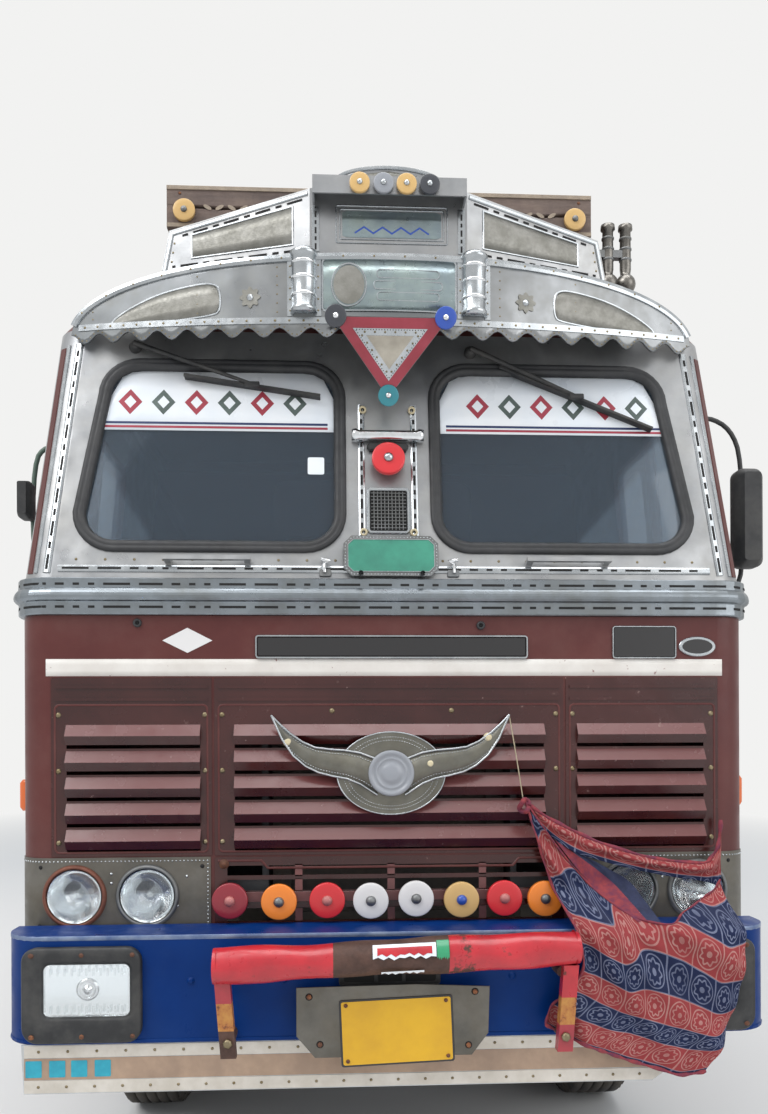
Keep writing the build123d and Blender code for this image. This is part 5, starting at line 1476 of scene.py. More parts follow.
@dataclass(frozen=True)
class RollerDiscs:
    """Coloured reflector discs on steel spindles."""

    lower: tuple[float, ...] = (-0.518, -0.362, -0.208, -0.068, 0.078, 0.225, 0.365, 0.498)
    lifts: tuple[float, ...] = (0.003, -0.002, 0.001, -0.002)  # they don't stand quite level
    colours: tuple[Finish, ...] = (CRIMSON, ORANGE, RED, WHITE, WHITE, AMBER, RED, ORANGE)
    z: float = 1.112
    radius: float = 0.057
    shelf: tuple[tuple[float, Finish], ...] = (
        (-0.096, AMBER), (-0.021, GREY), (0.052, AMBER), (0.125, DARK),
    )

    def disc(
        self, shape: Shape, origin: Vector, axis: Vector, radius: float, face: float, finish: Finish,
        tip: Finish,
    ) -> None:
        """Add one disc with its spindle and nose.

        Args:
            shape: The piece that it belongs to.
            origin: Where the spindle starts.
            axis: Which way it points.
            radius: Of the disc.
            face: How far along the axis the disc's face is.
            finish: The disc's.
            tip: The spindle's and the nose's.
        """
        thick, nose = radius * 0.38, radius * 0.3
        disc = [
            (face - thick, 0.0), (face - thick, radius * 0.97), (face - thick * 0.9, radius),
            (face - thick * 0.12, radius), (face - thick * 0.04, radius * 0.975), (face, radius * 0.93),
            (face + 0.0006, radius * 0.6), (face + 0.001, 0.0),
        ]
        shape.turned(disc, origin, axis, finish, 40)
        spindle = [
            (0, nose * 0.6), (face - 0.001, nose * 0.6), (face, nose), (face + nose * 0.35, nose * 0.92),
            (face + nose * 0.62, nose * 0.68), (face + nose * 0.78, nose * 0.35), (face + nose * 0.82, 0.0),
        ]
        shape.turned(spindle, origin, axis, tip, 20)

    def build(self) -> None:
        """Make all the discs but the triangle's: under the grille, on the pillar, shelf and rack."""
        shape = Shape("roller_discs_dressed")
        tips = {RED: ROSE, CRIMSON: ROSE, AMBER: BLUE_DISC}
        for n, (x, finish) in enumerate(zip(self.lower, self.colours)):
            origin = at(x, -0.003, self.z + self.lifts[n % 4])
            self.disc(shape, origin, AHEAD, self.radius, 0.05, finish, tips.get(finish, DULL_STEEL))
        square_on = Vector((0, -SCREEN_RISE, SCREEN_LEAN))
        self.disc(shape, SCREEN_SKIN.point(0.0, 2.55), square_on, 0.055, 0.05, RED, BRIGHT)
        for x, finish in self.shelf:
            self.disc(shape, at(x, -0.1, 3.377), AHEAD, 0.032, 0.02, finish, BRIGHT)
        for x in (-0.72, 0.72):
            self.disc(shape, at(x, 0.421, 3.56), AHEAD, 0.04, 0.022, AMBER, DULL_STEEL)
        shape.make("truck", "reflector", "roller_discs")


# The windscreens and the lower front


def window(side: int, grow: float, cut: float = 0.0) -> list[Point]:
    """Give a windscreen's outline, grown all round; its outer edge leans in.

    Args:
        side: Which side of the truck.
        grow: How much larger than the opening it is.
        cut: Height below which nothing is kept, or 0.

    Returns:
        Points across and up, anticlockwise.
    """
    inner, outer, heights, corner = 0.155, (1.015, 0.948), (2.255, 2.9), 0.12
    lift = corner / SCREEN_SLOPE
    middles = (
        (outer[1] - corner, heights[1] - lift), (inner + corner, heights[1] - lift),
        (inner + corner, heights[0] + lift), (outer[0] - corner, heights[0] + lift),
    )
    points = []
    for n, (u, z) in enumerate(middles):
        for k in range(9):
            turn = pi / 2 * (n + k / 8)
            reach = corner + grow
            points.append((u + reach * cos(turn), z + reach * sin(turn) / SCREEN_SLOPE))
    if cut:
        points = [(u, max(z, cut)) for u, z in points]
    return mirror(points, side)


@dataclass(frozen=True)
class Windscreens:
    """Rubber seals, sun bands, slotted trims and what is fixed round the two windscreens."""

    band_low: float = 2.665
    trim_low: float = 2.17
    trim_high: float = 2.965
    glass_out: float = -0.008
    lozenges: int = 6
    lozenge: Point = (2.765, 0.045)  # its middle's height, and its half height
    slot_out: float = 0.0056
    foot: float = 2.184  # height of the trim below the windscreens
    vent: Point = (0.0, 2.386)
    mesh: float = 0.012  # between the vent's wires
    wire: float = 0.0016
    tube: float = 2.64  # height of the cross tube
    tube_half: float = 0.12
    sign: Point = (0.005, 2.222)  # middle of the blank green plate
    sign_half: Point = (0.155, 0.068)
    sign_cut: float = 0.026  # of its corners
    section: tuple[Point, ...] = (
        (-0.015, 0.0), (-0.0155, 0.005), (-0.011, 0.011), (-0.003, 0.0125), (0.001, 0.0105), (0.005, 0.0105),
        (0.009, 0.0125), (0.018, 0.009), (0.025, 0.001), (0.025, -0.014), (0.025, -0.026), (0.0, -0.026),
        (0.0, 0.0),
    )

    def seals(self) -> None:
        """Make the thick rubber seals with their filler strips."""
        shape = Shape("windscreen_seals_dressed")
        for side in SIDES:
            shape.strip(SCREEN_SKIN, window(side, 0.0), self.section, RUBBER, loop=True, smooth=True)
        shape.make("truck", "rubber", "windscreen_seals")

    def bands(self) -> None:
        """Make the white sun bands with their plain coloured borders, and the small sticker."""
        shape = Shape("sun_bands")
        for side in SIDES:
            outline = window(side, -0.0255, self.band_low)
            shape.panel(SCREEN_SKIN, outline, 0.0008, FILM, self.glass_out)
            low = min(u for u, _ in outline) + 0.02
            high = max(u for u, _ in outline) - 0.02
            for z, finish in ((self.band_low + 0.012, TAPE_RED), (self.band_low + 0.026, NAVY)):
                line = rectangle(low, z - 0.004, high, z + 0.004)
                shape.panel(SCREEN_SKIN, line, 0.0004, finish, self.glass_out + 0.0008)
            step = (high - low) / (self.lozenges + 1)
            z, tall = self.lozenge
            for n in range(self.lozenges):
                u = low + step * (n + 1)
                finish = (TAPE_RED, HOOD_GREEN)[n % 2]
                for share, thick, colour in ((1.0, 0.0004, finish), (0.5, 0.0008, FILM)):
                    lozenge = ellipse((u, z), step * 0.36 * share, tall * share, 4)
                    shape.plate(SCREEN_SKIN, lozenge, thick, colour, self.glass_out + 0.0008)
        shape.plate(SCREEN_SKIN, across(-0.24, 2.545, 0.055, 0.06, 0.006), 0.0006, FILM, self.glass_out)
        shape.make("truck", "")

    def trims(self) -> None:
        """Make the slotted mouldings beside and below the windscreens."""
        shape = Shape("windscreen_trims")
        low, high = self.trim_low, self.trim_high
        for side in SIDES:
            heights = (low, (low + high) / 2, high)
            outer, inner = (
                [(side * (SCREEN_SKIN.half_at(z) - inward), z) for z in heights] for inward in (0.092, 0.052)
            )
            shape.trim(SCREEN_SKIN, divided(outer, 0.1), 0.026, 0.005, BRIGHT)
            shape.slots(SCREEN_SKIN, outer, (0.05, 0.022), 0.02, 0.008, self.slot_out)
            shape.trim(SCREEN_SKIN, divided(inner, 0.1), 0.014, 0.005, BRIGHT)
            path = [(side * 0.088, 2.3), (side * 0.088, 2.76)]
            shape.trim(SCREEN_SKIN, path, 0.022, 0.005, BRIGHT)
            shape.slots(SCREEN_SKIN, path, (0.035, 0.016), 0.016, 0.008, self.slot_out)
            for z in (2.74, 2.31):
                ring = [(0, 0.013), (0.006, 0.013), (0.007, 0.009), (0.004, 0.006)]
                shape.boss(SCREEN_SKIN, (side * 0.083, z), ring, CREAM, 16, 0.004)
        foot = [(-1.07, self.foot), (1.07, self.foot)]
        shape.trim(SCREEN_SKIN, divided(foot, 0.1), 0.024, 0.005, BRIGHT)
        shape.slots(SCREEN_SKIN, foot, SLOT_LENGTHS, SLOT_GAP, 0.007, self.slot_out)
        for side in SIDES:
            shape.rivets(SCREEN_SKIN, [(side * 0.13, 2.215), (side * 1.06, 2.215)], 0.09, 0.005, BRASS)
            edge = [(side * (SCREEN_SKIN.half_at(z) - 0.022), z) for z in (2.17, 2.96)]
            shape.strip(SCREEN_SKIN, divided(edge, 0.1), bar(0.016, 0.003, 0.002), MAROON)
        shape.make("truck", "stainless")

    def pillar(self) -> None:
        """Make the centre pillar's meshed vent, cross tube and latches."""
        shape = Shape("centre_pillar_fittings")
        shape.plate(SCREEN_SKIN, across(*self.vent, 0.12, 0.14, 0.006), 0.002, GAP)
        shape.trim(SCREEN_SKIN, across(*self.vent, 0.132, 0.15, 0.01), 0.012, 0.008, BRIGHT, True)
        u, z = self.vent
        upright = [[(u + self.mesh * n, z + way * 0.066, 0.004) for way in (-1, 1)] for n in range(-4, 5)]
        level = [[(u + way * 0.058, z + self.mesh * n, 0.005) for way in (-1, 1)] for n in range(-5, 6)]
        for ends in [*upright, *level]:
            shape.tube([SCREEN_SKIN.point(*end) for end in ends], self.wire, DULL_STEEL, 6)
        middle = SCREEN_SKIN.point(0.0, self.tube, 0.022)
        tube = [
            (0, 0.0), (0, 0.02), (0.014, 0.023), (0.026, 0.018), (0.034, 0.018), (0.206, 0.018),
            (0.214, 0.018), (0.226, 0.023), (0.24, 0.02), (0.24, 0.0),
        ]
        shape.turned(tube, middle - ACROSS * self.tube_half, ACROSS, CHROME, 20)
        for side in SIDES:
            shape.boss(SCREEN_SKIN, (side * 0.09, self.tube), [(0, 0.009), (0.022, 0.009)], DULL_STEEL)
        latch = [
            (0.07, 2.607), (0.062, 2.618), (-0.062, 2.618), (-0.07, 2.607), (-0.062, 2.592), (0.062, 2.592),
        ]
        shape.plate(SCREEN_SKIN, latch, 0.018, BLACK, edge=0.003)
        for side in SIDES:
            hook = ((0.212, 2.172), (0.212, 2.2), (0.196, 2.208), (0.224, 2.212))
            path = [SCREEN_SKIN.point(side * u, z, 0.008 + 0.004 * n) for n, (u, z) in enumerate(hook)]
            shape.tube(path, 0.0065, CHROME, 10)
            foot = across(side * 0.21, 2.172, 0.04, 0.026, 0.006)
            shape.plate(SCREEN_SKIN, foot, 0.006, DULL_STEEL, edge=0.002)
        shape.make("truck", "stainless")

    def plate(self) -> None:
        """Make the blank green plate in its dotted steel frame with cut corners."""
        shape = Shape("pillar_plate")
        wide, tall = self.sign_half
        centre = self.sign
        quarter = [(wide, tall - self.sign_cut), (wide - self.sign_cut, tall)]
        half = [*quarter, *mirror(quarter, -1)]
        outline = [(centre[0] + u, centre[1] + z) for u, z in [*half, *((-u, -z) for u, z in half)]]
        shape.plate(SCREEN_SKIN, outline, 0.004, DULL_STEEL, 0.024, 0.001)
        inner = inset(outline, 0.014)
        shape.plate(SCREEN_SKIN, inner, 0.0015, PLATE_GREEN, 0.028, 0.0005)
        shape.trim(SCREEN_SKIN, inner, 0.004, 0.031, BRIGHT, True)
        for u, z in spaced(closed(inset(outline, 0.006)), 0.011):
            shape.dome(SCREEN_SKIN, u, z, 0.0025, BRIGHT, 0.028, 6)
        for side in SIDES:
            upper = (centre[0] + side * 0.12, 2.25)
            shape.boss(SCREEN_SKIN, upper, [(0, 0.008), (0.025, 0.008)], DULL_STEEL)
            lower = at(centre[0] + side * 0.1, 0.0, 2.165)
            shape.turned([(0, 0.008), (0.04, 0.008)], lower, AHEAD, DULL_STEEL, 12)
        shape.make("truck", "stainless")

    def build(self) -> None:
        """Make everything round the windscreens."""
        self.seals()
        self.bands()
        self.trims()
        self.pillar()
        self.plate()


@dataclass(frozen=True)
class Triangle:
    """The triangular plate hung before the centre pillar, with a taped border and a roller at each corner."""

    top: Point = (-0.105, 2.962)  # place along the truck and height
    tip: Point = (0.05, 2.76)
    half: float = 0.186
    thick: float = 0.006

    def place(self, share: float, rise: float, out: float) -> Vector:
        """Give a point of the plate.

        Args:
            share: Across it, 1 at the left edge's distance at that height.
            rise: Up it, from 0 at the tip to 1 at the top edge.
            out: How far off its front.

        Returns:
            The point.
        """
        y = self.tip[0] + (self.top[0] - self.tip[0]) * rise
        z = self.tip[1] + (self.top[1] - self.tip[1]) * rise
        run, climb = self.top[0] - self.tip[0], self.top[1] - self.tip[1]
        normal = Vector((0, -climb, run)).normalized()
        return at(share * self.half * rise, y, z) + normal * (out + self.thick)

    def corners(self, inward: float, out: float) -> list[Vector]:
        """Give the tip and the two upper corners of the plate, smaller all round.

        Args:
            inward: By how much.
            out: How far off its front.

        Returns:
            The three corners.
        """
        height = hypot(self.top[0] - self.tip[0], self.top[1] - self.tip[1])
        foot = inward * hypot(self.half, height) / self.half / height
        top = 1 - inward / height
        reach = (top - foot) / top
        return [self.place(0.0, foot, out), self.place(reach, top, out), self.place(-reach, top, out)]

    def layer(self, shape: Shape, inward: float, out: float, finish: Finish) -> None:
        """Add one triangle of sheet.

        Args:
            shape: The piece that it belongs to.
            inward: How much smaller it is than the plate, all round.
            out: How far its front is off the plate's front.
            finish: What it is made of.
        """
        shape.prism(self.corners(inward, out - 0.002), self.corners(inward, out), finish)

    def build(self) -> None:
        """Make the plate, its studs and dots, its rollers and its post."""
        shape = Shape("triangle_emblem_dressed")
        self.layer(shape, 0.0, -0.003, DULL_STEEL)
        self.layer(shape, 0.002, 0.0, TAPE_RED)
        self.layer(shape, 0.034, 0.0015, BRIGHT)
        self.layer(shape, 0.056, 0.003, BEIGE_STEEL)
        outward = Vector((0, -0.8, -0.6))
        for inward, pitch, radius, finish in ((0.045, 0.03, 0.0035, BRASS), (0.038, 0.009, 0.0016, GAP)):
            points = self.corners(inward, 0.0015)
            for start, stop in zip(points, [*points[1:], points[0]]):
                count = max(1, round((stop - start).length / pitch))
                for n in range(count):
                    origin = start.lerp(stop, (n + 0.5) / count)
                    head = [(0, radius), (0.001, radius), (0.002, radius * 0.6), (0.0023, 0.0)]
                    shape.turned(head, origin, outward, finish, 8)
        rollers = RollerDiscs()
        for share, rise, finish in ((-1.0, 0.98, DARK), (1.0, 0.98, BLUE_DISC), (0.0, 0.02, TEAL)):
            origin = self.place(share * 0.95, rise, -0.006)
            rollers.disc(shape, origin, Vector((0, -0.92, -0.2)), 0.034, 0.026, finish, CHROME)
        post = [SCREEN_SKIN.point(0.0, 2.775), self.place(0.0, 0.07, -0.004)]
        shape.tube(post, 0.006, DULL_STEEL, 10)
        shape.make("truck", "stainless", "triangle_emblem")


@dataclass(frozen=True)
class BullBar:
    """The dented bull bar on its two painted legs."""

    y: float = -0.3
    z: float = 0.985
    half: float = 0.54
    radius: float = 0.056
    tilt: float = 2.0
    stretches: tuple[tuple[float, float, Finish], ...] = (
        (-0.54, -0.19, BAR_RED), (-0.19, 0.15, BAR_RUST), (0.15, 0.54, BAR_RED),
    )

    def centre(self, x: float) -> Vector:
        """Give the tube's middle at x."""
        return at(x, self.y, self.z + x * tan(radians(self.tilt)))

    def tube(self, shape: Shape) -> None:
        """Add the tube with its domed ends and shallow dents.

        Args:
            shape: The piece that it belongs to.
        """
        count = 24
        for low, high, finish in self.stretches:
            rows = []
            for x in (low + (high - low) * k / count for k in range(count + 1)):
                row = []
                for turn in angles(32):
                    dent = 0.003 * sin(9 * x + 2 * cos(turn)) + 0.0025 * cos(23 * x + 3 * sin(turn))
                    reach = self.radius - 0.004 + min(dent, 0.004)
                    row.append(self.centre(x) + Vector((0, cos(turn) * reach, sin(turn) * reach)))
                rows.append(row)
            shape.rows(rows, finish, around=True)
        dome = [*((a, self.radius - r) for a, r in ((0, 0.003), (0.004, 0.007), (0.008, 0.016))), (0.01, 0.0)]
        for side in SIDES:
            shape.turned(dome, self.centre(side * (self.half - 0.012)), ACROSS * side, BAR_RED, 32)

    def patch(self, shape: Shape, ends: Point, turns: Point, finish: Finish, lift: float = 0.0012) -> None:
        """Stick a ragged-edged patch of film on the tube.

        Args:
            shape: The piece that it belongs to.
            ends: Where it starts and stops along the tube.
            turns: Degrees above the tube's front where it starts and stops.
            finish: Its colour.
            lift: How far it stands off the tube.
        """
        rows = []
        for k in range(13):
            x = ends[0] + (ends[1] - ends[0]) * k / 12
            ragged = (0.0, 5.0, -3.0, 4.0, -5.0, 2.0)[k % 6]
            low, high = turns[0] + ragged, turns[1]
            row = []
            for n in range(7):
                turn = radians(low + (high - low) * n / 6)
                reach = self.radius + lift
                row.append(self.centre(x) + Vector((0, -cos(turn) * reach, sin(turn) * reach)))
            rows.append(row)
        shape.rows(rows, finish, True)

    def legs(self, shape: Shape) -> None:
        """Add the two flat legs with their brackets and bolts.

        Args:
            shape: The piece that it belongs to.
        """
        stops = ((0.7, 0.78), (0.78, 0.86), (0.86, 0.955))
        for side, colours in ((-1, (BAR_RUST, OCHRE, RED_PAINT)), (1, (RED_PAINT, OCHRE, BAR_RED))):
            for stretch, finish in zip(stops, colours):
                rear, front = (self.leg_face(side, *stretch, y) for y in (-0.283, -0.319))
                shape.prism(rear, front, finish)
            for z in (0.745, 0.93):
                shape.tube([at(side * 0.497, -0.29, z), at(side * 0.497, -0.199, z)], 0.018, BAR_RUST, 10)
            head = [(0, 0.014), (0.008, 0.014), (0.011, 0.008), (0.011, 0.0)]
            shape.turned(head, at(side * 0.497, -0.319, 0.745), AHEAD, BRASS, 6)

    def leg_face(self, side: int, low: float, high: float, y: float) -> list[Vector]:
        """Give the corners of one stretch of a leg, which leans outward going up.

        Args:
            side: Which side of the truck.
            low: Where the stretch starts.
            high: Where it ends.
            y: How far back its face is.

        Returns:
            The corners.
        """
        inner, slope, wide = 0.473, 0.08, 0.045
        corners = [(u + (z - 0.7) * slope, z) for u, z in rectangle(inner, low, inner + wide, high)]
        return [at(x, y, z) for x, z in mirror(corners, side)]

    def build(self) -> None:
        """Make the bull bar."""
        shape = Shape("bull_bar_dressed")
        self.tube(shape)
        self.patch(shape, (-0.075, 0.11), (8, 52), FILM)
        self.patch(shape, (-0.062, 0.098), (17, 40), BAR_RED, 0.0022)
        self.patch(shape, (0.112, 0.148), (2, 60), GREEN)
        self.patch(shape, (-0.05, 0.075), (-44, -34), FILM)
        self.legs(shape)
        shape.make("truck", "bar_steel", "bull_bar")


@dataclass(frozen=True)
class BumperDress:
    """The shield with its blank plate, the tow pocket, the skirt's riveted strips and the flange's pale
    strip, worn and painted as a highlight.
    """

    shield: tuple[Point, ...] = (
        (-0.3, 0.745), (-0.245, 0.68), (0.225, 0.68), (0.275, 0.745), (0.28, 0.885), (0.06, 0.895),
        (-0.3, 0.89),
    )
    plate_tilt: float = 2.2
    plate_z: float = 0.757
    plate_size: Point = (0.34, 0.2)
    pocket_middle: Point = (-0.018, 0.925)
    end: float = 1.3  # how far the bumper's lines run round each corner
    worn_and_highlight_z: float = 1.034
    crease_z: float = 0.722
    bolts: tuple[Point, ...] = ((-0.62, 0.9), (0.62, 0.9), (-0.34, 0.9), (0.36, 0.9))
    skirt_left: float = -1.118
    strips: tuple[Point, ...] = ((0.674, 0.711), (0.568, 0.605))  # heights of the apron's two strips
    # across and up, width and height of each blue tile
    tiles: tuple[tuple[float, float, float, float], ...] = (
        (-1.09, 0.64, 0.048, 0.05), (-1.02, 0.64, 0.048, 0.05), (-0.955, 0.64, 0.048, 0.05),
        (-0.885, 0.64, 0.048, 0.05), (0.76, 0.64, 0.04, 0.036),
    )

    def shield_and_plate(self) -> None:
        """Make the steel shield, its brackets and the blank number plate on it."""
        shape = Shape("shield_and_blank_plate")
        skin = flat_skin(-0.262)
        shape.plate(skin, self.shield, 0.004, OLIVE_STEEL, edge=0.001)
        for u, z in ((-0.262, 0.862), (0.235, 0.87), (-0.23, 0.72), (0.215, 0.71)):
            shape.plate(skin, ellipse((u, z), 0.011, 0.011, 16), 0.0045, GAP)
            nut = [(0, 0.008), (0.004, 0.008), (0.006, 0.003), (0.006, 0.0)]
            shape.boss(skin, (u, z), nut, RUST, 6, 0.0045)
        for x in (-0.2, 0.2):
            for z in (0.73, 0.83):
                shape.tube([at(x, -0.262, z), at(x, -0.2, z)], 0.014, BAR_RUST, 10)
        wide, high = self.plate_size
        shape.plate(skin, self.tilted(across(0, 0, wide, high, 0.008)), 0.003, NAME_DARK, 0.004, 0.001)
        field_line = self.tilted(across(0, 0, wide - 0.012, high - 0.012, 0.006))
        shape.plate(skin, field_line, 0.0012, PLATE_BRIGHT, 0.007)
        for u, z in ((-0.15, -0.082), (0.15, -0.082), (-0.15, 0.084), (0.15, 0.084)):
            (place,) = self.tilted([(u, z)])
            shape.boss(skin, place, [(0, 0.006), (0.003, 0.006), (0.005, 0.0)], RUST, 8, 0.008)
        shape.make("truck", "bar_steel")

    def tilted(self, outline: Path) -> list[Point]:
        """Turn and lift an outline to where the number plate hangs."""
        c, s = cos(radians(self.plate_tilt)), sin(radians(self.plate_tilt))
        return [(u * c - z * s, self.plate_z + u * s + z * c) for u, z in outline]

    def pocket(self) -> None:
        """Make the dark tow pocket under the bar."""
        shape = Shape("tow_pocket")
        skin = flat_skin(-0.2)
        u, z = self.pocket_middle
        shape.plate(skin, across(u, z, 0.31, 0.09, 0.01), 0.02, BLACK, edge=0.004)
        shape.plate(skin, across(u, z, 0.28, 0.064, 0.008), 0.0215, GAP)
        for away in (-0.042, 0.042):
            shape.plate(skin, across(u + away, z, 0.012, 0.066, 0.002), 0.024, BLACK, edge=0.001)
        shape.make("truck", "black_plastic")

    def flange(self) -> None:
        """Make the pale strip along the bumper's top, worn bare and a painted highlight, the crease along its
        foot and its bolts.
        """
        shape = Shape("bumper_worn_and_highlight_edge")
        top, foot = (divided([(-self.end, z), (self.end, z)], 0.03) for z in (self.worn_and_highlight_z, self.crease_z))
        edge = [(0.006, 0.0), (0.005, 0.0012), (-0.006, 0.0012), (-0.008, 0.0)]
        # the pale strip is bare steel rubbed through, and a painted highlight along the top edge
        shape.strip(BUMPER_SKIN, top, edge, WORN_BLUE_AND_HIGHLIGHT, smooth=True)
        shape.trim(BUMPER_SKIN, foot, 0.012, 0.003, BLUE)
        for u, z in self.bolts:
            shape.dome(BUMPER_SKIN, u, z, 0.012, BLUE, sides=14)
        shape.make("truck", "bumper_blue")

    def skirt(self) -> None:
        """Make the apron's riveted strips, the tanned sheet between them and the blue tiles on it."""
        shape = Shape("skirt_strips")
        skin = flat_skin(-0.192)
        left = self.skirt_left
        for low, high in self.strips:
            right, upper_right = (0.796 + 0.26 * (z - 0.565) / 0.18 for z in (low, high))
            strip = [(left, low), (right, low), (upper_right, high), (left, high)]
            shape.plate(skin, strip, 0.0022, STRIP_PALE, edge=0.0005)
            middle = (low + high) / 2
            shape.rivets(skin, [(left, middle), (right, middle)], 0.085, 0.005, BRASS, 0.0022)
        sheet = [(left, 0.607), (0.85, 0.607), (0.95, 0.672), (left, 0.672)]
        shape.plate(skin, sheet, 0.0008, TAN_SHEET)
        for u, z, wide, high in self.tiles:
            radius = 0.003 if u < 0 else 0.002
            shape.plate(skin, across(u, z, wide, high, radius), 0.0018, CYAN_TILE)
        shape.make("truck", "aluminium")

    def build(self) -> None:
        """Make it all."""
        self.shield_and_plate()
        self.pocket()
        self.flange()
        self.skirt()


@dataclass(frozen=True)
class Lamps:
    """Round headlamps in their bowls, square lamps on the bumper, and the bezels round both."""

    round_xs: Point = (0.785, 1.016)
    round_z: float = 1.128
    glass_radius: float = 0.084
    low: Point = (0.799, 0.804)  # corners of a square lamp
    high: Point = (1.052, 0.958)
    rim_low: Point = (0.764, 0.723)  # corners of the frame round it
    rim_high: Point = (1.116, 1.009)
    face: Skin = flat_skin(-0.2)

    def round_lamp(self, glass: Shape, bowl: Shape, rim: Shape, x: float) -> None:
        """Add one round headlamp.

        Args:
            glass: Gathers the glasses.
            bowl: Gathers the reflectors.
            rim: Gathers the bezels.
            x: Where it is across.
        """
        origin = at(x, 0.004, self.round_z)
        radius = self.glass_radius
        radii = (radius, 0.07, 0.055, 0.04, 0.02, 0.0)
        crowned = [(0.018 + 0.012 * (1 - (r / radius) ** 2), r) for r in radii]
        glass.turned(crowned, origin, AHEAD, LAMP_GLASS, 48)
        glass.turned([(0.014, 0.0), (0.014, radius), (0.018, radius)], origin, AHEAD, LAMP_GLASS, 48)
        depth = [(-0.06 + 0.07 * (r / 0.08) ** 2, r) for r in (0.014, 0.03, 0.045, 0.06, 0.072, 0.08)]
        bowl.turned([*depth, (0.014, 0.085)], origin, AHEAD, REFLECTOR_BOWL, 48)
        bulb = [(-0.06, 0.0), (-0.06, 0.014), (-0.045, 0.012), (-0.03, 0.009), (-0.024, 0.0)]
        bowl.turned(bulb, origin, AHEAD, CHROME, 20)
        ring = [
            (0.006, 0.102), (0.012, 0.101), (0.018, 0.097), (0.019, 0.092), (0.016, 0.0885), (0.0, 0.0885),
        ]
        rim.turned(ring, origin, AHEAD, RUSTY_RIM if x < -self.round_xs[0] else DULL_STEEL, 48)

    def square_lamp(self, glass: Shape, bowl: Shape, side: int) -> None:
        """Add one square lamp.

        Args:
            glass: Gathers the glasses.
            bowl: Gathers the reflectors.
            side: Which side of the truck.
        """
        low, high, face = self.low, self.high, self.face
        outline = mirror(rounded(low, high, 0.018), side)
        glass.plate(face, outline, 0.008, LAMP_GLASS, 0.017, 0.004)
        middle = between(low, high, 0.5)
        for n in range(1, 12):
            u = side * (low[0] + (high[0] - low[0]) * n / 12)
            for z0, z1 in ((low[1] + 0.01, middle[1] - 0.045), (middle[1] + 0.045, high[1] - 0.01)):
                glass.tube([face.point(u, z0, 0.0235), face.point(u, z1, 0.0235)], 0.0035, LAMP_GLASS, 6)
        grid = []
        for k in range(13):
            u = low[0] + (high[0] - low[0]) * k / 12
            column = []
            for n in range(9):
                z = low[1] + (high[1] - low[1]) * n / 8
                bend = ((u - middle[0]) / 0.1265) ** 2 * 0.012 + ((z - middle[1]) / 0.077) ** 2 * 0.006
                column.append(face.point(side * u, z, 0.0005 + min(bend, 0.015)))
            grid.append(column)
        bowl.rows(grid, REFLECTOR_BOWL, True)
        centre = face.point(side * middle[0], middle[1], 0.001)
        bulb = [
            (0.0, 0.034), (0.005, 0.033), (0.007, 0.026), (0.005, 0.024), (0.006, 0.012), (0.012, 0.009),
            (0.014, 0.0),
        ]
        bowl.turned(bulb, centre, AHEAD, CHROME, 24)

    def frame(self, rim: Shape, side: int) -> None:
        """Add the black frame of one square lamp, with its inner slope and screws.

        Args:
            rim: Gathers the bezels.
            side: Which side of the truck.
        """
        low, high = self.low, self.high
        outer = mirror(rounded(self.rim_low, self.rim_high, 0.045, 6), side)
        ledge = rounded((low[0] - 0.012, low[1] - 0.014), (high[0] + 0.012, high[1] + 0.014), 0.026, 6)
        inner = mirror(rounded(low, high, 0.018, 6), side)
        rows = [
            [skin.point(u, z, out) for u, z in line]
            for skin, line, out in (
                (BUMPER_SKIN, outer, -0.001), (BUMPER_SKIN, outer, 0.018),
                (BUMPER_SKIN, inset(outer, 0.006), 0.024),
                (self.face, mirror(ledge, side), 0.025), (self.face, inner, 0.016), (self.face, inner, 0.0),
            )
        ]
        rim.rows(rows, BLACK, around=True)
        for u in (0.79, 0.94, 1.085):
            for z in (0.744, 0.987):
                rim.dome(BUMPER_SKIN, side * u, z, 0.008, RUST, 0.0235, 8)

    def build(self) -> None:
        """Make the lamps."""
        glass, bowl, rim = Shape("lamp_glasses"), Shape("lamp_reflectors"), Shape("lamp_bezels_dressed")
        for side in SIDES:
            for x in self.round_xs:
                self.round_lamp(glass, bowl, rim, side * x)
            self.square_lamp(glass, bowl, side)
            self.frame(rim, side)
        glass.make("truck", "lamp_glass", "lamp_lenses")
        bowl.make("truck", "bare_steel")
        rim.make("truck", "black_plastic", "lamp_bezels")
        self.panels()

    def panels(self) -> None:
        """Make the punched borders, the holes and the screws of the lamp panels."""
        shape = Shape("lamp_panel_borders")
        for side in SIDES:
            border = [(side * 0.592, 1.022), (side * 0.592, 1.24), (side * 1.3, 1.24)]
            for u, z in spaced(border, 0.0125):
                shape.dome(LAMP_SKIN, u, z, 0.0032, BRIGHT, sides=5)
            for u, z in ((0.61, 1.222), (0.61, 1.03), (1.125, 1.222), (1.13, 1.035)):
                shape.dome(LAMP_SKIN, side * u, z, 0.007, GAP)
            for u, z in ((0.9, 1.17), (0.9, 1.2), (0.66, 1.19), (0.69, 1.095)):
                shape.dome(LAMP_SKIN, side * u, z, 0.005, BRIGHT)
        shape.make("truck", "bare_steel")


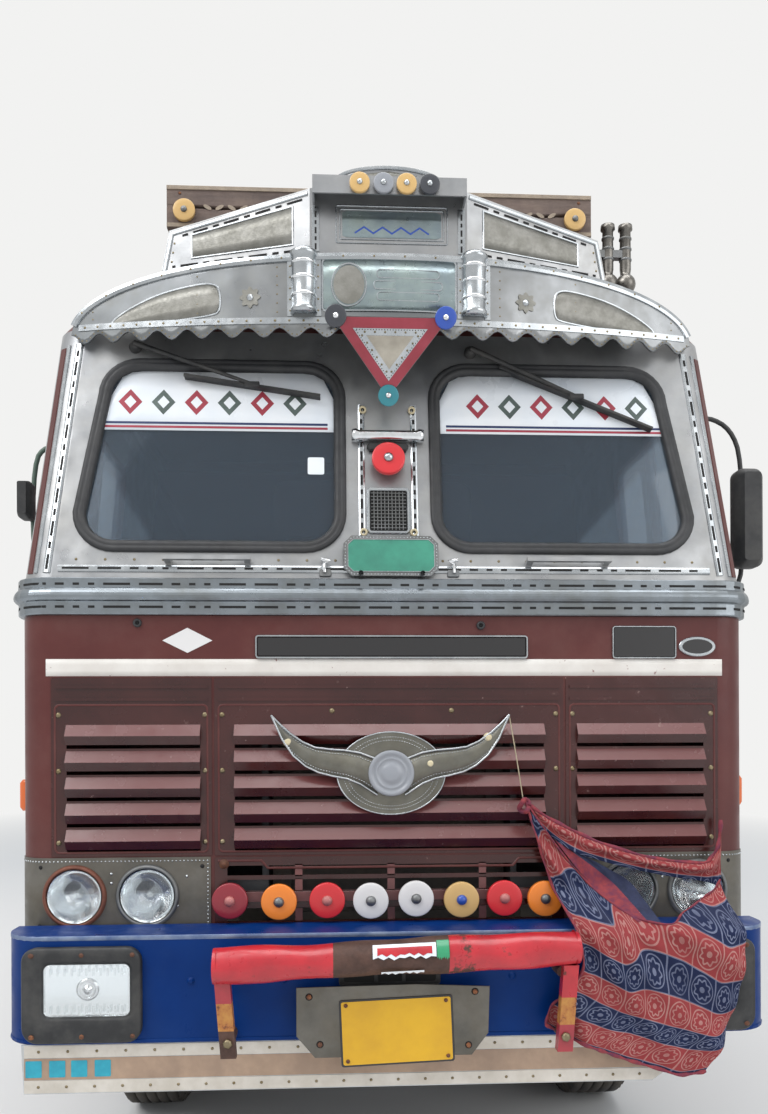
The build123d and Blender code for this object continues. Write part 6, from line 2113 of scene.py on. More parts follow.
@dataclass(frozen=True)
class LampCloth:
    """The printed cloth tied over the left headlamp: a pocket hung from its knot, open along its top."""

    flat: Point = (0.62, 0.7)
    # edges of the hanging panel and of the band above its opening, across and up
    top: tuple[Point, ...] = (
        (0.433, 1.426), (0.52, 1.3), (0.607, 1.192), (0.678, 1.118), (0.747, 1.073), (0.838, 1.064),
        (0.906, 1.09), (0.985, 1.112), (1.035, 1.135), (1.065, 1.17),
    )
    hem: tuple[Point, ...] = (
        (0.45, 0.765), (0.517, 0.727), (0.6, 0.692), (0.666, 0.664), (0.762, 0.63), (0.872, 0.6),
        (0.944, 0.612),
    )
    left: tuple[Point, ...] = (
        (0.433, 1.426), (0.481, 1.265), (0.52, 1.142), (0.548, 1.05), (0.56, 0.95), (0.53, 0.88),
        (0.47, 0.82), (0.45, 0.765),
    )
    right: tuple[Point, ...] = (
        (1.065, 1.17), (1.068, 1.08), (1.052, 0.945), (1.045, 0.823), (1.02, 0.753), (0.985, 0.69),
        (0.944, 0.612),
    )
    band_top: tuple[Point, ...] = (
        (0.436, 1.42), (0.516, 1.368), (0.6, 1.325), (0.683, 1.288), (0.818, 1.246), (0.92, 1.228),
        (1.019, 1.222), (1.055, 1.25), (1.075, 1.3), (1.08, 1.36),
    )
    band_low: tuple[Point, ...] = (
        (0.436, 1.414), (0.5, 1.33), (0.59, 1.262), (0.69, 1.228), (0.82, 1.195), (0.92, 1.176), (1.0, 1.164),
        (1.04, 1.155), (1.062, 1.145), (1.075, 1.13),
    )
    # inside the opening: where the turned-over side starts, where its navy stripe starts, and where it ends
    turned_over: tuple[tuple[Point, ...], ...] = (
        ((0.53, 1.3), (0.607, 1.2), (0.678, 1.12), (0.745, 1.065)),
        ((0.585, 1.262), (0.67, 1.2), (0.735, 1.14), (0.775, 1.065)),
        ((0.62, 1.25), (0.705, 1.205), (0.785, 1.15), (0.815, 1.06)),
    )
    ledge: Point = (1.16, 0.203)  # where it starts to lie over the bumper, and how far that stands out

    def on(self, edge: tuple[Point, ...], share: float) -> Point:
        """Give a point of an edge that bends smoothly between its points.

        Args:
            edge: The edge's points.
            share: How far along it, from 0 to 1.

        Returns:
            The point.
        """
        run = share * (len(edge) - 1)
        n = min(int(run), len(edge) - 2)
        t = run - n
        a, b, c, d = (edge[min(max(n + k, 0), len(edge) - 1)] for k in (-1, 0, 1, 2))
        return tuple(
            0.5 * (2 * q + (r - p) * t + (2 * p - 5 * q + 4 * r - s) * t * t + (3 * q - p - 3 * r + s) * t**3)
            for p, q, r, s in zip(a, b, c, d)
        )

    def depth(self, x: float, z: float, fold: float) -> Vector:
        """Give a point of the cloth, which lies over the lamps and the bumper.

        Args:
            x: Across.
            z: Its height.
            fold: How far a fold brings it forward.

        Returns:
            The point.
        """
        top, stands_out = self.ledge
        share = min(max((top - z) / 0.13, 0.0), 1.0)
        over = stands_out * share * share * (3 - 2 * share)
        reach = 0.05 + over + 0.03 * max(0.0, 1.0 - abs(z - 1.0) / 0.35) + fold
        return at(x, -max(reach, 0.036 + over), z)

    def panel_point(self, s: float, t: float) -> Vector:
        """Give a point of the hanging panel: its four edges blended, then its folds.

        Args:
            s: Share of its width, from the knot's side.
            t: Share of its length, from the top.

        Returns:
            The point.
        """
        (a, b), (c, d) = self.on(self.top, s), self.on(self.hem, s)
        (e, f), (g, h) = self.on(self.left, t), self.on(self.right, t)
        p, q, r, w = self.top[0], self.top[-1], self.hem[0], self.hem[-1]
        x, z = (
            (1 - t) * up + t * down + (1 - s) * one + s * two
            - (1 - s) * (1 - t) * p[i] - s * (1 - t) * q[i] - (1 - s) * t * r[i] - s * t * w[i]
            for i, (up, down, one, two) in enumerate(((a, c, e, g), (b, d, f, h)))
        )
        knot = (0.40, 1.426)
        turn = atan2(knot[1] - z, x - knot[0])
        away = hypot(x - knot[0], z - knot[1])
        fold = 0.015 * sin(19 * turn + 2.5 * away) * min(1.0, away / 0.25)
        fold += 0.008 * sin(47 * turn + 9 * away + 1.3) * min(1.0, away / 0.4)
        gather = max(0.0, s - 0.45) * max(0.0, t - 0.25)
        fold += 0.05 * gather * sin(30 * x + 14 * z) + 0.02 * gather * sin(75 * x - 30 * z)
        fold += 0.012 * sin(26 * t + 3 * s) * max(0.0, 0.25 - s)
        return self.depth(x, z, fold)

    def band_point(self, s: float, t: float) -> Vector:
        """Give a point of the rolled band above the opening.

        Args:
            s: Share of its width, from the knot's side.
            t: Share of its height, from the top.

        Returns:
            The point.
        """
        x, z = between(self.on(self.band_top, s), self.on(self.band_low, s), t)
        roll = 0.022 * sin(pi * min(t * 1.6, 1.0)) * sin(pi * min(max(s, 0.04), 0.96)) ** 0.5
        return self.depth(x, z, roll + 0.003 * sin(40 * s + 5 * t) - 0.01)

    def build(self) -> None:
        """Make the cloth, its hems, its knot and the string."""
        name = "lamp_cloth_printed"
        points, faces, cuts = [], [], []
        for place, wide, long, across_cut, down_cut in (
            (self.panel_point, 110, 110, 0.66, None), (self.band_point, 90, 12, 0.75, 0.09),
        ):
            start = len(points)
            places = [(i / wide, j / long) for j in range(long + 1) for i in range(wide + 1)]
            points += [place(s, t) for s, t in places]
            for s, t in places:
                length = down_cut or (place(s, 0.0) - place(s, 1.0)).length
                cuts.append((s * across_cut, (t - 1) * length + 0.02))
            corners = [start + j * (wide + 1) + i for j in range(long) for i in range(wide)]
            faces += [(n, n + wide + 1, n + wide + 2, n + 1) for n in corners]
        mesh = bpy.data.meshes.new(name)
        mesh.from_pydata(points, [], faces)
        cut = mesh.uv_layers.new(name="cut")
        for loop in mesh.loops:
            cut.data[loop.index].uv = cuts[loop.vertex_index]
        mesh.materials.append(PrintedCotton().build())
        mesh.polygons.foreach_set("use_smooth", [True] * len(mesh.polygons))
        cloth = placed(name, mesh)
        body = cloth.modifiers.new("thickness", "SOLIDIFY")
        body.thickness = 0.0012
        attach(cloth, "truck")
        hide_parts("lamp_cloth")
        rest = self.hems_and_knot()

    def hems_and_knot(self) -> bpy.types.Object:
        """Make the cloth's rolled edges, the lining behind its opening, its knot and the string.

        Returns:
            The object.
        """
        shape = Shape("lamp_cloth_hems")
        for place, line, radius in (
            (self.panel_point, [(n / 60, 1.0) for n in range(61)], 0.007),
            (self.panel_point, [(0.0, n / 60) for n in range(61)], 0.005),
            (self.panel_point, [(n / 60, 0.0) for n in range(61)], 0.004),
            (self.band_point, [(n / 60, 0.0) for n in range(61)], 0.008),
        ):
            path = [place(*p) + AHEAD * 0.003 for p in line]
            shape.tube(path, [radius * (0.75 + 0.25 * sin(n * 0.9)) for n in range(61)], COTTON_RED, 8)
        behind = AHEAD * -0.012
        for near, far, finish in zip(self.turned_over, self.turned_over[1:], (COTTON_RED, COTTON_NAVY)):
            rows = []
            for n in range(17):
                row = [between(self.on(near, n / 16), self.on(far, n / 16), k / 6) for k in range(7)]
                rows.append([self.depth(*p, 0.004 * sin(0.9 * n + k)) + behind for k, p in enumerate(row)])
            shape.rows(rows, finish)
        knot = at(0.43, -0.045, 1.412)
        loops = [
            knot + Vector((0.014 * cos(t) * (1 + 0.3 * sin(2 * t)), 0.01 * sin(2 * t) - 0.008, 0.02 * sin(t)))
            for t in angles(24)
        ]
        shape.tube(loops, 0.008, COTTON_RED, 10)
        start = at(0.385, -0.033, 1.705)
        string = [start.lerp(knot, n / 10) + AHEAD * 0.006 * sin(pi * n / 10) for n in range(11)]
        shape.tube(string, 0.0018, STRING, 6)
        return shape.make("truck", "printed_cotton")


@dataclass(frozen=True)
class Wipers:
    """Two wipers parked low across the glass, each a bent arm with its long blade."""

    pivots: tuple[Point, ...] = ((-0.847, 2.955), (0.289, 2.955))
    blades: tuple[tuple[Point, Point], ...] = (
        ((-0.68, 2.848), (-0.225, 2.78)), ((0.387, 2.896), (0.903, 2.678)),
    )

    def build(self) -> None:
        """Make both wipers."""
        shape = Shape("wipers_dressed")
        for pivot, (start, stop) in zip(self.pivots, self.blades):
            base = [(0, 0.021), (0.012, 0.021), (0.016, 0.016), (0.026, 0.014), (0.03, 0.009), (0.031, 0.0)]
            shape.boss(SCREEN_SKIN, pivot, base, BLACK, 20)
            middle = between(start, stop, 0.5)
            points = [SCREEN_SKIN.point(*p, 0.03) for p in divided([pivot, middle], 0.05)]
            shape.tube(points, [0.01 - 0.005 * n / len(points) for n in range(len(points))], BLACK, 8)
            blade = divided([start, stop], 0.05)
            shape.strip(SCREEN_SKIN, blade, bar(0.005, 0.008, 0.001, 0.018), BLACK)
            shape.strip(SCREEN_SKIN, blade, bar(0.0015, 0.024, 0.0, -0.006), RUBBER)
            shape.plate(SCREEN_SKIN, across(*middle, 0.05, 0.018, 0.004), 0.012, BLACK, 0.022, 0.003)
        shape.make("truck", "black_plastic", "wipers")


# The wheels

AXLE_HEIGHT = 0.52


@dataclass(frozen=True)
class Tyre:
    """A cross-ply truck tyre: round shoulders, ribbed tread and moulded rings on its walls."""

    radius: float = 0.52
    width: float = 0.274
    bead: float = 0.262
    ribs: int = 5
    lugs: int = 56
    rings: tuple[float, ...] = (0.3, 0.315, 0.41)  # radii of those on the walls

    def profile(self) -> list[Point]:
        """Give the outer half section from the bead to the tread's edge: across and out.

        Returns:
            Its points.
        """
        half, bead, radius = self.width / 2, self.bead, self.radius
        return [
            (half * 0.66, bead), (half * 0.82, bead + 0.012), (half * 0.9, bead + 0.035),
            (half * 0.975, bead + 0.08), (half, bead + 0.125), (half * 0.99, bead + 0.165),
            (half * 0.955, bead + 0.2), (half * 0.93, radius - 0.036), (half * 0.88, radius - 0.02),
            (half * 0.8, radius - 0.009),
        ]

    def tread(self) -> list[Point]:
        """Give the section of the tread with its grooves: across and out.

        Returns:
            Its points.
        """
        half = self.width / 2
        step = 2 * half * 0.8 / self.ribs
        places = [
            (step * (n - self.ribs / 2 + u), drop)
            for n in range(self.ribs)
            for u, drop in ((0.0, 0.004), (0.1, 0.0), (0.84, 0.0), (0.88, 0.011), (0.97, 0.011))
        ]
        return [(x, self.radius - 0.0035 * (x / half) ** 2 - drop) for x, drop in places]

    def lug(self, shape: Shape, origin: Vector, turn: float, side: int) -> None:
        """Add one block on a shoulder.

        Args:
            shape: The piece that it belongs to.
            origin: The tyre's middle.
            turn: Where it is round the tyre.
            side: Which shoulder it is on.
        """
        outward, around = Vector((0, cos(turn), sin(turn))), Vector((0, -sin(turn), cos(turn))) * 0.011
        near, far = (
            origin + ACROSS * side * u * self.width / 2 + outward * (self.radius - r)
            for u, r in ((0.8, 0.005), (0.945, 0.032))
        )
        top = [near - around, near + around, far + around, far - around]
        foot = [p - outward * 0.012 for p in top]
        if side < 0:
            top, foot = top[::-1], foot[::-1]
        shape.prism(foot, top, TYRE)

    def add(self, shape: Shape, x: float, y: float) -> None:
        """Add one tyre.

        Args:
            shape: The piece that it belongs to.
            x: Of its middle.
            y: Of its axle, in the frame's own axes.
        """
        origin = Vector((x, y, AXLE_HEIGHT))
        side = self.profile()
        shape.turned([(-u, r) for u, r in side] + self.tread() + side[::-1], origin, ACROSS, TYRE, 112)
        inner = [(side[0][0], self.bead), (side[0][0] * 0.96, self.bead - 0.004)]
        shape.turned([*inner, *((-u, r) for u, r in inner[::-1])], origin, ACROSS, TYRE, 56)
        for turn in angles(self.lugs):
            for sign in SIDES:
                self.lug(shape, origin, turn, sign)
        for radius in self.rings:
            u = self.wall(radius) + 0.0012
            half = [(u - 0.003, -0.002), (u, -0.0012)]
            ring = [(a, radius + r) for a, r in [*half, *((a, -r) for a, r in half[::-1])]]
            for sign in SIDES:
                shape.turned(ring, origin, ACROSS * sign, TYRE, 72)

    def wall(self, radius: float) -> float:
        """Give how far out the side wall stands at a radius.

        Args:
            radius: How far from the tyre's axis.

        Returns:
            How far from the tyre's middle plane.
        """
        side = self.profile()
        for (u0, r0), (u1, r1) in zip(side, side[1:]):
            if r0 <= radius <= r1:
                return u0 + (u1 - u0) * (radius - r0) / (r1 - r0)
        return side[0][0]


@dataclass(frozen=True)
class Wheel:
    """A pressed disc wheel with its lock ring, hand holes, nuts and hub."""

    bead: float = 0.262
    half: float = 0.095
    hub: float = 0.108
    nuts: int = 10
    nut_circle: float = 0.135
    holes: int = 8
    hole_circle: float = 0.192

    def add(self, shape: Shape, x: float, y: float, side: int, dish: float) -> None:
        """Add one wheel.

        Args:
            shape: The piece that it belongs to.
            x: Of its middle.
            y: Of its axle, in the frame's own axes.
            side: Which way its outer face looks.
            dish: How far out from the middle the disc's face is.
        """
        origin = Vector((x, y, AXLE_HEIGHT))
        axis = ACROSS * side
        half, bead = self.half, self.bead
        lock_ring = [(half + 0.006, -0.004), (half + 0.013, 0.004), (half + 0.008, 0.011)]
        seats = [
            (half - 0.004, -0.003), (half - 0.012, -0.016), (half - 0.05, -0.02), (0.05 - half, -0.02),
            (0.01 - half, -0.014), (-half, -0.002), (-half - 0.008, 0.011), (-half - 0.013, 0.004),
            (-half - 0.006, -0.004),
        ]
        inside = [
            (0.006 - half, -0.022), (0.05 - half, -0.028), (half - 0.05, -0.028), (half - 0.006, -0.024),
            (half + 0.006, -0.004),
        ]
        shape.turned([(a, bead + r) for a, r in [*lock_ring, *seats, *inside]], origin, axis, RIM, 72)
        outer = bead - 0.028
        disc = [
            (dish - 0.05, outer), (dish - 0.03, outer - 0.02), (dish - 0.012, outer - 0.055), (dish, 0.155),
            (dish, self.hub),
        ]
        shape.turned(disc, origin, axis, RIM, 72)
        shape.turned([(a - 0.008, r) for a, r in disc][::-1], origin, axis, RIM, 72)
        lip = [(0.0, 0.021), (0.0075, 0.0215), (0.009, 0.0185), (0.0065, 0.017), (0.0065, 0.0)]
        for turn in (turn + pi / self.holes for turn in angles(self.holes)):
            way = Vector((0, cos(turn), sin(turn)))
            shape.turned(lip, origin + axis * (dish - 0.021) + way * self.hole_circle, axis, GAP, 20)
        nut = [(0.0, 0.017), (0.018, 0.017), (0.022, 0.014), (0.022, 0.007), (0.03, 0.007), (0.031, 0.0)]
        for turn in angles(self.nuts):
            way = Vector((0, cos(turn), sin(turn)))
            shape.turned(nut, origin + axis * dish + way * self.nut_circle, axis, RUST, 6)
        hub = [(dish - 0.05, self.hub), (dish + 0.02, 0.1), (dish + 0.028, 0.085), (dish + 0.03, 0.0)]
        shape.turned(hub, origin, axis, RIM, 40)


@dataclass(frozen=True)
class Running:
    """All the tyres and wheels, each with the body that it turns with."""

    front_y: float = -3.01
    rear_ys: Point = (1.57, 2.90)
    front_x: float = 0.965
    rear_x: float = 0.918
    spacing: float = 0.316
    front_dish: float = 0.05
    rear_dish: float = -0.09

    def build(self) -> None:
        """Make each wheel's tyre and rim."""
        twins = (self.rear_x + self.spacing / 2, self.rear_x - self.spacing / 2)
        for name, side in (("left", 1), ("right", -1)):
            nodes = (f"wheel_front_{name}", f"front_tyre_{name}", f"front_wheel_{name}")
            self.one(nodes, side, (self.front_x,), self.front_y)
            for n, y in enumerate(self.rear_ys, 1):
                nodes = (f"wheels_rear_{n}_{name}", f"rear_tyres_{n}_{name}", f"rear_wheels_{n}_{name}")
                self.one(nodes, side, twins, y)

    def one(self, nodes: tuple[str, str, str], side: int, xs: tuple[float, ...], y: float) -> None:
        """Make the tyres and rims that turn on one hub.

        Args:
            nodes: The CAD body that they ride on, and the CAD nodes of the tyres and of the rims.
            side: Which side of the truck.
            xs: Middles of its tyres, the outer one first.
            y: Of its axle.
        """
        body, tyre, wheel = nodes
        rubber, steel = Shape(tyre + "_treaded"), Shape(wheel + "_pressed")
        dish = self.rear_dish if len(xs) > 1 else self.front_dish
        for n, x in enumerate(xs):
            Tyre().add(rubber, side * x, y)
            Wheel().add(steel, side * x, y, side if n == 0 else -side, dish)
        rubber.make(body, "tyre", tyre)
        steel.make(body, "rim_paint", wheel)


# Mirrors, rack and sides


@dataclass(frozen=True)
class Mirror:
    """One door mirror: its head on a bent tube. Places are out from the truck's middle and up."""

    side: int
    low: Point  # corners of the head
    high: Point
    arm: tuple[Point, ...]
    stay: float  # how far out the arm stands behind the head
    finish: Finish  # of the arm

    def add(self, shape: Shape) -> None:
        """Add the mirror.

        Args:
            shape: The piece that it belongs to.
        """
        wide = self.high[0] - self.low[0]
        outline = mirror(rounded(self.low, self.high, 0.3 * wide, 5), self.side)
        rows = []
        for y, cut in ((0.225, 0.2), (0.235, 0.14), (0.262, 0.0), (0.305, 0.0), (0.312, 0.04), (0.308, 0.1)):
            rows.append([at(u, y, z) for u, z in (inset(outline, cut * wide) if cut else outline)])
        shape.rows(rows, BLACK, around=True)
        shape.cap(rows[0], BLACK, True)
        shape.cap([at(u, 0.309, z) for u, z in inset(outline, 0.09 * wide)][::-1], CHROME)
        shape.tube(self.bent([at(self.side * x, 0.35, z) for x, z in self.arm]), 0.0085, self.finish, 10)
        x, middle = between(self.low, self.high, 0.5)
        for z in (middle - 0.05, middle + 0.05):
            shape.tube([at(self.side * x, 0.3, z), at(self.side * self.stay, 0.35, z)], 0.01, BLACK, 10)

    def bent(self, path: list[Vector]) -> list[Vector]:
        """Round a path's corners by cutting them twice.

        Args:
            path: Its points.

        Returns:
            The rounder path.
        """
        for _ in range(2):
            fine = [path[0]]
            for a, b in zip(path, path[1:]):
                fine += [a.lerp(b, 0.25), a.lerp(b, 0.75)]
            path = [*fine, path[-1]]
        return path


@dataclass(frozen=True)
class Mirrors:
    """Door mirrors: a deep head on a black tube at the left, a shallow one on a green tube at the right."""

    left: Mirror = Mirror(
        1, (1.263, 2.244), (1.365, 2.6),
        (
            (1.14, 2.79), (1.2, 2.815), (1.285, 2.77), (1.325, 2.66), (1.328, 2.3), (1.315, 2.19),
            (1.235, 2.15), (1.185, 2.16),
        ),
        1.325, BLACK,
    )
    right: Mirror = Mirror(
        -1, (1.225, 2.4), (1.275, 2.53),
        ((1.13, 2.66), (1.2, 2.68), (1.245, 2.62), (1.25, 2.3), (1.21, 2.22), (1.17, 2.2)), 1.25, ARM_GREEN,
    )

    def build(self) -> None:
        """Make both mirrors."""
        shape = Shape("mirrors_dressed")
        self.left.add(shape)
        self.right.add(shape)
        shape.make("truck", "black_plastic", "mirrors")


@dataclass(frozen=True)
class Rack:
    """The boarded roof tray: planks with nail heads, its worn posts and the ball-ended pair beside it."""

    half: float = 0.785
    front: float = 0.421
    rear: float = 1.9
    floor: float = 3.11
    boards: int = 9  # of the floor
    board: float = 0.022
    rails: tuple[Point, ...] = ((3.11, 3.27), (3.33, 3.44), (3.5, 3.66))
    post: float = 0.048  # thickness of a corner post
    post_top: float = 3.65
    leaves: int = 34
    leaf: tuple[float, float, float] = (0.017, 0.007, 0.5)  # half length, half width and tilt
    ball_posts: Point = (0.858, 0.925)
    ball: Point = (3.383, 0.038)  # its height and radius

    def plank(
        self, shape: Shape, ends: tuple[Vector, Vector], low: float, high: float, thick: Vector
    ) -> None:
        """Add one plank with slightly uneven, worn edges.

        Args:
            shape: The piece that it belongs to.
            ends: Its near and far end, in plan.
            low: Its lower edge.
            high: Its upper edge.
            thick: Its thickness, towards its outer face.
        """
        rows = []
        count, worn = 24, UP * 0.003
        for n in range(count + 1):
            point = ends[0].lerp(ends[1], n / count)
            wave = 0.0025 * sin(1.7 * n) + 0.0015 * sin(4.1 * n)
            a, b = point + UP * (low + wave) + worn, point + UP * (high + wave) - worn
            outer = [a + thick * 0.15, a + thick * 0.85 - worn * 0.3, a + thick + worn, b + thick - worn]
            rows.append([a, *outer, b + thick * 0.85, b])
        shape.rows(rows, BOARDS, False, around=True)
        shape.cap(rows[0], BOARDS)
        shape.cap(rows[-1][::-1], BOARDS)

    def build(self) -> None:
        """Make the rack."""
        shape = Shape("roof_rack_boarded")
        front, rear = COWL + self.front, COWL + self.rear
        pitch = (rear - front) / self.boards
        for n in range(self.boards):
            y, half = front + pitch * (n + 0.5), (pitch - 0.012) / 2
            low = Vector((0.02 - self.half, y - half, self.floor + 0.002))
            shape.box(low, Vector((self.half - 0.02, y + half, self.floor + 0.02)), BOARDS)
        for low, high in self.rails:
            middle = (low + high) / 2
            for y, thick in ((front + self.board, -self.board), (rear - self.board, self.board)):
                ends = (Vector((-self.half, y, 0)), Vector((self.half, y, 0)))
                for below, above in ((low, middle - 0.002), (middle + 0.002, high)):
                    self.plank(shape, ends, below, above, Vector((0, thick, 0)))
            for side in SIDES:
                x = side * (self.half - self.board)
                ends = (Vector((x, front + 0.001, 0)), Vector((x, rear - 0.001, 0)))
                self.plank(shape, ends, low, high, ACROSS * side * self.board)
        self.posts_and_nails(shape)
        self.front_frame(shape)
        self.ball_ends(shape)
        shape.make("truck", "rack_wood", "roof_rack")

    def posts_and_nails(self, shape: Shape) -> None:
        """Add the eight posts inside the boards, and the front boards' nail heads before them.

        Args:
            shape: The piece that it belongs to.
        """
        front, rear = COWL + self.front, COWL + self.rear
        nail = [(0, 0.006), (0.002, 0.005), (0.0028, 0.0)]
        half = self.post / 2
        inward = self.board + half + 0.001
        columns = (inward - self.half, -0.005, self.half - inward)
        depths = (front + inward, (front + rear) / 2, rear - inward)
        for x in columns:
            for y in depths:
                if x == columns[1] and y == depths[1]:
                    continue
                low = Vector((x - half, y - half, self.floor + 0.01))
                shape.box(low, Vector((x + half, y + half, self.post_top)), BOARDS_DARK)
            for z in (z for low, high in self.rails for z in (low + 0.03, high - 0.03)):
                shape.turned(nail, Vector((x, front, z)), AHEAD, RUST, 8)

    def front_frame(self, shape: Shape) -> None:
        """Add the lighter frame and the row of punched leaves along the front's upper board.

        Args:
            shape: The piece that it belongs to.
        """
        skin = flat_skin(self.front)
        for low, high in ((3.505, 3.52), (3.642, 3.657)):
            shape.plate(skin, rectangle(-self.half, low, self.half, high), 0.004, BOARDS_PALE, edge=0.001)
        for side in SIDES:
            for z in (3.13, 3.36):
                block = mirror(rectangle(self.half - 0.03, z, self.half, z + 0.08), side)
                shape.plate(skin, block, 0.003, BOARDS_PALE, edge=0.001)
        long, wide, tilt = self.leaf
        for n in range(self.leaves):
            u = (self.half - 0.06) * (2 * n / (self.leaves - 1) - 1)
            if abs(abs(u) - 0.72) <= 0.05:  # a reflector disc is there
                continue
            lean = tilt if n % 2 else -tilt
            leaf = [
                (u + x * cos(lean) - z * sin(lean), 3.58 + x * sin(lean) + z * cos(lean))
                for x, z in ellipse((0.0, 0.0), long, wide, 10)
            ]
            shape.plate(skin, leaf, 0.002, BOARDS_PALE)

    def ball_ends(self, shape: Shape) -> None:
        """Add the pair of ball-ended posts with their bracket.

        Args:
            shape: The piece that it belongs to.
        """
        y, far = COWL + 0.455, self.ball_posts[1]
        shape.box(Vector((self.half, y - 0.014, 3.441)), Vector((far, y + 0.014, 3.469)), DULL_STEEL)
        middle, radius = self.ball
        turns = [pi * (k / 12 - 0.5) for k in range(11)]
        ball = [(middle - radius + radius * sin(t), max(radius * cos(t), 0.0)) for t in turns]
        stem = [(3.386, 0.019), (3.4, 0.021), (3.545, 0.02), (3.55, 0.027), (3.566, 0.026), (3.57, 0.0)]
        ring = [(0, 0.02), (0.003, 0.0235), (0.008, 0.0235), (0.011, 0.02)]
        for x in self.ball_posts:
            shape.turned([*ball, *stem], Vector((x, y, 0.0)), UP, POST_STEEL, 24)
            for z in (3.43, 3.47, 3.51):
                shape.turned(ring, Vector((x, y, z)), UP, DULL_STEEL, 24)


@dataclass(frozen=True)
class SideDress:
    """Cream bands and plain diamonds on the load body; the stripe's return and an indicator on the cab."""

    body_x: float = 1.18
    cab_x: float = 1.2
    front: float = 2.09
    rear: float = 8.99
    bays: int = 10
    # each row's foot and top, and the colours of its diamonds' borders and middles
    rows: tuple[tuple[float, float, tuple[Finish, Finish]], ...] = (
        (1.23, 1.76, (CREAM, TEAL_PAINT)), (1.83, 2.36, (TEAL_PAINT, CREAM)),
        (2.43, 2.88, (CREAM, TEAL_PAINT)),
    )

    def quad(self, shape: Shape, side: int, x: float, outline: Path, finish: Finish) -> None:
        """Paint a four-cornered field on a side.

        Args:
            shape: The piece that it belongs to.
            side: Which side of the truck.
            x: How far out it is.
            outline: Its corners: how far behind the cowl's front face, and up.
            finish: The paint.
        """
        corners = [at(side * x, y, z) for y, z in outline]
        shape.cap(corners if side > 0 else corners[::-1], finish)

    def body_side(self, shape: Shape, side: int) -> None:
        """Add the cream bands and plain diamonds on one side of the load body.

        Args:
            shape: The piece that it belongs to.
            side: Which side of the truck.
        """
        x = self.body_x + 0.0015
        pitch = (self.rear - self.front) / self.bays
        for n in range(self.bays):
            start, stop = self.front + n * pitch + 0.07, self.front + (n + 1) * pitch - 0.07
            for low, high, (border, field_paint) in self.rows:
                for z in (low + 0.03, high - 0.05):
                    self.quad(shape, side, x, rectangle(start, z, stop, z + 0.02), CREAM)
                centre = ((start + stop) / 2, (low + high) / 2)
                self.quad(shape, side, x, ellipse(centre, 0.16, 0.16, 4), border)
                self.quad(shape, side, x + 0.001, ellipse(centre, 0.1, 0.1, 4), field_paint)

    def indicators(self) -> None:
        """Make the orange side indicators."""
        shape = Shape("side_indicators")
        outline = rounded((0.13, 1.395), (0.2, 1.5), 0.012)
        for side in SIDES:
            rows = [
                [at(side * (self.cab_x + out), y, z) for y, z in line]
                for line, out in ((outline, 0.0), (outline, 0.022), (inset(outline, 0.012), 0.032))
            ]
            if side < 0:
                rows = [row[::-1] for row in rows]
            shape.rows(rows, ORANGE_LENS, around=True)
            shape.cap(rows[-1], ORANGE_LENS)
        shape.make("truck", "reflector")

    def build(self) -> None:
        """Make it all."""
        body, cab = Shape("load_body_paint_lines"), Shape("cab_side_lines")
        for side in SIDES:
            self.body_side(body, side)
            self.quad(cab, side, self.cab_x + 0.0015, rectangle(0.12, 1.835, 0.385, 1.89), WHITE_STRIPE)
        body.make("truck", "body_paint")
        cab.make("truck", "cab_paint")
        self.indicators()


# The studio


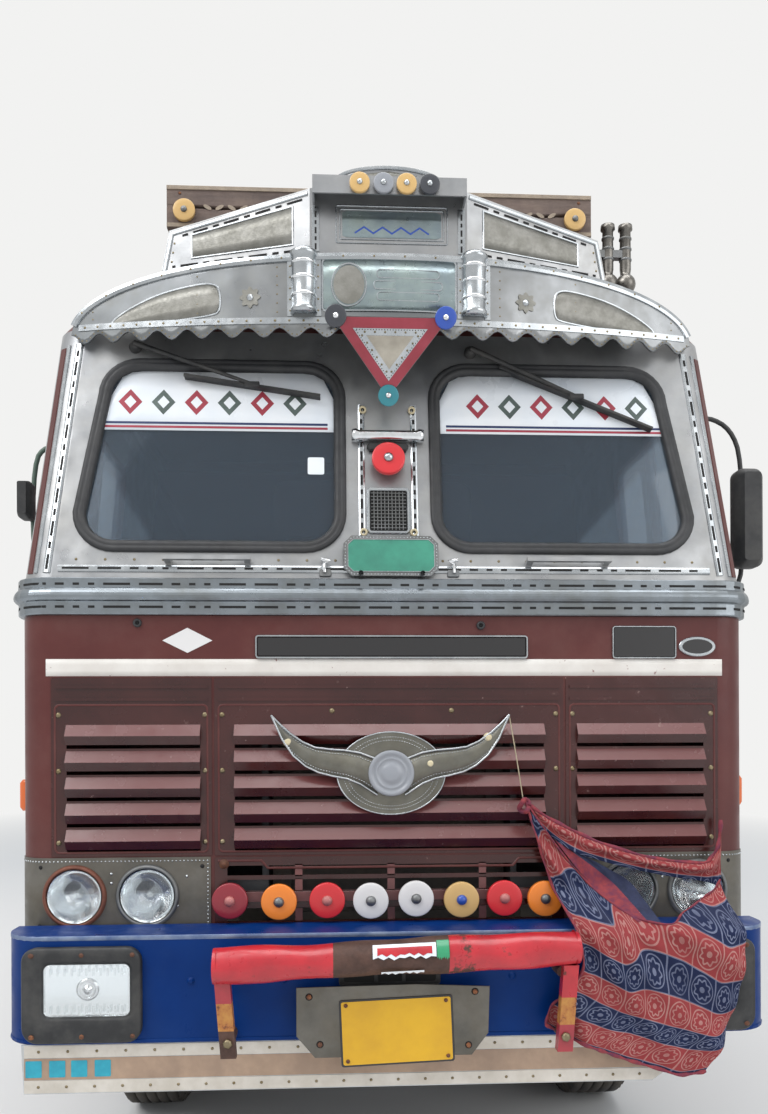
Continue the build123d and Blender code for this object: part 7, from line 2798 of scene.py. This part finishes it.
@dataclass(frozen=True)
class Studio:
    """Plain pale floor and backdrop, soft light, and the camera where the photograph was taken."""

    place: tuple[float, float, float] = (-0.19, -7.52, 1.62)
    yaw: float = 3.06  # degrees to the truck's left
    roll: float = 0.25
    lens: float = 31.35
    shift: float = 0.166
    paper: str = "e9e8e6"
    pale: str = "f2f2f1"  # what shows behind the floor
    sky: str = "dfe6ee"  # the light from all round

    def floor(self) -> None:
        """Make the floor; behind it the pale world shows."""
        mesh = bpy.data.meshes.new("studio_floor")
        mesh.from_pydata([Vector((x, y, 0)) for x, y in rectangle(-60, -60, 60, 60)], [], [(0, 1, 2, 3)])
        mesh.materials.append(self.backdrop())
        placed("studio_floor", mesh)

    def backdrop(self) -> bpy.types.Material:
        """Make the floor's paper: it takes the truck's shadow, and far off it is as pale as the backdrop.

        Returns:
            The material.
        """
        made, tree = blank("paper_backdrop_pale")
        place = add_node(tree, "TexCoord", out="Object")
        settings = {"Vector": place, "Location": (0.0, -0.27, 0.0), "Scale": (0.15, 0.09, 1.0)}
        scaled = add_node(tree, "Mapping", settings)
        away = add_node(tree, "VectorMath", {"operation": "LENGTH", 0: scaled}, "Value")
        share = add_node(tree, "MapRange", {"Value": away, "From Min": 0.7, "From Max": 1.6})
        near = add_node(tree, "BsdfDiffuse", {"Color": self.paper})
        far = add_node(tree, "Emission", {"Color": self.pale, "Strength": 1.0})
        mixed = add_node(tree, "MixShader", {0: share, 1: near, 2: far})
        add_node(tree, "OutputMaterial", {"Surface": mixed})
        return made

    def lights(self) -> None:
        """Set three large soft lamps round the cab's front."""
        for name, place, aim, size, watts in (
            ("key", (-9.0, -11.0, 13.0), (0.0, -3.0, 1.6), 8.0, 1350.0),
            ("fill", (10.0, -13.0, 6.0), (0.0, -3.0, 1.6), 10.0, 600.0),
            ("top", (1.0, -5.5, 13.0), (0.0, -2.5, 1.0), 8.0, 800.0),
        ):
            lamp = bpy.data.lights.new(name, "AREA")
            lamp.size, lamp.energy = size, watts
            made = placed(name, lamp)
            made.location = place
            made.rotation_euler = (Vector(aim) - Vector(place)).to_track_quat("-Z", "Y").to_euler()

    def world(self) -> None:
        """Set an even pale world: plain where it is seen or mirrored, a little darker where it lights."""
        world = bpy.data.worlds.new("studio")
        bpy.context.scene.world = world
        world.use_nodes = True
        tree = world.node_tree
        tree.nodes.clear()
        seen = add_node(tree, "LightPath", out="Is Camera Ray")
        for kind in ("Is Glossy Ray", "Is Transmission Ray"):
            ray = add_node(tree, "LightPath", out=kind)
            seen = add_node(tree, "Math", {"operation": "MAXIMUM", 0: seen, 1: ray})
        soft = add_node(tree, "Background", {"Color": self.sky, "Strength": 0.7})
        plain = add_node(tree, "Background", {"Color": self.pale, "Strength": 1.0})
        add_node(tree, "OutputWorld", {"Surface": add_node(tree, "MixShader", {0: seen, 1: soft, 2: plain})})

    def camera(self) -> None:
        """Stand the camera where the photograph was taken, its shift for the photograph's framing."""
        data = bpy.data.cameras.new("camera")
        data.lens, data.sensor_width, data.sensor_fit = self.lens, 36.0, "AUTO"
        data.shift_y = self.shift
        data.clip_end = 200.0
        made = placed("camera", data)
        made.location = self.place
        made.rotation_euler = (pi / 2, radians(self.roll), -radians(self.yaw))
        bpy.context.scene.camera = made

    def build(self) -> None:
        """Make the floor, the light and the camera."""
        self.floor()
        self.lights()
        self.world()
        self.camera()
        bpy.context.scene.view_settings.view_transform = "Standard"


# CAD nodes that show as they are


@dataclass(frozen=True)
class PlainNodes:
    """Finishes of the CAD nodes whose shape is shown as it is."""

    finishes: tuple[tuple[Finish, str], ...] = (
        (CHASSIS, "chassis_rails cross_members rear_underrun front_axle_beam rear_axles radiator mudguards"),
        (CHASSIS, "knuckle_left knuckle_right"),
        (SPRING, "leaf_springs"),
        (CAST, "engine_block driveline"),
        (RUST, "exhaust"),
        (TANK, "side_tanks"),
        (BLUE, "front_bumper"),
        (ALUMINIUM, "bumper_skirt"),
        (BLACK, "dashboard"),
        (OLIVE_STEEL, "headlamp_panels"),
        (MAROON, "cowl_panel cab_rear_shell cab_roof door_left door_right"),
        (MAROON_CHIPPED_SHADED_LIT, "grilles"),
        # painted light: the paler stainless keeps the frame and crown bright in the visor's shade
        (STAINLESS_PAINTED_LIT, "windscreen_frame roof_crown"),
        (GLASS, "windscreen_glass door_glass_left door_glass_right"),
        (CAB_GREY, "cab_floor"),
        (SEAT, "cab_seats"),
        (DECK, "load_floor"),
        (BODY, "load_walls tailgate"),
    )

    def build(self) -> None:
        """Give each of these nodes its material."""
        for finish, names in self.finishes:
            for name in names.split():
                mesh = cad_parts[name].data
                mesh.materials.clear()
                mesh.materials.append(finish.build())


def main() -> None:
    """Build the truck's visible pieces in order."""
    logging.basicConfig(level=logging.INFO, format="%(message)s")
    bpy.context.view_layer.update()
    for part in (
        PlainNodes(), BeltRail(), CowlDress(), Visor(), Crown(), Ornament(), RollerDiscs(), Windscreens(),
        Triangle(), BullBar(), BumperDress(), Lamps(), LampCloth(), Wipers(), Running(), Mirrors(), Rack(),
        SideDress(), Studio(),
    ):
        part.build()
        log.info("built %s", type(part).__name__)


if __name__ == "__main__":
    main()
